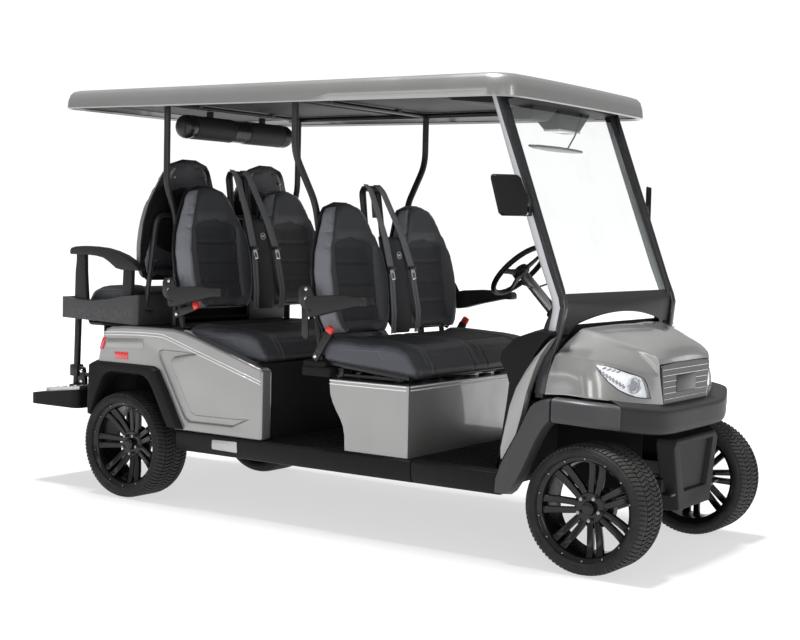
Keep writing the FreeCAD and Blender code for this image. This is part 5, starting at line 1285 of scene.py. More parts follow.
bolts = join("wheel_bolts", [*bolts, *lip_bolts])
print("rim faces", len(wheel.data.polygons))

# %% [markdown]
# The four wheels are copies, mirrored on the left. Each rides on its own turning body.

# %% Four wheels

for end, along in (("front", AXLE_X), ("rear", REAR_AXLE_X)):
    for side, sign in SIDES.items():
        place = Matrix.Translation((along, sign * TYRE_MID, 0.2795))
        if sign == LEFT:
            place = place @ MIRROR
        place = place @ Matrix.Rotation(math.radians({"right": 12.86, "left": 38.57}[side]), 4, "Y")
        body = f"wheel_{end}_{side}"
        dress(copied(tyre, f"tyre_{end}_{side}_tread", place), TYRE_RUBBER, body, [f"tyre_{end}_{side}"],
              "tyre_rubber")
        dress(copied(wheel, f"rim_{end}_{side}_spokes", place), BLACK_ALLOY, body, [f"rim_{end}_{side}"],
              "black_alloy")
        dress(copied(bolts, f"bolts_{end}_{side}", place), DULL_STEEL, body, slot="black_alloy")
for source in (tyre, wheel, bolts):
    bpy.data.objects.remove(source)
print("four wheels")

# %% [markdown]
# ## Flares and sides
# A flare is a thick plate cut to its side view. Its outer outline is drawn in a little, and that slope is
# its wide chamfer. The fore part of the front flare is a curved sheet that runs round to the bumper.

# %% Outlines measured ahead of the front axle


def rel(points):
    return [(u + AXLE_X, v) for u, v in points]


def drawn_in(points, step):
    """The same outline with each corner moved inwards by a fixed step, square to its two edges."""
    points = [Vector(p) for p in points]
    area = sum(a.x * b.y - b.x * a.y for a, b in zip(points, points[1:] + points[:1]))
    inner = []
    for before, corner, after in zip(points[-1:] + points[:-1], points, points[1:] + points[:1]):
        first, second = (corner - before).normalized(), (after - corner).normalized()
        normal = Vector((-(first + second).y, (first + second).x))
        normal = normal.normalized() * (1 if area > 0 else -1)
        lean = max(abs(normal.dot(Vector((-first.y, first.x)))), 0.4)
        inner.append(tuple(corner + normal * step / lean))
    return inner


FLARE_FACE, FLARE_BACK = 0.676, 0.610
FRONT_FLARE_REAR = rel([
    (-0.150, 0.741), (-0.180, 0.740), (-0.217, 0.732), (-0.245, 0.718), (-0.262, 0.700), (-0.282, 0.662),
    (-0.318, 0.588), (-0.374, 0.488),
    (-0.402, 0.436), (-0.426, 0.370), (-0.429, 0.300), (-0.366, 0.297), (-0.338, 0.318), (-0.303, 0.370),
    (-0.272, 0.430), (-0.243, 0.493),
    (-0.215, 0.552), (-0.196, 0.585), (-0.180, 0.610), (-0.162, 0.630), (-0.150, 0.640),
])


def flare(name, outline, chamfer, width=0.004):
    """Flare plate with a chamfered face, on the right side."""
    return plate(name, "Y", outline, -FLARE_BACK, -FLARE_FACE, width, 3, taper=drawn_in(outline, chamfer))


# Painted light: the palest copy of the black plastic, for the front flares and the rear side walls, which
# catch the most light.
PAINTED_BRIGHT_PLASTIC = finish(
    "painted_bright_black_plastic", grain_look((0.028, 0.028, 0.030), (0.072, 0.072, 0.077), 900.0, 0.0003, 0.38),
    Specular_IOR_Level=0.45,
)
FORE_PLAN = [(-0.147, -0.676), (-0.060, -0.673), (0.015, -0.655), (0.075, -0.622), (0.124, -0.578)]
FORE_SECTION = [(-0.070, 0.740), (-0.030, 0.740), (-0.008, 0.735), (0.0, 0.724), (0.0, 0.690),
                (0.0, 0.660), (-0.004, 0.648), (-0.012, 0.642), (-0.060, 0.640)]


def fore_point(plan, section):
    """Section point pushed in from the plan line; the plate sinks a little towards the bumper."""
    (x, y), (push, z) = plan, section
    sweep = min(max((x + 0.02) / 0.14, 0), 1)
    inward_direction = Vector((0.0, 1.0)).lerp(Vector((-0.75, 0.65)), sweep)
    return ahead(x + inward_direction.x * -push, y + inward_direction.y * -push,
                 z - 0.020 * ((x + 0.147) / 0.27) ** 1.6)


flare_rear = flare("flare_rear", FRONT_FLARE_REAR, 0.010)
fore_lines = [[fore_point(plan, section) for plan in FORE_PLAN] for section in FORE_SECTION]
flare_fore = sheet_of("flare_fore", stretched(fore_lines, across=24, along=28), wall=0.004, thick_side=1)
if sum(face.normal.y * face.area for face in flare_fore.data.polygons if face.center.y < -0.66) > 0:
    flare_fore.data.flip_normals()
dress(both_sides(join("front_flares", [flare_rear, outward(flare_fore)]), "front_flares_skin"),
      PAINTED_BRIGHT_PLASTIC, replaces=["front_flares"], slot="black_plastic")

REAR_FLARE = rel([
    (-2.968, 0.401), (-2.970, 0.490), (-2.960, 0.700), (-2.924, 0.720), (-2.786, 0.720), (-2.496, 0.719),
    (-2.452, 0.702), (-2.385, 0.594), (-2.272, 0.393),
    (-2.378, 0.392), (-2.430, 0.480), (-2.490, 0.587), (-2.507, 0.610), (-2.523, 0.628), (-2.545, 0.642),
    (-2.567, 0.649), (-2.724, 0.650), (-2.780, 0.648),
    (-2.803, 0.641), (-2.820, 0.628), (-2.831, 0.616), (-2.882, 0.515), (-2.916, 0.425),
])
rear_flare = flare("rear_flares_skin", REAR_FLARE, 0.018)
dress(both_sides(rear_flare, "rear_flares_skin"), BLACK_PLASTIC, replaces=["rear_flares"],
      slot="black_plastic")
arch = plate("rear_arch_liner", "Y", rel([(-2.99, 0.42), (-2.92, 0.67), (-2.85, 0.695), (-2.50, 0.695),
                                          (-2.42, 0.64), (-2.30, 0.42), (-2.36, 0.42), (-2.46, 0.63),
                                          (-2.53, 0.680), (-2.82, 0.680), (-2.88, 0.65), (-2.95, 0.42)]),
             -0.36, -0.615, 0.002)
dress(both_sides(arch, "rear_arch_liner"), LINER_PLASTIC, slot="black_plastic")

# %% [markdown]
# Between the front flare and the footwell stands the leg shield: a painted blade that narrows to a point
# at the pillar, on a dark moulded cheek that rounds over into the dash.

# %% Leg shields and dash cheeks

BLADE = rel([
    (-0.418, 0.440), (-0.421, 0.500), (-0.402, 0.593), (-0.381, 0.689), (-0.351, 0.771), (-0.306, 0.847),
    (-0.262, 0.909), (-0.206, 0.970), (-0.168, 1.000),
    (-0.196, 0.952), (-0.226, 0.908), (-0.252, 0.850), (-0.284, 0.755), (-0.308, 0.650), (-0.332, 0.565),
    (-0.396, 0.452),
])
blade = plate("leg_blade", "Y", BLADE, -0.606, -0.640, 0.005, 3, taper=drawn_in(BLADE, 0.007))
dress(both_sides(blade, "leg_blade"), BODY_PAINT, replaces=["leg_shields"], slot="body_paint")
CHEEK = rel([
    (-0.446, 0.894), (-0.436, 0.925), (-0.410, 0.955), (-0.360, 0.998), (-0.300, 1.020), (-0.235, 1.030),
    (-0.180, 1.030), (-0.168, 1.004), (-0.204, 0.972), (-0.250, 0.909),
    (-0.262, 0.830), (-0.290, 0.750), (-0.340, 0.560), (-0.400, 0.440), (-0.430, 0.395), (-0.448, 0.395),
    (-0.436, 0.500), (-0.420, 0.620), (-0.405, 0.720),
    (-0.398, 0.785), (-0.412, 0.825), (-0.438, 0.862),
])
cheek = plate("dash_cheek", "Y", CHEEK, -0.500, -0.632, 0.010, 4, taper=drawn_in(CHEEK, 0.014))
dress(both_sides(cheek, "dash_cheek"), BLACK_PLASTIC, slot="black_plastic")
DASH = rel([
    (-0.446, 0.885), (-0.436, 0.930), (-0.400, 0.972), (-0.340, 1.008), (-0.250, 1.034), (-0.205, 1.040),
    (-0.205, 0.900), (-0.300, 0.872), (-0.420, 0.870),
])
dash = plate("dashboard_skin", "Y", DASH, -0.505, 0.505, 0.008, 3)
dress(dash, BLACK_PLASTIC, replaces=["dashboard"], slot="black_plastic")
shelf = block("dash_shelf", (AXLE_X - 0.452, -0.46, 0.900), (AXLE_X - 0.436, -0.02, 0.945), 0.004)
display = block("dash_display", (AXLE_X - 0.41, 0.16, 0.972), (AXLE_X - 0.39, 0.44, 0.990), 0.004)
dress(join("dash_details", [shelf, display]), SMOOTH_PLASTIC, slot="black_plastic")
print("leg shields ready")

# %% [markdown]
# The panel below the windscreen is one dark sheet, folded at the pillars' knee. Its lower edge arches over
# the hood and leaves daylight under it, and its outer corners round down over the pillars.

# %% Screen panel


def panel_column(y):
    """Top, knee and bottom of the panel at one place across the cart."""
    reach = abs(y)
    top = 1.178 - 0.050 * max(0.0, (reach - 0.500) / 0.068) ** 2
    if reach < 0.43:
        low = 1.040 + 0.048 * (1 - (reach / 0.43) ** 2)
    else:
        low = 1.040 - 0.090 * min((reach - 0.43) / 0.09, 1)
    knee = min(1.135, top - 0.004)
    x_top, x_knee, x_low = -0.1875, -0.166, -0.150 - 0.030 * min((1.135 - low) / 0.12, 1.6)
    return [ahead(x_top, y, top), ahead((x_top + x_knee) / 2 + 0.002, y, (top + knee) / 2),
            ahead(x_knee, y, knee),
            ahead((x_knee + x_low) / 2 + 0.002, y, (knee + low) / 2), ahead(x_low, y, low)]


def swept_across(name, column, half, steps):
    """Sheet whose columns stand side by side across the cart."""
    rows = []
    for step in range(steps + 1):
        points = column(-half + 2 * half * step / steps)
        rows.append([smooth_through(points, k / 12) for k in range(13)])
    return sheet_of(name, rows)


panel = swept_across("screen_panel_sheet", panel_column, 0.566, 96)
if sum(face.normal.x * face.area for face in panel.data.polygons) < 0:
    panel.data.flip_normals()
modify(panel, "SOLIDIFY", thickness=0.006, offset=-1)
bevel(panel, 0.0015)
dress(panel, PAINTED_LIT_PLASTIC, replaces=["screen_panel"], slot="black_plastic")

windscreen = NODES["windscreen"]
windscreen.data.materials.clear()
windscreen.data.materials.append(CLEAR_GLASS)
print("screen panel", [round(v, 3) for v in panel.dimensions])

# %% [markdown]
# The front pillars are broad metal profiles. A rounded box section is carried along the pillar line, and a
# thin pale strip faces the upper part of each one: a painted reflection of the studio light on the dark
# metal.

# %% Pillar profiles

PILLAR = [(-0.521, 0.541, 2.050), (-0.430, 0.545, 1.800), (-0.330, 0.549, 1.530), (-0.240, 0.552, 1.290),
          (-0.186, 0.554, 1.160), (-0.176, 0.556, 1.120), (-0.190, 0.566, 1.020), (-0.215, 0.590, 0.900),
          (-0.231, 0.606, 0.750)]


def profile_bar(name, line, section, side):
    """Section (along the cart, across the cart) carried down a line of points."""
    clear()
    count = len(section)
    bpy.ops.mesh.primitive_grid_add(x_subdivisions=count, y_subdivisions=len(line) - 1, size=1)
    obj = bpy.context.object
    obj.name = name
    for index, vertex in enumerate(obj.data.vertices):
        row, column = divmod(index, count + 1)
        x, y, z = line[row]
        along, across = section[column % count]
        vertex.co = ahead(x + along, side * (y + across), z)
    outward(obj)
    only(obj)
    bpy.ops.object.mode_set(mode="EDIT")
    bpy.ops.mesh.select_all(action="DESELECT")
    bpy.ops.mesh.select_non_manifold()
    bpy.ops.mesh.fill_holes(sides=0)
    bpy.ops.object.mode_set(mode="OBJECT")
    outward(obj)
    return bevel(obj, 0)


PROFILE = [(-0.040, -0.010), (-0.040, 0.004), (-0.034, 0.013), (-0.012, 0.021), (0.016, 0.021),
           (0.026, 0.014), (0.026, -0.008), (0.020, -0.016), (-0.036, -0.016)]
# Painted reflection: a thin skin over the outer and rear faces of the pillar's upper part.
SHEEN_SECTION = [(-0.041, -0.006), (-0.042, 0.005), (-0.035, 0.0148), (-0.013, 0.0228), (0.002, 0.0228),
              (0.002, 0.0205), (-0.012, 0.0205), (-0.034, 0.0125), (-0.039, 0.004)]
pillars = join("pillar_profiles", [profile_bar(f"pillar_{side}", PILLAR, PROFILE, side)
                                   for side in (RIGHT, LEFT)])
bevel(pillars, 0.003, 2, 25)
strips = join("pillar_sheen_strips", [profile_bar(f"strip_{side}", PILLAR[:7], SHEEN_SECTION, side)
                               for side in (RIGHT, LEFT)])
PILLAR_METAL = finish("pillar_metal", gloss_metal_look((0.030, 0.031, 0.034), (0.075, 0.077, 0.082), 0.22),
                      Metallic=0.7, Coat_Weight=0.4)
# Painted reflection: the pale grey of the strip stands for the light shining on the dark pillar metal.
PILLAR_SHEEN = finish("pillar_painted_sheen", gloss_metal_look((0.52, 0.525, 0.545), (0.62, 0.625, 0.645), 0.42),
                     Metallic=0.35)
dress(pillars, PILLAR_METAL, slot="black_steel")
dress(strips, PILLAR_SHEEN, slot="body_paint")
print("pillars ready")

# %% [markdown]
# ## Body sides
# The sill runs between the wheels in two lengths with a narrow joint. It leans in at the bottom, so its
# lower half stays dark.

# %% Sills

SILL = [(0.560, 0.392), (0.628, 0.392), (0.638, 0.384), (0.640, 0.350), (0.634, 0.316), (0.618, 0.290),
        (0.600, 0.285), (0.560, 0.285)]
SILL_RUNS = [(-2.340, -0.887), (-0.884, -0.430)]
sills = [plate(f"sill_{index}", "X", [(-y, z) for y, z in SILL], AXLE_X + start, AXLE_X + end, 0.004, 2)
         for index, (start, end) in enumerate(SILL_RUNS)]
dress(both_sides(join("rocker_skin", sills), "rocker_skin"), BLACK_PLASTIC, replaces=["rocker_panels"],
      slot="black_plastic")
tag = plate("sill_tag", "Y", rel([(-2.086, 0.321), (-1.928, 0.318), (-1.924, 0.322), (-1.926, 0.368),
                                  (-1.930, 0.372), (-2.084, 0.369), (-2.089, 0.364), (-2.090, 0.326)]),
            -0.636, -0.6425, 0.0015, 2)
dress(both_sides(tag, "sill_tag"), WHITE_PLATE, slot="body_paint")
mat_ribs = []
for index in range(14):
    x = AXLE_X - 0.895 + index * 0.034
    mat_ribs.append(block(f"mat_{index}", (x, -0.54, 0.3915), (x + 0.018, 0.54, 0.396), 0.002))
for index in range(9):
    x = AXLE_X - 1.76 + index * 0.042
    mat_ribs.append(block(f"mid_mat_{index}", (x, -0.56, 0.3915), (x + 0.024, 0.56, 0.396), 0.002))
dress(join("floor_ribs", mat_ribs), LINER_PLASTIC, slot="black_plastic")
print("sills ready")

# %% [markdown]
# The box under the front bench is painted. Its side ends at the back in an S-shaped edge, its front corners
# are rounded, and a pair of bright strips runs round its top.

# %% Front seat box

SEAT_BOX = rel([
    (-0.915, 0.393), (-0.915, 0.728), (-1.370, 0.728), (-1.370, 0.690), (-1.366, 0.655), (-1.352, 0.618),
    (-1.330, 0.580), (-1.306, 0.545), (-1.288, 0.508), (-1.279, 0.465), (-1.277, 0.393),
])
seat_box = plate("front_seat_box_skin", "Y", SEAT_BOX, -0.620, 0.620, width=0)
only(seat_box)
bpy.ops.object.mode_set(mode="EDIT")
mesh = bmesh.from_edit_mesh(seat_box.data)
for edge in mesh.edges:
    first, second = edge.verts[0].co, edge.verts[1].co
    edge.select_set(abs(first.x - second.x) < 0.001 and abs(first.y - second.y) < 0.001
                    and first.x > AXLE_X - 0.92)
bmesh.update_edit_mesh(seat_box.data)
bpy.ops.mesh.bevel(offset=0.030, segments=8)
bpy.ops.object.mode_set(mode="OBJECT")
bevel(seat_box, 0.004, 2)
dress(seat_box, BODY_PAINT, replaces=["front_seat_box"], slot="body_paint")


def box_line(z, out):
    """Path round the seat box at one height."""
    half, front, rear, corner = 0.620 + out, AXLE_X - 0.915 + out, AXLE_X - 1.368, 0.030
    path = [(rear, -half, z), (front - corner, -half, z)]
    for step in range(1, 8):
        angle = math.radians(90 * step / 8)
        path.append((front - corner + (corner + out) * math.sin(angle) - out * math.sin(angle),
                     -half + corner - corner * math.cos(angle), z))
    path.append((front, -half + corner, z))
    return path + [(x, -y, z) for x, y, z in reversed(path)]


trims = [bar(f"trim_{index}", box_line(z, 0.0005), 0.0034, bend=0)
         for index, z in enumerate((0.7225, 0.7060))]
dress(join("seat_box_trim", trims), SILVER_TRIM, slot="body_paint")
print("seat box ready")

# %% [markdown]
# The quarter panel is pressed from one sheet. Its shoulder is well rounded, and a soft channel in the
# shape of an open bracket is sunk into it. A boolean cuts the channel, and the bevel softens its lips.

# %% Quarter panels

QUARTER = rel([
    (-1.770, 0.393), (-1.770, 0.735), (-1.790, 0.748), (-2.182, 0.868), (-2.290, 0.898), (-2.370, 0.909),
    (-2.500, 0.910), (-2.700, 0.908), (-2.810, 0.900), (-2.850, 0.888),
    (-2.872, 0.860), (-2.900, 0.775), (-2.918, 0.700), (-2.90, 0.655), (-2.80, 0.665), (-2.56, 0.665),
    (-2.48, 0.610), (-2.36, 0.393),
])
CHANNEL = rel([
    (-2.200, 0.792), (-2.300, 0.796), (-2.440, 0.798), (-2.466, 0.788), (-2.462, 0.760), (-2.300, 0.490),
    (-2.280, 0.460), (-2.250, 0.443), (-1.960, 0.446), (-1.865, 0.488),
    (-1.930, 0.484), (-2.205, 0.480), (-2.240, 0.494), (-2.375, 0.722), (-2.382, 0.744), (-2.360, 0.764),
    (-2.300, 0.776),
])
quarter = plate("quarter_skin", "Y", QUARTER, -0.560, -0.640, width=0)
bevel(quarter, 0.014, 5, 40)
groove = plate("groove", "Y", CHANNEL, -0.628, -0.660, width=0)
boolean(quarter, groove, "DIFFERENCE")
bevel(quarter, 0.0085, 5, 50)
dress(both_sides(quarter, "quarter_skin"), BODY_PAINT, replaces=["quarter_panels"], slot="body_paint")
STRIPE = [(-2.872, 0.853), (-2.740, 0.861), (-2.606, 0.866), (-2.480, 0.866), (-2.433, 0.863),
          (-2.365, 0.844), (-2.178, 0.788), (-1.960, 0.724), (-1.776, 0.670)]
stripes = []
for index, lift in enumerate((0.0, 0.0150)):
    path = rel([(x, z + lift) for x, z in STRIPE])
    band = path + [(x, z - 0.0042) for x, z in reversed(path)]
    stripes.append(plate(f"stripe_{index}", "Y", band, -0.6390, -0.6412, 0.0006, 1))
dress(both_sides(join("pinstripes", stripes), "pinstripes"), SILVER_TRIM, slot="body_paint")

lamp = plate("tail_lamp_lens", "Y", rel([(-2.895, 0.775), (-2.871, 0.774), (-2.847, 0.839),
                                         (-2.869, 0.838)]), -0.600, -0.6475, 0.003, 3)
marker = plate("side_marker", "Y", rel([(-2.782, 0.731), (-2.686, 0.731), (-2.686, 0.770),
                                        (-2.782, 0.768)]), -0.636, -0.6430, 0.002, 2)
dress(both_sides(join("red_lamps", [lamp, marker]), "red_lamps"), RED_LENS, replaces=["tail_lamps"],
      slot="red_lens")
blank = plate("bare_plate", "Y", rel([(-2.852, 0.787), (-2.580, 0.793), (-2.572, 0.800), (-2.574, 0.842),
                                      (-2.580, 0.847), (-2.838, 0.836)]), -0.634, -0.6425, 0.002, 2)
dress(both_sides(blank, "bare_plate"), BODY_PAINT, slot="body_paint")
print("quarter panels ready")

# %% [markdown]
# ## Seats
# A stuffed seat part starts as a low cage a little smaller than the real pad. The cage is remeshed evenly
# and blown up by a short cloth run with pressure, which gives the crown and the pulled-in corners of real
# upholstery. Seams and channels come after that, because a remesh would erase them.

# %% Padding by cloth pressure


def caged(name, stations):
    """Closed cage from stations: each a list of points round the pad, joined one to the next."""
    clear()
    count = len(stations[0])
    bpy.ops.mesh.primitive_grid_add(x_subdivisions=count, y_subdivisions=len(stations) - 1, size=1)
    obj = bpy.context.object
    obj.name = name
    for index, vertex in enumerate(obj.data.vertices):
        row, column = divmod(index, count + 1)
        vertex.co = stations[row][column % count]
    outward(obj)
    only(obj)
    bpy.ops.object.mode_set(mode="EDIT")
    bpy.ops.mesh.select_all(action="DESELECT")
    bpy.ops.mesh.select_non_manifold()
    bpy.ops.mesh.fill_holes(sides=0)
    bpy.ops.object.mode_set(mode="OBJECT")
    return outward(obj)


def stuffed(obj, voxel=0.006, pressure=4.0, cap=0.010):
    """Remesh, inflate with cloth, hold every point within the cap, and smooth the result."""
    modify(obj, "REMESH", mode="VOXEL", voxel_size=voxel)
    start = [vertex.co.copy() for vertex in obj.data.vertices]
    only(obj)
    cloth = obj.modifiers.new("cloth", "CLOTH")
    cloth.settings.use_pressure = True
    cloth.settings.uniform_pressure_force = pressure
    cloth.settings.effector_weights.gravity = 0.0
    cloth.settings.quality = 4
    cloth.settings.tension_stiffness = 30.0
    cloth.settings.compression_stiffness = 30.0
    cloth.settings.bending_stiffness = 4.0
    cloth.collision_settings.use_collision = False
    cloth.point_cache.frame_end = 20
    for frame_number in range(1, 21):
        bpy.context.scene.frame_set(frame_number)
    bpy.ops.object.modifier_apply(modifier=cloth.name)
    bpy.context.scene.frame_set(1)
    for vertex, place in zip(obj.data.vertices, start):
        move = vertex.co - place
        if move.length > cap:
            vertex.co = place + move.normalized() * cap
    modify(obj, "SMOOTH", factor=0.5, iterations=4)
    bpy.ops.object.shade_smooth()
    return obj


# %% [markdown]
# A back rest is drawn in its own frame: u runs across, v runs up the leaning back and w comes out of the
# face. One plan line for the outer edge and one depth profile give the cage its stations.

# %% Back rest cage

BACK_LONG = 0.650
BACK_LEAN = math.radians(8.5)
EDGE_SHARES = [
    (0.0, 0.215), (0.04, 0.248), (0.13, 0.278), (0.29, 0.291), (0.47, 0.290), (0.62, 0.268), (0.73, 0.234),
    (0.82, 0.203),
    (0.89, 0.180), (0.930, 0.162), (0.960, 0.140), (0.982, 0.112), (0.995, 0.080), (1.0, 0.050),
]
BACK_EDGE = [(share * BACK_LONG, half) for share, half in EDGE_SHARES]


def edge_half(v):
    """Half width of the back at height v."""
    for (v0, h0), (v1, h1) in zip(BACK_EDGE, BACK_EDGE[1:]):
        if v <= v1:
            return h0 + (h1 - h0) * (v - v0) / (v1 - v0)
    return BACK_EDGE[-1][1]


def back_depth(v, side_share):
    """How far the face stands out: deep bolsters at the sides, a shallower hollow between them."""
    rise = v / BACK_LONG
    belly = 0.084 * (1 - 0.22 * rise ** 2)
    bolster = 0.026 * math.exp(-((abs(side_share) - 0.80) / 0.20) ** 2) * (1 - rise ** 3)
    ease = min(max((0.76 - rise) / 0.10, 0.0), 1.0)
    return belly + bolster - 0.024 * math.exp(-(side_share / 0.58) ** 6) * ease


ACROSS = [-1.0, -0.94, -0.82, -0.66, -0.48, -0.25, 0.0, 0.25, 0.48, 0.66, 0.82, 0.94, 1.0]


def back_cage(name):
    stations = []
    for step in range(27):
        v = BACK_LONG * step / 26
        half = edge_half(v) - 0.008
        front = [Vector((s * half, v, back_depth(v,
            s) * (1 - 0.55 * max(0.0, (abs(s) - 0.82) / 0.18) ** 2) - 0.006)) for s in ACROSS]
        rear = [Vector((s * half * 0.97, v, 0.012 + 0.010 * abs(s) ** 3)) for s in reversed(ACROSS)]
        stations.append(front + rear)
    return caged(name, stations)


cage = back_cage("back_pad")
pad = stuffed(cage, 0.0075, 3.0, 0.009)
print("back pad", len(pad.data.vertices), "points")

# %% [markdown]
# The centre insert of each back is sunk behind a sewn line with an arched top, and rows of sewn channels
# cross it. The pad's points are pushed along their normals by how near they lie to those lines.

# %% Seams and channels on the back

INSERT_LOW, INSERT_TOP, HEAD_LINE = 0.055, 0.462, 0.493
CHANNEL_ROWS = (0.140, 0.243, 0.347)


def insert_half(v):
    """Half width of the insert: wider towards its top, with rounded upper corners."""
    base = 0.150 + 0.012 * (v / INSERT_TOP)
    drop = max(0.0, (v - INSERT_TOP + 0.060) / 0.060)
    return base * math.sqrt(max(0.0, 1 - drop ** 2.6))


def seam_distance(u, v):
    """Signed distance to the insert's edge: below zero inside it."""
    inside_top = v - INSERT_TOP
    inside_side = abs(u) - max(insert_half(min(v, INSERT_TOP)), 0.0)
    inside_low = INSERT_LOW - v
    return max(inside_top, inside_side, inside_low)


def press_seams(obj):
    for vertex in obj.data.vertices:
        u, v, w = vertex.co
        if w < 0.030:
            continue
        distance = seam_distance(u, v)
        push = -0.0085 * math.exp(-(distance / 0.007) ** 2)
        if distance < 0:
            push -= 0.004 * min(-distance / 0.012, 1)
            for row in CHANNEL_ROWS:
                push -= 0.0075 * math.exp(-((v - row) / 0.0065) ** 2)
        bolster_line = abs(u) - (edge_half(v) - 0.062)
        if v > 0.03:
            push -= 0.0040 * math.exp(-(bolster_line / 0.0055) ** 2)
        if bolster_line > 0:
            push -= 0.0045 * math.exp(-((v - HEAD_LINE) / 0.006) ** 2)
        vertex.co.z = w + push
    return obj


press_seams(pad)
modify(pad, "SUBSURF", levels=1, render_levels=1)
only(pad)
bpy.ops.object.shade_smooth()
print("back pad after seams", len(pad.data.polygons), "faces")

# %% [markdown]
# The leather changes over the back: the outer bolsters are black leather painted a smooth grey, a painted
# sheen, the head is plain black, and the insert is perforated and cloth-like. The faces are sorted by where
# they lie, and each group gets its own leather.

# %% Leather zones of the back

for material in (LEATHER, BOLSTER_SHEEN_LEATHER, INSERT_LEATHER):
    pad.data.materials.append(material)
for face in pad.data.polygons:
    u, v, w = face.center
    if w > 0.03 and seam_distance(u, v) < -0.001:
        face.material_index = 2
    # Painted sheen: the outer bolsters get the paler grey leather.
    elif abs(u) > edge_half(v) - 0.062 and v < BACK_LONG - 0.03:
        face.material_index = 1
    else:
        face.material_index = 0


def seam_cord(name, line, radius=0.0017):
    return bar(name, line, radius, bend=0, sides=2)


def surface_w(obj_mesh, u, v):
    """Height of the pad's face over one place, from its nearest point."""
    best = min((vertex.co for vertex in obj_mesh.vertices if vertex.co.z > 0.03),
               key=lambda p: (p.x - u) ** 2 + (p.y - v) ** 2)
    return best.z


stitch_lines = []
for side in (-1, 1):
    line = []
    for step in range(25):
        v = 0.03 + 0.55 * step / 24
        u = side * (edge_half(v) - 0.062)
        line.append((u, v, surface_w(pad.data, u, v) + 0.0008))
    stitch_lines.append(seam_cord(f"bolster_seam_{side}", line))
back_seams = join("back_seams", stitch_lines)

shell_stations = []
for step in range(25):
    v = BACK_LONG * step / 24
    half = edge_half(v) * 0.985
    bulge = 0.014 * math.sin(math.pi * step / 24) + 0.004
    shell_stations.append([Vector((s * half, v, 0.016 - bulge * (1 - abs(s) ** 2.4))) for s in ACROSS]
                          + [Vector((s * half, v, 0.022)) for s in reversed(ACROSS)])
back_shell = bevel(caged("back_shell", shell_stations), 0.004, 2, 50)
screws = []
for u, v in ((-0.19, 0.11), (0.19, 0.11), (-0.20, 0.32), (0.20, 0.32), (-0.12, 0.555), (0.12, 0.555)):
    screws.append(rod(f"shell_screw_{len(screws)}", (u, v, 0.012), (u, v, -0.010), 0.007, 12))
back_screws = join("back_screws", screws)
print("back parts ready")


# %% [markdown]
# Six backs stand on the cart: three pairs, the last pair facing backwards. Each copy is placed in its own
# mesh by one matrix that leans it and turns it to its row.

# %% Six backs

ROWS = {
    "front": (0.1423, 0.800, 1, "front_backs"), "mid": (-0.7647, 0.880, 1, "mid_backs"),
    "rear": (-1.0617, 1.020, -1, "rear_backs"),
}


def back_frame(base_x, base_z, facing, y, rise=0.125):
    """Matrix from a back's own frame (u, v, w) to the cart: w faces forward, or back for the last row."""
    up_line = Vector((-math.sin(BACK_LEAN) * facing, 0, math.cos(BACK_LEAN)))
    out_line = Vector((math.cos(BACK_LEAN) * facing, 0, math.sin(BACK_LEAN)))
    across = Vector((0, 1 * facing, 0))
    turn = Matrix((across, up_line, out_line)).transposed().to_4x4()
    foot = Vector((base_x, y, base_z)) + up_line * rise
    return Matrix.Translation(foot) @ turn


for row, (base_x, base_z, facing, node_name) in ROWS.items():
    for side, sign in SIDES.items():
        frame_matrix = back_frame(base_x, base_z, facing, sign * 0.314)
        piece = copied(pad, f"{row}_back_pad_{side}", frame_matrix)
        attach(piece, "cart")
        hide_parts(node_name)
        dress(copied(back_seams, f"{row}_back_seams_{side}", frame_matrix), PIPING, slot="black_leather")
        dress(copied(back_shell, f"{row}_back_shell_{side}", frame_matrix), SMOOTH_PLASTIC,
              slot="black_plastic")
        dress(copied(back_screws, f"{row}_back_screws_{side}", frame_matrix), DULL_STEEL, slot="black_steel")
for source in (pad, back_seams, back_shell, back_screws):
    bpy.data.objects.remove(source)
print("six backs")

# %% [markdown]
# The bench cushions are one stuffed pad each, with raised outer bolsters, a sunk seat for each rider and a
# well rounded front edge. The cage is a row of side profiles across the seat, and it is blown up as the
# backs were. One long pad serves the first two rows, and the short last bench has its own.

# %% Bench cushion cages


DIP = 0.050


def cushion_cage(name, long, tall, half):
    """Cage of a bench cushion from its rear lower edge: x forward, z up, its underside falling forward."""
    stations = []
    for step in range(45):
        share = 2 * step / 44 - 1
        tuck = 0.018 * max(0.0, (abs(share) - 0.95) / 0.05) ** 2
        crest = 0.008 * math.exp(-((abs(share) - 0.84) / 0.10) ** 2) - 0.008 * math.exp(-(share / 0.06) ** 2)
        top, low = tall - 0.010 + crest - tuck, 0.008 + tuck
        loop = [
            (0.012 + tuck, low), (0.006 + tuck, tall * 0.4), (0.012 + tuck, top - 0.030),
            (0.045, top - 0.004), (long * 0.25, top),
            (long * 0.45, top), (long * 0.65, top - 0.001), (long - 0.125, top - 0.006),
            (long - 0.070, top - 0.022),
            (long - 0.030, top - 0.050), (long - 0.008 - tuck, tall * 0.36),
            (long - 0.012 - tuck, low + 0.008),
            (long - 0.030 - tuck, low), (long * 0.66, low), (long * 0.33, low),
        ]
        loop = [(x, z - DIP * x / long * (0.5 if z > tall * 0.6 else 1.0)) for x, z in loop]
        stations.append([Vector((x, share * (half - 0.009), z)) for x, z in loop])
    return caged(name, stations)


LONG_PAD, LONG_TALL, LONG_HALF = 0.570, 0.132, 0.598
SHORT_PAD, SHORT_TALL, SHORT_HALF = 0.400, 0.112, 0.545
long_pad = stuffed(cushion_cage("long_pad", LONG_PAD, LONG_TALL, LONG_HALF), 0.0095, 3.0, 0.010)
short_pad = stuffed(cushion_cage("short_pad", SHORT_PAD, SHORT_TALL, SHORT_HALF), 0.0095, 3.0, 0.009)
print("cushions", len(long_pad.data.vertices), len(short_pad.data.vertices), "points")

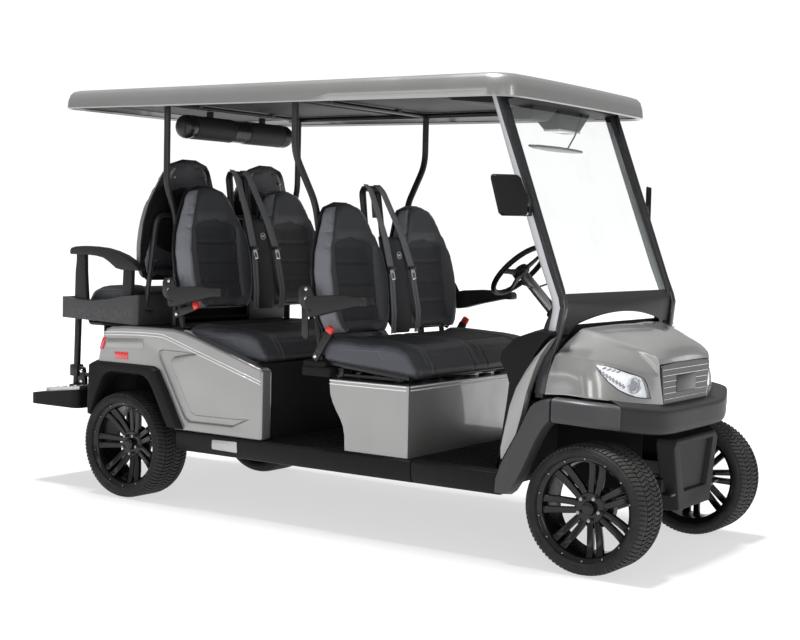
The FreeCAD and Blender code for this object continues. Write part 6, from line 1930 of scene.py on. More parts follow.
# %% [markdown]
# Sewn lines run from back to front over each seat and down its nose. The line's place is found on the
# stuffed pad by looking outwards from the middle of its side profile, so the thread lies on the leather.

# %% Cushion seams and piping


def girdle(obj, y, middle, first, last, lift=0.0006, steps=40):
    """Points on a pad's skin along one side profile, from the first to the last angle in degrees."""
    tree = BVHTree.FromObject(obj, bpy.context.evaluated_depsgraph_get())
    centre = Vector((middle[0], y, middle[1]))
    line = []
    for step in range(steps + 1):
        angle = math.radians(first + (last - first) * step / steps)
        reach = Vector((math.cos(angle), 0, math.sin(angle)))
        spot = tree.ray_cast(centre, reach)[0]
        if spot:
            line.append(spot + reach * lift)
    return line


def seam_lines(half):
    """Where the sewn lines cross a bench: beside each outer bolster and each side of the middle."""
    return [side * half * share for side in (-1, 1) for share in (0.10, 0.70)]


def press_bench(obj, long, tall, half):
    for vertex in obj.data.vertices:
        x, y, z = vertex.co
        nearest = min(abs(y - line) for line in seam_lines(half))
        over = min(max((z + DIP * x / long - 0.02) / 0.03, 0.0), 1.0) * min(max((x - 0.03) / 0.03, 0.0), 1.0)
        push = 0.0065 * math.exp(-(nearest / 0.006) ** 2)
        inside = half * 0.10 < abs(y) < half * 0.70
        if inside and z > tall - 0.045 - DIP * 0.5 * x / long:
            push += 0.003 * min(nearest / 0.015, 1.0) + 0.005 * math.exp(-((x - long + 0.155) / 0.006) ** 2)
            push += 0.005 * math.exp(-((x - 0.075) / 0.006) ** 2)
        vertex.co -= vertex.normal * push * over
    modify(obj, "SUBSURF", levels=1, render_levels=1)
    for material in (LEATHER, SIDE_SHEEN_LEATHER, INSERT_LEATHER):
        obj.data.materials.append(material)
    # The sideways faces get the paler leather, a painted sheen; the seat tops get the insert leather.
    for face in obj.data.polygons:
        x, y, z = face.center
        if abs(y) > half - 0.030 and abs(face.normal.y) > 0.35:
            face.material_index = 1
        elif half * 0.11 < abs(y) < half * 0.69 and 0.075 < x < long - 0.155 and face.normal.z > 0.5:
            face.material_index = 2
    only(obj)
    bpy.ops.object.shade_smooth()
    return obj


def bench_threads(name, obj, long, tall, half):
    middle = (long * 0.5, tall * 0.45 - DIP * 0.4)
    threads = [bar(f"{name}_{index}", girdle(obj, y, middle, 150, -14), 0.0013, bend=0, sides=1)
               for index, y in enumerate(seam_lines(half))]
    for side in (-1, 1):
        edge = girdle(obj, side * (half - 0.018), middle, 172, -22)
        threads.append(bar(f"{name}_piping_{side}", edge, 0.0026, bend=0, sides=2))
    return join(name, threads)


press_bench(long_pad, LONG_PAD, LONG_TALL, LONG_HALF)
press_bench(short_pad, SHORT_PAD, SHORT_TALL, SHORT_HALF)
long_threads = bench_threads("long_threads", long_pad, LONG_PAD, LONG_TALL, LONG_HALF)
short_threads = bench_threads("short_threads", short_pad, SHORT_PAD, SHORT_TALL, SHORT_HALF)
print("threads", len(long_threads.data.polygons), "faces")

# %% [markdown]
# The first two cushions are screwed to a shallow black pan on feet, and the light shows between the feet.
# Cushion, piping and pan tip up together, so all of them ride on the cushion's own body. The last bench
# lies on a fixed pan, which is built with its sides.

# %% Three benches


def bench_pan(name, rear, front, low, high, half):
    """Pan between the box top and the cushion's sloping underside: a wedge of a tray on square feet."""
    rest = high - DIP
    tray = plate(f"{name}_tray", "Y", [(rear + 0.040, high - 0.020), (front - 0.060, rest - 0.012),
                                       (front - 0.060, rest + 0.010), (rear + 0.040, high + 0.004)],
                 0.034 - half, half - 0.034, 0.003)
    feet = []
    for index in range(8):
        y = (half - 0.075) * (2 * index / 7 - 1)
        for end, x in (("rear", rear + 0.110), ("front", front - 0.130)):
            feet.append(block(f"{name}_foot_{end}_{index}", (x - 0.018, y - 0.035, low + 0.001),
                              (x + 0.018, y + 0.035, high - 0.030), 0.003))
    for side in (-1, 1):
        y = side * (half - 0.052)
        feet.append(block(f"{name}_rail_{side}", (rear + 0.070, y - 0.008, low + 0.006),
                          (front - 0.100, y + 0.008, low + 0.022), 0.002))
    return join(name, [tray, *feet])


BENCHES = {
    "front": (long_pad, long_threads, (0.146, 0.794), LONG_PAD, LONG_HALF, 0.730, 1.0),
    "mid": (long_pad, long_threads, (-0.760, 0.800), LONG_PAD, LONG_HALF, 0.765, 0.975),
    "rear": (short_pad, short_threads, (-1.545, 1.004), SHORT_PAD, SHORT_HALF, 0.985, 1.0),
}
for row, (source, threads, (rear, low), long, half, carried_at, narrow) in BENCHES.items():
    spot = Matrix.Translation((rear, 0, low)) @ Matrix.Diagonal((1, narrow, 1, 1))
    if row == "rear":
        spot = Matrix.Translation((rear + long, 0, low)) @ Matrix.Diagonal((-1, narrow, 1, 1))
    pad_piece = copied(source, f"{row}_bench", spot)
    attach(pad_piece, f"{row}_cushion")
    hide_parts(f"{row}_cushion")
    dress(copied(threads, f"{row}_bench_piping", spot), PIPING, f"{row}_cushion", slot="black_leather")
    if row != "rear":
        pan = bench_pan(f"{row}_bench_pan", rear, rear + long, carried_at, low + 0.012, half * narrow)
        dress(pan, SMOOTH_PLASTIC, f"{row}_cushion", slot="black_plastic")
for source in (long_pad, short_pad, long_threads, short_threads):
    bpy.data.objects.remove(source)
print("three benches")

# %% [markdown]
# Between the two backs of the first rows hangs a narrow textured pad, and the belts run down over it from
# the hoop. A belt is flat webbing about 50 mm wide: a grid drawn along its path, thin, with doubled edges.

# %% Belts


def strap(name, path, wide, thick=0.0016, frame_matrix=Matrix()):
    """Flat webbing along a path of (across, up, out) in a back's frame, lying square to the back."""
    path = rounded(path, 0.03, 5)
    rows = []
    for index, place in enumerate(path):
        before, after = path[max(index - 1, 0)], path[min(index + 1, len(path) - 1)]
        run = (after - before).normalized()
        aside = run.cross(Vector((0, 0, 1)))
        if aside.length < 0.1:
            aside = Vector((1, 0, 0))
        aside.normalize()
        rows.append([place + aside * wide * share for share in (-0.5, -0.44, -0.40, 0.0, 0.40, 0.44, 0.5)])
    for row in rows:
        for column, lift in ((1, 0.0006), (2, 0.0), (4, 0.0), (5, 0.0006)):
            row[column] = row[column] + Vector((0, 0, lift))
    webbing = sheet_of(name, rows, wall=thick)
    webbing.data.transform(frame_matrix)
    return outward(webbing)


STRIP_MID, STRIP_HALF, STRIP_TOP = 0.020, 0.112, 0.477


def centre_strip(name, frame_matrix):
    """Narrow pad over the gap between two backs: rounded front, tapered foot."""
    rows = []
    for step in range(29):
        v = -0.020 + (STRIP_TOP + 0.020) * step / 28
        taper = min(1.0, 0.55 + (v + 0.02) / 0.16)
        cap = math.sqrt(max(0.02, 1 - max(0.0, (v - STRIP_TOP + 0.02) / 0.02) ** 2))
        half = STRIP_HALF * taper
        row = []
        for share in (-1, -0.96, -0.85, -0.5, 0, 0.5, 0.85, 0.96, 1):
            row.append(Vector((STRIP_MID + share * half, v, 0.074 + 0.036 * cap * (1 - abs(share) ** 5))))
        rows.append(row)
    piece = sheet_of(name, rows, wall=0.008, thick_side=-1)
    modify(piece, "SUBSURF", levels=1, render_levels=1)
    piece.data.transform(frame_matrix)
    return outward(piece)


def belt_plate(name, spot, tilt, frame_matrix):
    """Chromed tongue with its slot, in a back's frame."""
    ring = plate(name, "Z", [(-0.016, -0.026), (0.016, -0.026), (0.019, 0.008), (0.013, 0.030),
                             (-0.013, 0.030), (-0.019, 0.008)], 0, 0.003, 0.0012)
    hole = plate(f"{name}_hole", "Z", [(-0.007, -0.018), (0.007, -0.018), (0.007, 0.008), (-0.007, 0.008)],
                 -0.01, 0.02, 0)
    only(ring)
    cut = ring.modifiers.new("slot", "BOOLEAN")
    cut.operation, cut.object, cut.solver = "DIFFERENCE", hole, "EXACT"
    bpy.ops.object.modifier_apply(modifier=cut.name)
    bpy.data.objects.remove(hole)
    ring.data.transform(frame_matrix @ Matrix.Translation(spot) @ Matrix.Rotation(tilt, 4, "Z"))
    return bevel(ring, 0)


OVER_HOOP = 0.747
for row in ("front", "mid"):
    base_x, base_z, facing, _ = ROWS[row]
    row_frame = back_frame(base_x, base_z, facing, 0)
    dress(centre_strip(f"{row}_centre_strip", row_frame), INSERT_LEATHER, slot="black_leather")
    ring = spun(f"{row}_disc_ring", [(-0.0015, 0.0165), (-0.0015, 0.0185), (0.0015, 0.0185),
                                     (0.0015, 0.0165)], 40)
    dot = spun(f"{row}_disc_dot", [(-0.001, 0.0001), (-0.0015, 0.006), (0.0015, 0.006), (0.0015, 0.0001)], 24)
    disc = join(f"{row}_disc", [ring, dot])
    disc.data.transform(row_frame @ Matrix.Translation((STRIP_MID + 0.004, 0.375, 0.1112))
                        @ Matrix.Rotation(math.radians(90), 4, "X"))
    dress(outward(disc), SILVER_TRIM, slot="black_steel")
    straps, plates, slides = [], [], []
    for side, top_u, mid_u, low_u, foot_u in (("right", -0.047, -0.088, -0.068, -0.092),
                                              ("left", 0.047, 0.062, 0.118, 0.128)):
        over = OVER_HOOP
        upper = [(top_u, over - 0.16, -0.030), (top_u, over - 0.02, -0.024), (top_u, over + 0.006, 0.0),
                 (top_u * 1.1, over - 0.03, 0.030),
                 (mid_u, 0.480, 0.112), (low_u, 0.310, 0.1165)]
        lower = [(low_u - 0.010, 0.280, 0.118), (foot_u, 0.080, 0.1185), (foot_u * 0.95, -0.020, 0.098)]
        twin = [(u + 0.022, v, w + 0.0015) for u, v, w in lower]
        straps.append(strap(f"{row}_{side}_upper", upper, 0.052, frame_matrix=row_frame))
        straps.append(strap(f"{row}_{side}_lower", lower, 0.022, frame_matrix=row_frame))
        straps.append(strap(f"{row}_{side}_twin", twin, 0.020, frame_matrix=row_frame))
        plates.append(belt_plate(f"{row}_{side}_tongue", (low_u + 0.002, 0.275, 0.1205), math.radians(10),
                                 row_frame))
        slide = block(f"{row}_{side}_slide", (low_u - 0.030, 0.298, 0.114), (low_u + 0.030, 0.317, 0.126),
                      0.004)
        slide.data.transform(row_frame)
        slides.append(slide)
    dress(join(f"{row}_belts", straps), WEBBING, replaces=["seat_belts"] if row == "front" else (),
          slot="belt_webbing")
    dress(join(f"{row}_tongues", plates), CHROME, slot="black_steel")
    dress(join(f"{row}_slides", slides), SMOOTH_PLASTIC, slot="black_plastic")
print("belts on two rows")

# %% [markdown]
# A red buckle stands on a black stalk at each outer hip, bolted low on the seat frame with a bright bolt.
# The front row has a narrow steel tab beside it.

# %% Buckles, hinge plates and bolts


def bolt_heads(name, spots, radius=0.008, out=0.007):
    """Domed bolt heads along Y at (x, y, z) spots; they face away from the cart's middle."""
    heads = []
    for index, (x, y, z) in enumerate(spots):
        side = 1 if y > 0 else -1
        clear()
        bpy.ops.mesh.primitive_cylinder_add(vertices=12, radius=radius, depth=out,
                                            location=(x, y + side * out / 2, z),
                                            rotation=(math.radians(90), 0, 0))
        head = settle(bpy.context.object)
        head.name = f"{name}_{index}"
        heads.append(bevel(head, radius * 0.3, 3))
    return join(name, heads)


HIPS = {"front": ((0.143, 0.828), (0.225, 0.962)), "mid": ((-0.762, 0.985), (-0.632, 1.035))}
TAB = [(-0.080, 1.100), (-0.047, 1.100), (-0.033, 0.925), (-0.047, 0.908), (-0.065, 0.915), (-0.075, 0.930)]
for row, (hip, buckle) in HIPS.items():
    hip_place, buckle_place = Vector((hip[0], -0.602, hip[1])), Vector((buckle[0], -0.602, buckle[1]))
    run = (buckle_place - hip_place).normalized()
    side_run = run.cross(Vector((0, 1, 0)))
    length = (buckle_place - hip_place).length - 0.02

    def on_stalk(corners):
        """Corners given across and along the stalk, as points of its side view."""
        spots = [hip_place + side_run * across + run * along for across, along in corners]
        return [(spot.x, spot.z) for spot in spots]

    stalk = plate(f"{row}_stalk", "Y",
                  on_stalk([(-0.018, -0.02), (0.018, -0.02), (0.022, length), (-0.022, length)]),
                  -0.608, -0.590, 0.005, 3)
    button = plate(f"{row}_button", "Y",
                   on_stalk([(-0.020, length), (0.020, length), (0.017, length + 0.034),
                             (-0.017, length + 0.034)]),
                   -0.613, -0.592, 0.005, 3)
    steel = [stalk]
    if row == "front":
        steel.append(plate("front_tab", "Y", [(hip[0] + x, z) for x, z in TAB], -0.624, -0.618, 0.002))
    heads = bolt_heads(f"{row}_bolts", [(hip[0], -0.609, hip[1])], 0.0095, 0.006)
    dress(both_sides(join(f"{row}_hip_plates", steel), f"{row}_hip_plates"), POWDER_STEEL, slot="black_steel")
    dress(both_sides(button, f"{row}_buckles"), RED_PLASTIC, slot="red_lens")
    dress(both_sides(heads, f"{row}_hip_bolts"), CHROME, slot="black_steel")
print("hips ready")

# %% [markdown]
# An armrest is a deep moulded bar that tapers to a thicker squared tip. It hangs on a steel plate with two
# bright bolts, which turns with it about the pin on the seat frame. One is modelled and copied four times.

# %% Armrests

ARM_LINE = [
    (0.041, 0.030), (0.039, 0.066), (0.048, 0.076), (0.100, 0.087), (0.200, 0.094), (0.302, 0.093),
    (0.338, 0.088), (0.350, 0.091),
    (0.396, 0.088), (0.407, 0.080), (0.410, 0.056), (0.400, 0.049), (0.350, 0.049), (0.338, 0.046),
    (0.200, 0.016), (0.110, -0.008),
    (0.062, -0.015), (0.048, -0.008),
]
ARM_PLATE = [(-0.026, 0.050), (-0.028, 0.108), (-0.012, 0.130), (0.030, 0.134), (0.046, 0.120),
             (0.080, 0.060), (0.070, 0.016), (0.034, 0.010), (-0.010, 0.030)]
ARM_SPOTS = {"front": (0.088, 1.034, (0.0776, 1.135)), "mid": (-0.805, 1.040, (-0.8134, 1.108))}
arm = plate("arm", "Y", ARM_LINE, -0.028, 0.028, 0.010, 4)
for vertex in arm.data.vertices:
    if vertex.co.x > 0.342:
        vertex.co.y *= 1.10
arm_plate = plate("arm_plate", "Y", ARM_PLATE, 0.012, 0.018, 0.002)
arm_bolts = bolt_heads("arm_bolts", [(0.021, -0.008, 0.115), (0.020, -0.008, 0.070)], 0.0095, 0.006)
arm_bolts.data.transform(Matrix.Translation((0, 0.0195, 0)))
arm_plug = bolt_heads("arm_plug", [(0.068, -0.0275, 0.012)], 0.009, 0.004)
for row, (x, z, pin) in ARM_SPOTS.items():
    boss = rod(f"{row}_boss", (pin[0] - x, 0.016, pin[1] - z), (pin[0] - x, 0.033, pin[1] - z), 0.015, 24,
               0.002)
    steel = join(f"{row}_arm_steel", [copied(arm_plate, "plate_copy"), boss])
    for side, sign in SIDES.items():
        spot = Matrix.Translation((x, sign * 0.655, z))
        if sign == LEFT:
            spot = spot @ MIRROR
        name = f"{row}_armrest_{side}"
        dress(copied(arm, f"{name}_bar", spot), PAINTED_LIT_PLASTIC, name, [name], "black_plastic")
        dress(copied(arm_plug, f"{name}_plug", spot), SMOOTH_PLASTIC, name, slot="black_plastic")
        dress(copied(steel, f"{name}_plate", spot), POWDER_STEEL, name, slot="black_steel")
        dress(copied(arm_bolts, f"{name}_bolts", spot), CHROME, name, slot="black_steel")
    bpy.data.objects.remove(steel)
for source in (arm, arm_plug, arm_plate, arm_bolts):
    bpy.data.objects.remove(source)
print("four armrests")

# %% [markdown]
# ## Frames behind the backs
# Bent steel tube carries each pair of backs: a wide loop hidden behind the pads. The first two rows also
# have a narrow hoop, which the belts run over, and the front loop stands on a dark ledge.

# %% Seat frames

FRAME_FEET = {"front": (0.775, 0.341), "mid": (0.910, 0.233), "rear": (0.985, None)}
TUBE_OUT = -0.0145


def on_back(row, u, level):
    """A place on the tubes behind a row of backs: u across, level up the lean."""
    base_x, base_z, facing, _ = ROWS[row]
    return back_frame(base_x, base_z, facing, 0, rise=0) @ Vector((u, level, TUBE_OUT))


def seat_frame(row, foot_z, arm_level):
    foot = (foot_z - ROWS[row][1]) / math.cos(BACK_LEAN)
    pieces = [
        bar(f"{row}_loop",
            [on_back(row, *spot)
             for spot in ((-0.540, foot), (-0.540, 0.480), (0.540, 0.480), (0.540, foot))],
            0.014, 0.06),
        rod(f"{row}_cross", on_back(row, -0.540, 0.192), on_back(row, 0.540, 0.192), 0.010),
    ]
    for side in (RIGHT, LEFT):
        base = on_back(row, side * 0.540, foot)
        pieces.append(block(f"{row}_shoe_{side}", base - Vector((0.030, 0.030, 0.002)),
                            base + Vector((0.030, 0.030, 0.006)), 0.002))
        if arm_level:
            if side == RIGHT:
                hoop = ((-0.070, 0.192), (-0.070, 0.860), (0.070, 0.860), (0.070, 0.192))
                pieces.append(bar(f"{row}_hoop", [on_back(row, *spot) for spot in hoop], 0.016, 0.045))
            pieces.append(rod(f"{row}_stub_{side}", on_back(row, side * 0.540, arm_level),
                              on_back(row, side * 0.6215, arm_level), 0.011))
    return join(f"{row}_seat_frame_tubes", pieces)


for row, (foot_z, arm_level) in FRAME_FEET.items():
    stands_for = {"front": ["front_seat_frame"], "mid": ["rear_seat_frames"], "rear": []}[row]
    dress(seat_frame(row, foot_z, arm_level), POWDER_STEEL, replaces=stands_for, slot="black_steel")
ledge = block("front_ledge", (0.050, -0.598, 0.730), (0.222, 0.598, 0.778), 0.010, 3)
step_up = block("front_ledge_step", (0.050, -0.590, 0.765), (0.185, 0.590, 0.806), 0.012, 3)
dress(join("front_ledge", [ledge, step_up]), LINER_PLASTIC, slot="black_plastic")
print("seat frames")

# %% [markdown]
# ## The last bench's sides
# A moulded wall wraps each end of the last bench: it turns in at the back and runs across at the front.
# Its upper edge dips in the middle. An arm stands on two moulded posts inside the wall.

# %% Rear side walls and arms


def turned(points, bend, steps=6):
    """A flat path with its corners rounded, as (across, along) pairs."""
    return [(p.x, p.y) for p in rounded([(a, b, 0) for a, b in points], bend, steps)]


def walled(path, wall):
    """Outline of a wall that follows an open path, thickened to the path's left."""
    path = [Vector(p) for p in path]
    inner = []
    for index, place in enumerate(path):
        before, after = path[max(index - 1, 0)], path[min(index + 1, len(path) - 1)]
        run = (after - before).normalized()
        inner.append(place + Vector((-run.y, run.x)) * wall)
    return [tuple(p) for p in path] + [tuple(p) for p in reversed(inner)]


WALL_PATH = [(-1.612, -0.470), (-1.612, -0.622), (-1.540, -0.622), (-1.480, -0.622), (-1.400, -0.622),
             (-1.320, -0.622), (-1.240, -0.622),
             (-1.160, -0.622), (-1.100, -0.622), (-1.035, -0.622), (-1.035, -0.280)]
WALL_TOP = [(-1.62, 1.040), (-1.56, 1.040), (-1.50, 1.029), (-1.37, 1.026), (-1.26, 1.037), (-1.15, 1.058),
            (-1.03, 1.071)]
WALL_LOW = [(-1.62, 0.928), (-1.03, 0.912)]


def along_line(line, x):
    """Height of a measured line at one place along the cart."""
    for (x0, z0), (x1, z1) in zip(line, line[1:]):
        if x <= x1:
            return z0 + (z1 - z0) * min(max((x - x0) / (x1 - x0), 0), 1)
    return line[-1][1]


wall = plate("rear_wall", "Z", walled(turned(WALL_PATH, 0.030), 0.022), 0.0, 1.0, width=0)
for vertex in wall.data.vertices:
    line = WALL_TOP if vertex.co.z > 0.5 else WALL_LOW
    vertex.co.z = along_line(line, vertex.co.x)
bevel(wall, 0.005, 3, 40)
dress(both_sides(wall, "rear_side_wall"), PAINTED_BRIGHT_PLASTIC, replaces=["rear_side_arms"], slot="black_plastic")

ARM_REST = [
    (-1.548, 1.271), (-1.552, 1.292), (-1.540, 1.306), (-1.510, 1.314), (-1.450, 1.318), (-1.380, 1.317),
    (-1.294, 1.311), (-1.220, 1.297),
    (-1.149, 1.276), (-1.090, 1.248), (-1.045, 1.218), (-1.033, 1.205), (-1.040, 1.197), (-1.112, 1.197),
    (-1.160, 1.198), (-1.202, 1.206),
    (-1.250, 1.236), (-1.294, 1.257), (-1.350, 1.267), (-1.423, 1.271),
]
rest = plate("rear_arm_rest", "Y", ARM_REST, -0.560, -0.616, 0.012, 4)
rear_post = plate("rear_arm_post", "Y", [(-1.530, 0.960), (-1.527, 1.080), (-1.524, 1.180), (-1.516, 1.240),
                                         (-1.516, 1.285), (-1.452, 1.285), (-1.450, 1.180), (-1.440, 1.060),
                                         (-1.428, 0.960)],
                  -0.568, -0.602, 0.009, 4)
front_post = plate("front_arm_post", "Y", [(-1.168, 0.960), (-1.166, 1.100), (-1.160, 1.215),
                                           (-1.098, 1.215), (-1.100, 1.100), (-1.102, 0.960)],
                   -0.568, -0.602, 0.009, 4)
dress(both_sides(join("rear_arms_skin", [rest, rear_post, front_post]), "rear_arms_skin"), PAINTED_LIT_PLASTIC,
      slot="black_plastic")

pan = block("rear_bench_pan", (-1.560, -0.572, 0.925), (-1.080, 0.572, 0.984), 0.008, 3)
floor_plate = block("rear_bench_floor", (-1.585, -0.598, 0.925), (-1.040, 0.598, 0.940), 0.003)
dress(join("rear_bench_pan", [pan, floor_plate]), LINER_PLASTIC, slot="black_plastic")
runners = []
for side in (RIGHT, LEFT):
    runners.append(bar(f"runner_{side}", [(-1.555, side * 0.455, 0.926), (-1.555, side * 0.455, 0.893),
                                          (-1.060, side * 0.455, 0.896)], 0.012, 0.02))
    runners.append(block(f"runner_foot_{side}", (-1.300, side * 0.455 - 0.025, 0.880),
                         (-1.240, side * 0.455 + 0.025, 0.928), 0.004))
dress(join("rear_bench_runners", runners), POWDER_STEEL, slot="black_steel")
print("rear sides")

# %% [markdown]
# ## Rear footboard
# The step is a shallow black tray with rounded corners, deeper towards the cart. A sheet of treadplate
# stands a little above its rim, with one modelled lozenge copied over it in a crossed pattern.

# %% Footboard

BOARD_REAR, BOARD_FRONT, BOARD_HALF = -1.885, -1.500, 0.600
BOARD_TILT = math.radians(-6.5)


def board_top(x):
    """Height of the tray's rim: it rises towards the cart."""
    return 0.490 + 0.044 * (x - BOARD_REAR) / (BOARD_FRONT - BOARD_REAR)


board_path = turned([(BOARD_REAR, 0), (BOARD_REAR, -BOARD_HALF), (BOARD_FRONT, -BOARD_HALF),
                     (BOARD_FRONT, 0)], 0.055, 9)
board_path += [(x, -y) for x, y in reversed(board_path)][1:-1]
tray_board = plate("footboard_tray", "Z", board_path, 0.430, 0.500, width=0)
for vertex in tray_board.data.vertices:
    if vertex.co.z > 0.46:
        vertex.co.z = board_top(vertex.co.x)
only(tray_board)
bpy.ops.object.mode_set(mode="EDIT")
mesh = bmesh.from_edit_mesh(tray_board.data)
for face in mesh.faces:
    face.select_set(face.normal.z > 0.9)
bmesh.update_edit_mesh(tray_board.data)
bpy.ops.mesh.inset(thickness=0.016)
bpy.ops.mesh.extrude_region_move(TRANSFORM_OT_translate={"value": (0, 0, -0.014)})
bpy.ops.object.mode_set(mode="OBJECT")
bevel(outward(tray_board), 0.006, 3, 40)
dress(tray_board, BLACK_PLASTIC, replaces=["rear_footboard"], slot="black_plastic")

SHEET = [(-1.815, -0.540), (-1.525, -0.560), (-1.525, 0.560), (-1.815, 0.540)]
sheet = plate("footboard_sheet", "Z", SHEET, 0.0, 1.0, width=0)
for vertex in sheet.data.vertices:
    vertex.co.z = board_top(vertex.co.x) + (0.020 if vertex.co.z > 0.5 else -0.016)
bevel(sheet, 0.0025, 2, 40)
lozenge = plate("lozenge", "Z", [(-0.011, 0), (-0.004, -0.0030), (0.004, -0.0030), (0.011, 0),
                                 (0.004, 0.0030), (-0.004, 0.0030)],
                0.0, 0.0022, width=0, taper=lambda u, v: (u * 0.75, v * 0.5))
bars = []
for row_index in range(10):
    for column in range(42):
        x, y = -1.798 + row_index * 0.0285, -0.525 + column * 0.0256
        angle = math.radians(45 if (row_index + column) % 2 else -45)
        spot = (Matrix.Translation((x, y, board_top(x) + 0.0198)) @ Matrix.Rotation(BOARD_TILT, 4, "Y")
                @ Matrix.Rotation(angle, 4, "Z"))
        bars.append(copied(lozenge, f"tread_bar_{row_index}_{column}", spot))
bpy.data.objects.remove(lozenge)
dress(join("footboard_treadplate", [sheet, *bars]), TREAD_PLATE, slot="black_steel")

posts, bright = [], []
for side in (RIGHT, LEFT):
    y = side * 0.455
    posts.append(rod(f"board_post_{side}", (-1.664, y, 0.505), (-1.650, y, 0.930), 0.019))
    posts.append(block(f"post_clamp_{side}", (-1.692, y - 0.026, 0.590), (-1.632, y + 0.026, 0.655), 0.006))
    posts.append(block(f"post_heel_{side}", (-1.686, y - 0.034, 0.515), (-1.622, y + 0.034, 0.545), 0.004))
    posts.append(plate(f"post_gusset_{side}", "Y",
                       [(-1.640, 0.535), (-1.585, 0.535), (-1.585, 0.575), (-1.600, 0.640),
                        (-1.640, 0.650)], y - 0.012, y + 0.012, 0.003))
    posts.append(bar(f"board_brace_{side}", [(-1.600, y, 0.600), (-1.480, side * 0.400, 0.600),
                                             (-1.310, side * 0.380, 0.600)], 0.012, 0.05))
    bright += [rod(f"clamp_bolt_{side}_{index}", (-1.606, y - side * 0.012, z),
                   (-1.606, y + side * 0.021, z), 0.010, 12) for index, z in enumerate((0.565, 0.622))]
posts.append(bar("grab_bar", [(-1.650, -0.455, 0.915), (-1.660, -0.455, 0.945), (-1.660, 0.455, 0.945),
                              (-1.650, 0.455, 0.915)], 0.014, 0.02))
dress(join("footboard_posts", posts), POWDER_STEEL, slot="black_steel")
dress(join("footboard_bolts", bright), CHROME, slot="black_steel")
print("footboard", len(bars), "bars")

# %% [markdown]
# ## Under the roof
# A sound bar hangs from the middle cross tube: a capsule with two perforated fronts and plain ends. Near the
# windscreen hang a dark pod with a pale lens and a thin cabin mirror on a bent wire.

# %% Sound bar and overhead pod

SPEAKER_CLOTH = finish(
    "speaker_cloth", leather_look((0.006, 0.006, 0.007), (0.018, 0.018, 0.020), 0.55, weave=True),
    Specular_IOR_Level=0.3,
)
END_ROUND = [(0.438, 0.0001), (0.438, 0.026), (0.432, 0.046), (0.420, 0.057), (0.404, 0.0625),
             (0.388, 0.0630)]
capsule = spun(
    "sound_bar_body", [(y, r) for y, r in END_ROUND] + [(0.380, 0.0600), (-0.380, 0.0600)]
    + [(-y, r) for y, r in reversed(END_ROUND)], 56, -0.910, 1.958,
)
dress(capsule, SMOOTH_PLASTIC, replaces=["sound_bar"], slot="black_plastic")
sleeve = spun("sound_bar_grille", [(0.070, 0.0570), (0.072, 0.0625), (0.346, 0.0625), (0.349, 0.0570)], 56,
              -0.910, 1.958)
dress(both_sides(sleeve, "sound_bar_grille"), SPEAKER_CLOTH, slot="black_plastic")
rings = [spun(f"sound_ring_{index}", [(y - 0.004, 0.0595), (y - 0.003, 0.0632), (y + 0.003, 0.0632),
                                      (y + 0.004, 0.0595)], 56, -0.910, 1.958)
         for index, y in enumerate((-0.066, 0.066, -0.353, 0.353))]
dress(join("sound_bar_rings", rings), PAINTED_LIT_PLASTIC, slot="black_plastic")
hangers = [block(f"sound_hanger_{side}", (-0.924, side * 0.215 - 0.014, 1.985),
                 (-0.896, side * 0.215 + 0.014, 2.050), 0.003) for side in (RIGHT, LEFT)]
dress(join("sound_bar_hangers", hangers), POWDER_STEEL, slot="black_steel")

pod = plate("overhead_pod_shell", "Z", [(0.948, 0.110), (1.030, 0.110), (1.030, 0.330), (0.948, 0.330)],
            1.934, 2.044, 0.010, 3,
            taper=[(0.884, 0.022), (1.077, 0.022), (1.077, 0.379), (0.884, 0.379)])
bulge = plate("overhead_bulge", "Z", [(0.950, -0.190), (1.050, -0.190), (1.050, -0.020), (0.950, -0.020)],
              1.962, 2.040, 0.014, 4,
              taper=[(0.900, -0.250), (1.090, -0.250), (1.090, 0.030), (0.900, 0.030)])
dress(join("overhead_pod_shell", [pod, bulge]), UNDER_BLACK, replaces=["overhead_pod"], slot="black_plastic")
lens_cover = plate("pod_lens", "Z", [(0.948, 0.110), (1.036, 0.110), (1.036, 0.325), (0.948, 0.325)], 1.928,
                   1.940, 0.004, 3)
dress(lens_cover, GREY_LENS, slot="clear_lens")
print("under the roof")

# %% [markdown]
# ## Mirrors
# Both outside mirrors turn in towards the driver by the same angle. From this side one shows its whole back
# and the other is seen edge on. Each has a thick shell, a glass set in its rear and a two-armed bracket.

# %% Mirrors

MIRROR_LINE = [(-0.082, 1.684), (0.040, 1.686), (0.056, 1.674), (0.094, 1.592), (0.096, 1.522),
               (0.088, 1.507), (-0.028, 1.506), (-0.046, 1.518), (-0.090, 1.660), (-0.091, 1.675)]
mirror_spot = Matrix.Translation((1.238, -0.694, 0)) @ Matrix.Rotation(math.radians(-25), 4, "Z")
shell = plate("mirror_shell", "X", MIRROR_LINE, -0.012, 0.014, 0.009, 4, taper=drawn_in(MIRROR_LINE, 0.006))
glass = plate("mirror_face", "X", drawn_in(MIRROR_LINE, 0.008), -0.0135, -0.008, 0.001)
for piece, material, name in ((shell, BLACK_PLASTIC, "mirror_shells"), (glass, MIRROR_GLASS, "mirror_faces")):
    piece.data.transform(mirror_spot)
    dress(both_sides(piece, name), material, replaces=["mirrors"] if name == "mirror_shells" else (),
          slot="black_plastic" if name == "mirror_shells" else "clear_glass")
bracket = [
    block("mirror_arm", (1.240, -0.612, 1.548), (1.284, -0.560, 1.588), 0.005),
    block("mirror_arm_up", (1.246, -0.606, 1.575), (1.276, -0.566, 1.602), 0.004),
    block("mirror_arm_low", (1.252, -0.596, 1.508), (1.284, -0.566, 1.552), 0.004),
]
dress(both_sides(join("mirror_brackets", bracket), "mirror_brackets"), SMOOTH_PLASTIC, slot="black_plastic")
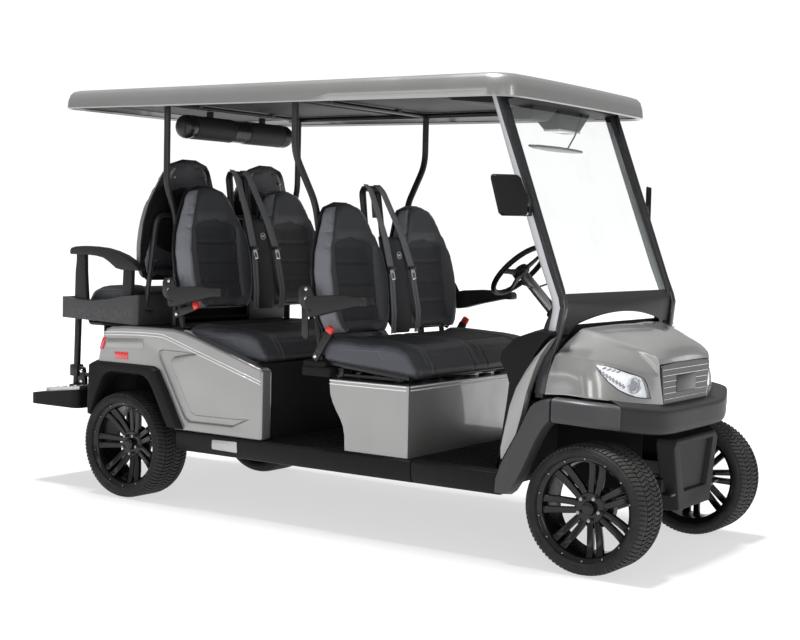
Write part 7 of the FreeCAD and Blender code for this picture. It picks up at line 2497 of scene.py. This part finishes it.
dress(both_sides(bolt_heads("mirror_bolts", [(1.262, -0.606, 1.594), (1.272, -0.594, 1.520)], 0.008, 0.006),
                 "mirror_bolts"), CHROME, slot="black_steel")

CABIN_LINE = [(-0.265, 0.000), (-0.200, -0.016), (-0.060, -0.026), (0.060, -0.026), (0.200, -0.018),
              (0.265, -0.004), (0.262, 0.006), (0.180, 0.014), (0.0, 0.020), (-0.180, 0.014)]
cabin = plate("cabin_mirror_shell", "X", CABIN_LINE, -0.006, 0.006, 0.004, 3)
cabin.data.transform(Matrix.Translation((1.074, 0.010, 1.836)) @ Matrix.Rotation(math.radians(74), 4, "Y"))
stem = bar("cabin_mirror_stem", [(1.074, 0.120, 1.838), (1.074, 0.200, 1.915), (1.070, 0.270, 2.020)],
           0.004, 0.02)
dress(join("cabin_mirror_shell", [cabin, stem]), SMOOTH_PLASTIC, slot="black_plastic")
cabin_glass = plate("cabin_mirror_face", "X", drawn_in(CABIN_LINE, 0.004), -0.0068, -0.004, 0.0005)
cabin_glass.data.transform(Matrix.Translation((1.074, 0.010, 1.836))
                           @ Matrix.Rotation(math.radians(74), 4, "Y"))
dress(cabin_glass, MIRROR_GLASS, slot="clear_glass")
print("mirrors")

# %% [markdown]
# ## Steering wheel and pedals
# The wheel is a ring with a soft grip, three flat spokes and a domed middle. It is modelled flat at the
# origin and turned once onto the column.

# %% Steering wheel

clear()
bpy.ops.mesh.primitive_torus_add(major_segments=96, minor_segments=18, major_radius=0.164,
                                 minor_radius=0.0140)
ring = settle(bpy.context.object)
for vertex in ring.data.vertices:
    angle = math.atan2(vertex.co.y, vertex.co.x)
    middle = Vector((math.cos(angle), math.sin(angle), 0)) * 0.164
    inside = max(0.0, -(vertex.co - middle).normalized().dot(middle.normalized()))
    vertex.co = middle + (vertex.co - middle) * (1 - 0.14 * inside * (0.5 + 0.5 * math.cos(angle * 27)))
spoke_line = [(0.030, -0.024), (0.060, -0.019), (0.110, -0.014), (0.158, -0.017), (0.158, 0.017),
              (0.110, 0.014), (0.060, 0.019), (0.030, 0.024)]
spoke = plate("wheel_spoke", "Z", spoke_line, -0.020, -0.008, 0.004, 3)
for vertex in spoke.data.vertices:
    vertex.co.z += 0.012 * (vertex.co.x / 0.158) ** 2
arms = [copied(spoke, f"wheel_spoke_{index}", Matrix.Rotation(math.radians(-90 + 120 * index), 4, "Z"))
        for index in range(3)]
bpy.data.objects.remove(spoke)
clear()
bpy.ops.mesh.primitive_cylinder_add(vertices=48, radius=0.046, depth=0.040, location=(0, 0, -0.012))
hub_pad = bevel(settle(bpy.context.object), 0.012, 5)
clear()
bpy.ops.mesh.primitive_cylinder_add(vertices=40, radius=0.030, depth=0.004, location=(0, 0, 0.0085))
hub_disc = bevel(settle(bpy.context.object), 0.0015, 2)
lean = math.radians(44)
axis = Vector((-math.cos(lean), 0, math.sin(lean)))
up_rim = Vector((math.sin(lean), 0, math.cos(lean)))
onto_column = (Matrix.Translation((0.710, 0.330, 1.250))
               @ Matrix((up_rim, axis.cross(up_rim), axis)).transposed().to_4x4())
for piece, material, replaced in (
    (join("steering_wheel_ring", [bevel(ring, 0), *arms, hub_pad]), BLACK_PLASTIC, ["steering_wheel"]),
    (hub_disc, SMOOTH_PLASTIC, []),
):
    piece.data.transform(onto_column)
    piece.name = "steering_wheel_skin" if replaced else "steering_wheel_disc"
    dress(piece, material, "steering_wheel", replaced, "black_plastic")

sleeve = rod("column_sleeve", (0.742, 0.330, 1.221), (0.905, 0.330, 1.056), 0.027, 32, 0.003)
dress(sleeve, DULL_STEEL, slot="black_steel")
collar = rod("column_collar", (0.905, 0.330, 1.056), (1.010, 0.330, 0.955), 0.040, 32, 0.006)
levers = [bar("turn_lever", [(0.800, 0.352, 1.165), (0.812, 0.430, 1.180), (0.806, 0.470, 1.190)], 0.005,
              0.02),
          bar("drive_lever", [(0.800, 0.308, 1.165), (0.812, 0.240, 1.176), (0.806, 0.205, 1.184)], 0.005,
              0.02)]
dress(join("column_collar", [collar, *levers]), SMOOTH_PLASTIC, slot="black_plastic")

# %% [markdown]
# Two ribbed pads hang on bent steel arms from under the dash.

# %% Pedals

feet, soles = [], []
for index, y in enumerate((0.2455, 0.4145)):
    feet.append(bar(f"pedal_arm_{index}", [(1.190, y, 0.872), (1.205, y, 0.720), (1.186, y, 0.520)], 0.009,
                    0.08))
    feet.append(plate(f"pedal_plate_{index}", "X",
                      [(y - 0.040, 0.455), (y + 0.040, 0.455), (y + 0.036, 0.570), (y - 0.036, 0.570)],
                      1.179, 1.186, 0.003, 3))
    soles.append(plate(f"pedal_pad_{index}", "X",
                       [(y - 0.041, 0.453), (y + 0.041, 0.453), (y + 0.037, 0.571), (y - 0.037, 0.571)],
                       1.172, 1.180, 0.004, 3))
    soles += [block(f"pedal_rib_{index}_{rib}", (1.1695, y - 0.033, 0.466 + rib * 0.020),
                    (1.174, y + 0.033, 0.474 + rib * 0.020), 0.0015) for rib in range(5)]
dress(join("pedal_arms", feet), POWDER_STEEL, replaces=["pedals"], slot="black_steel")
dress(join("pedal_pads", soles), TYRE_RUBBER, slot="tyre_rubber")
print("steering wheel and pedals")
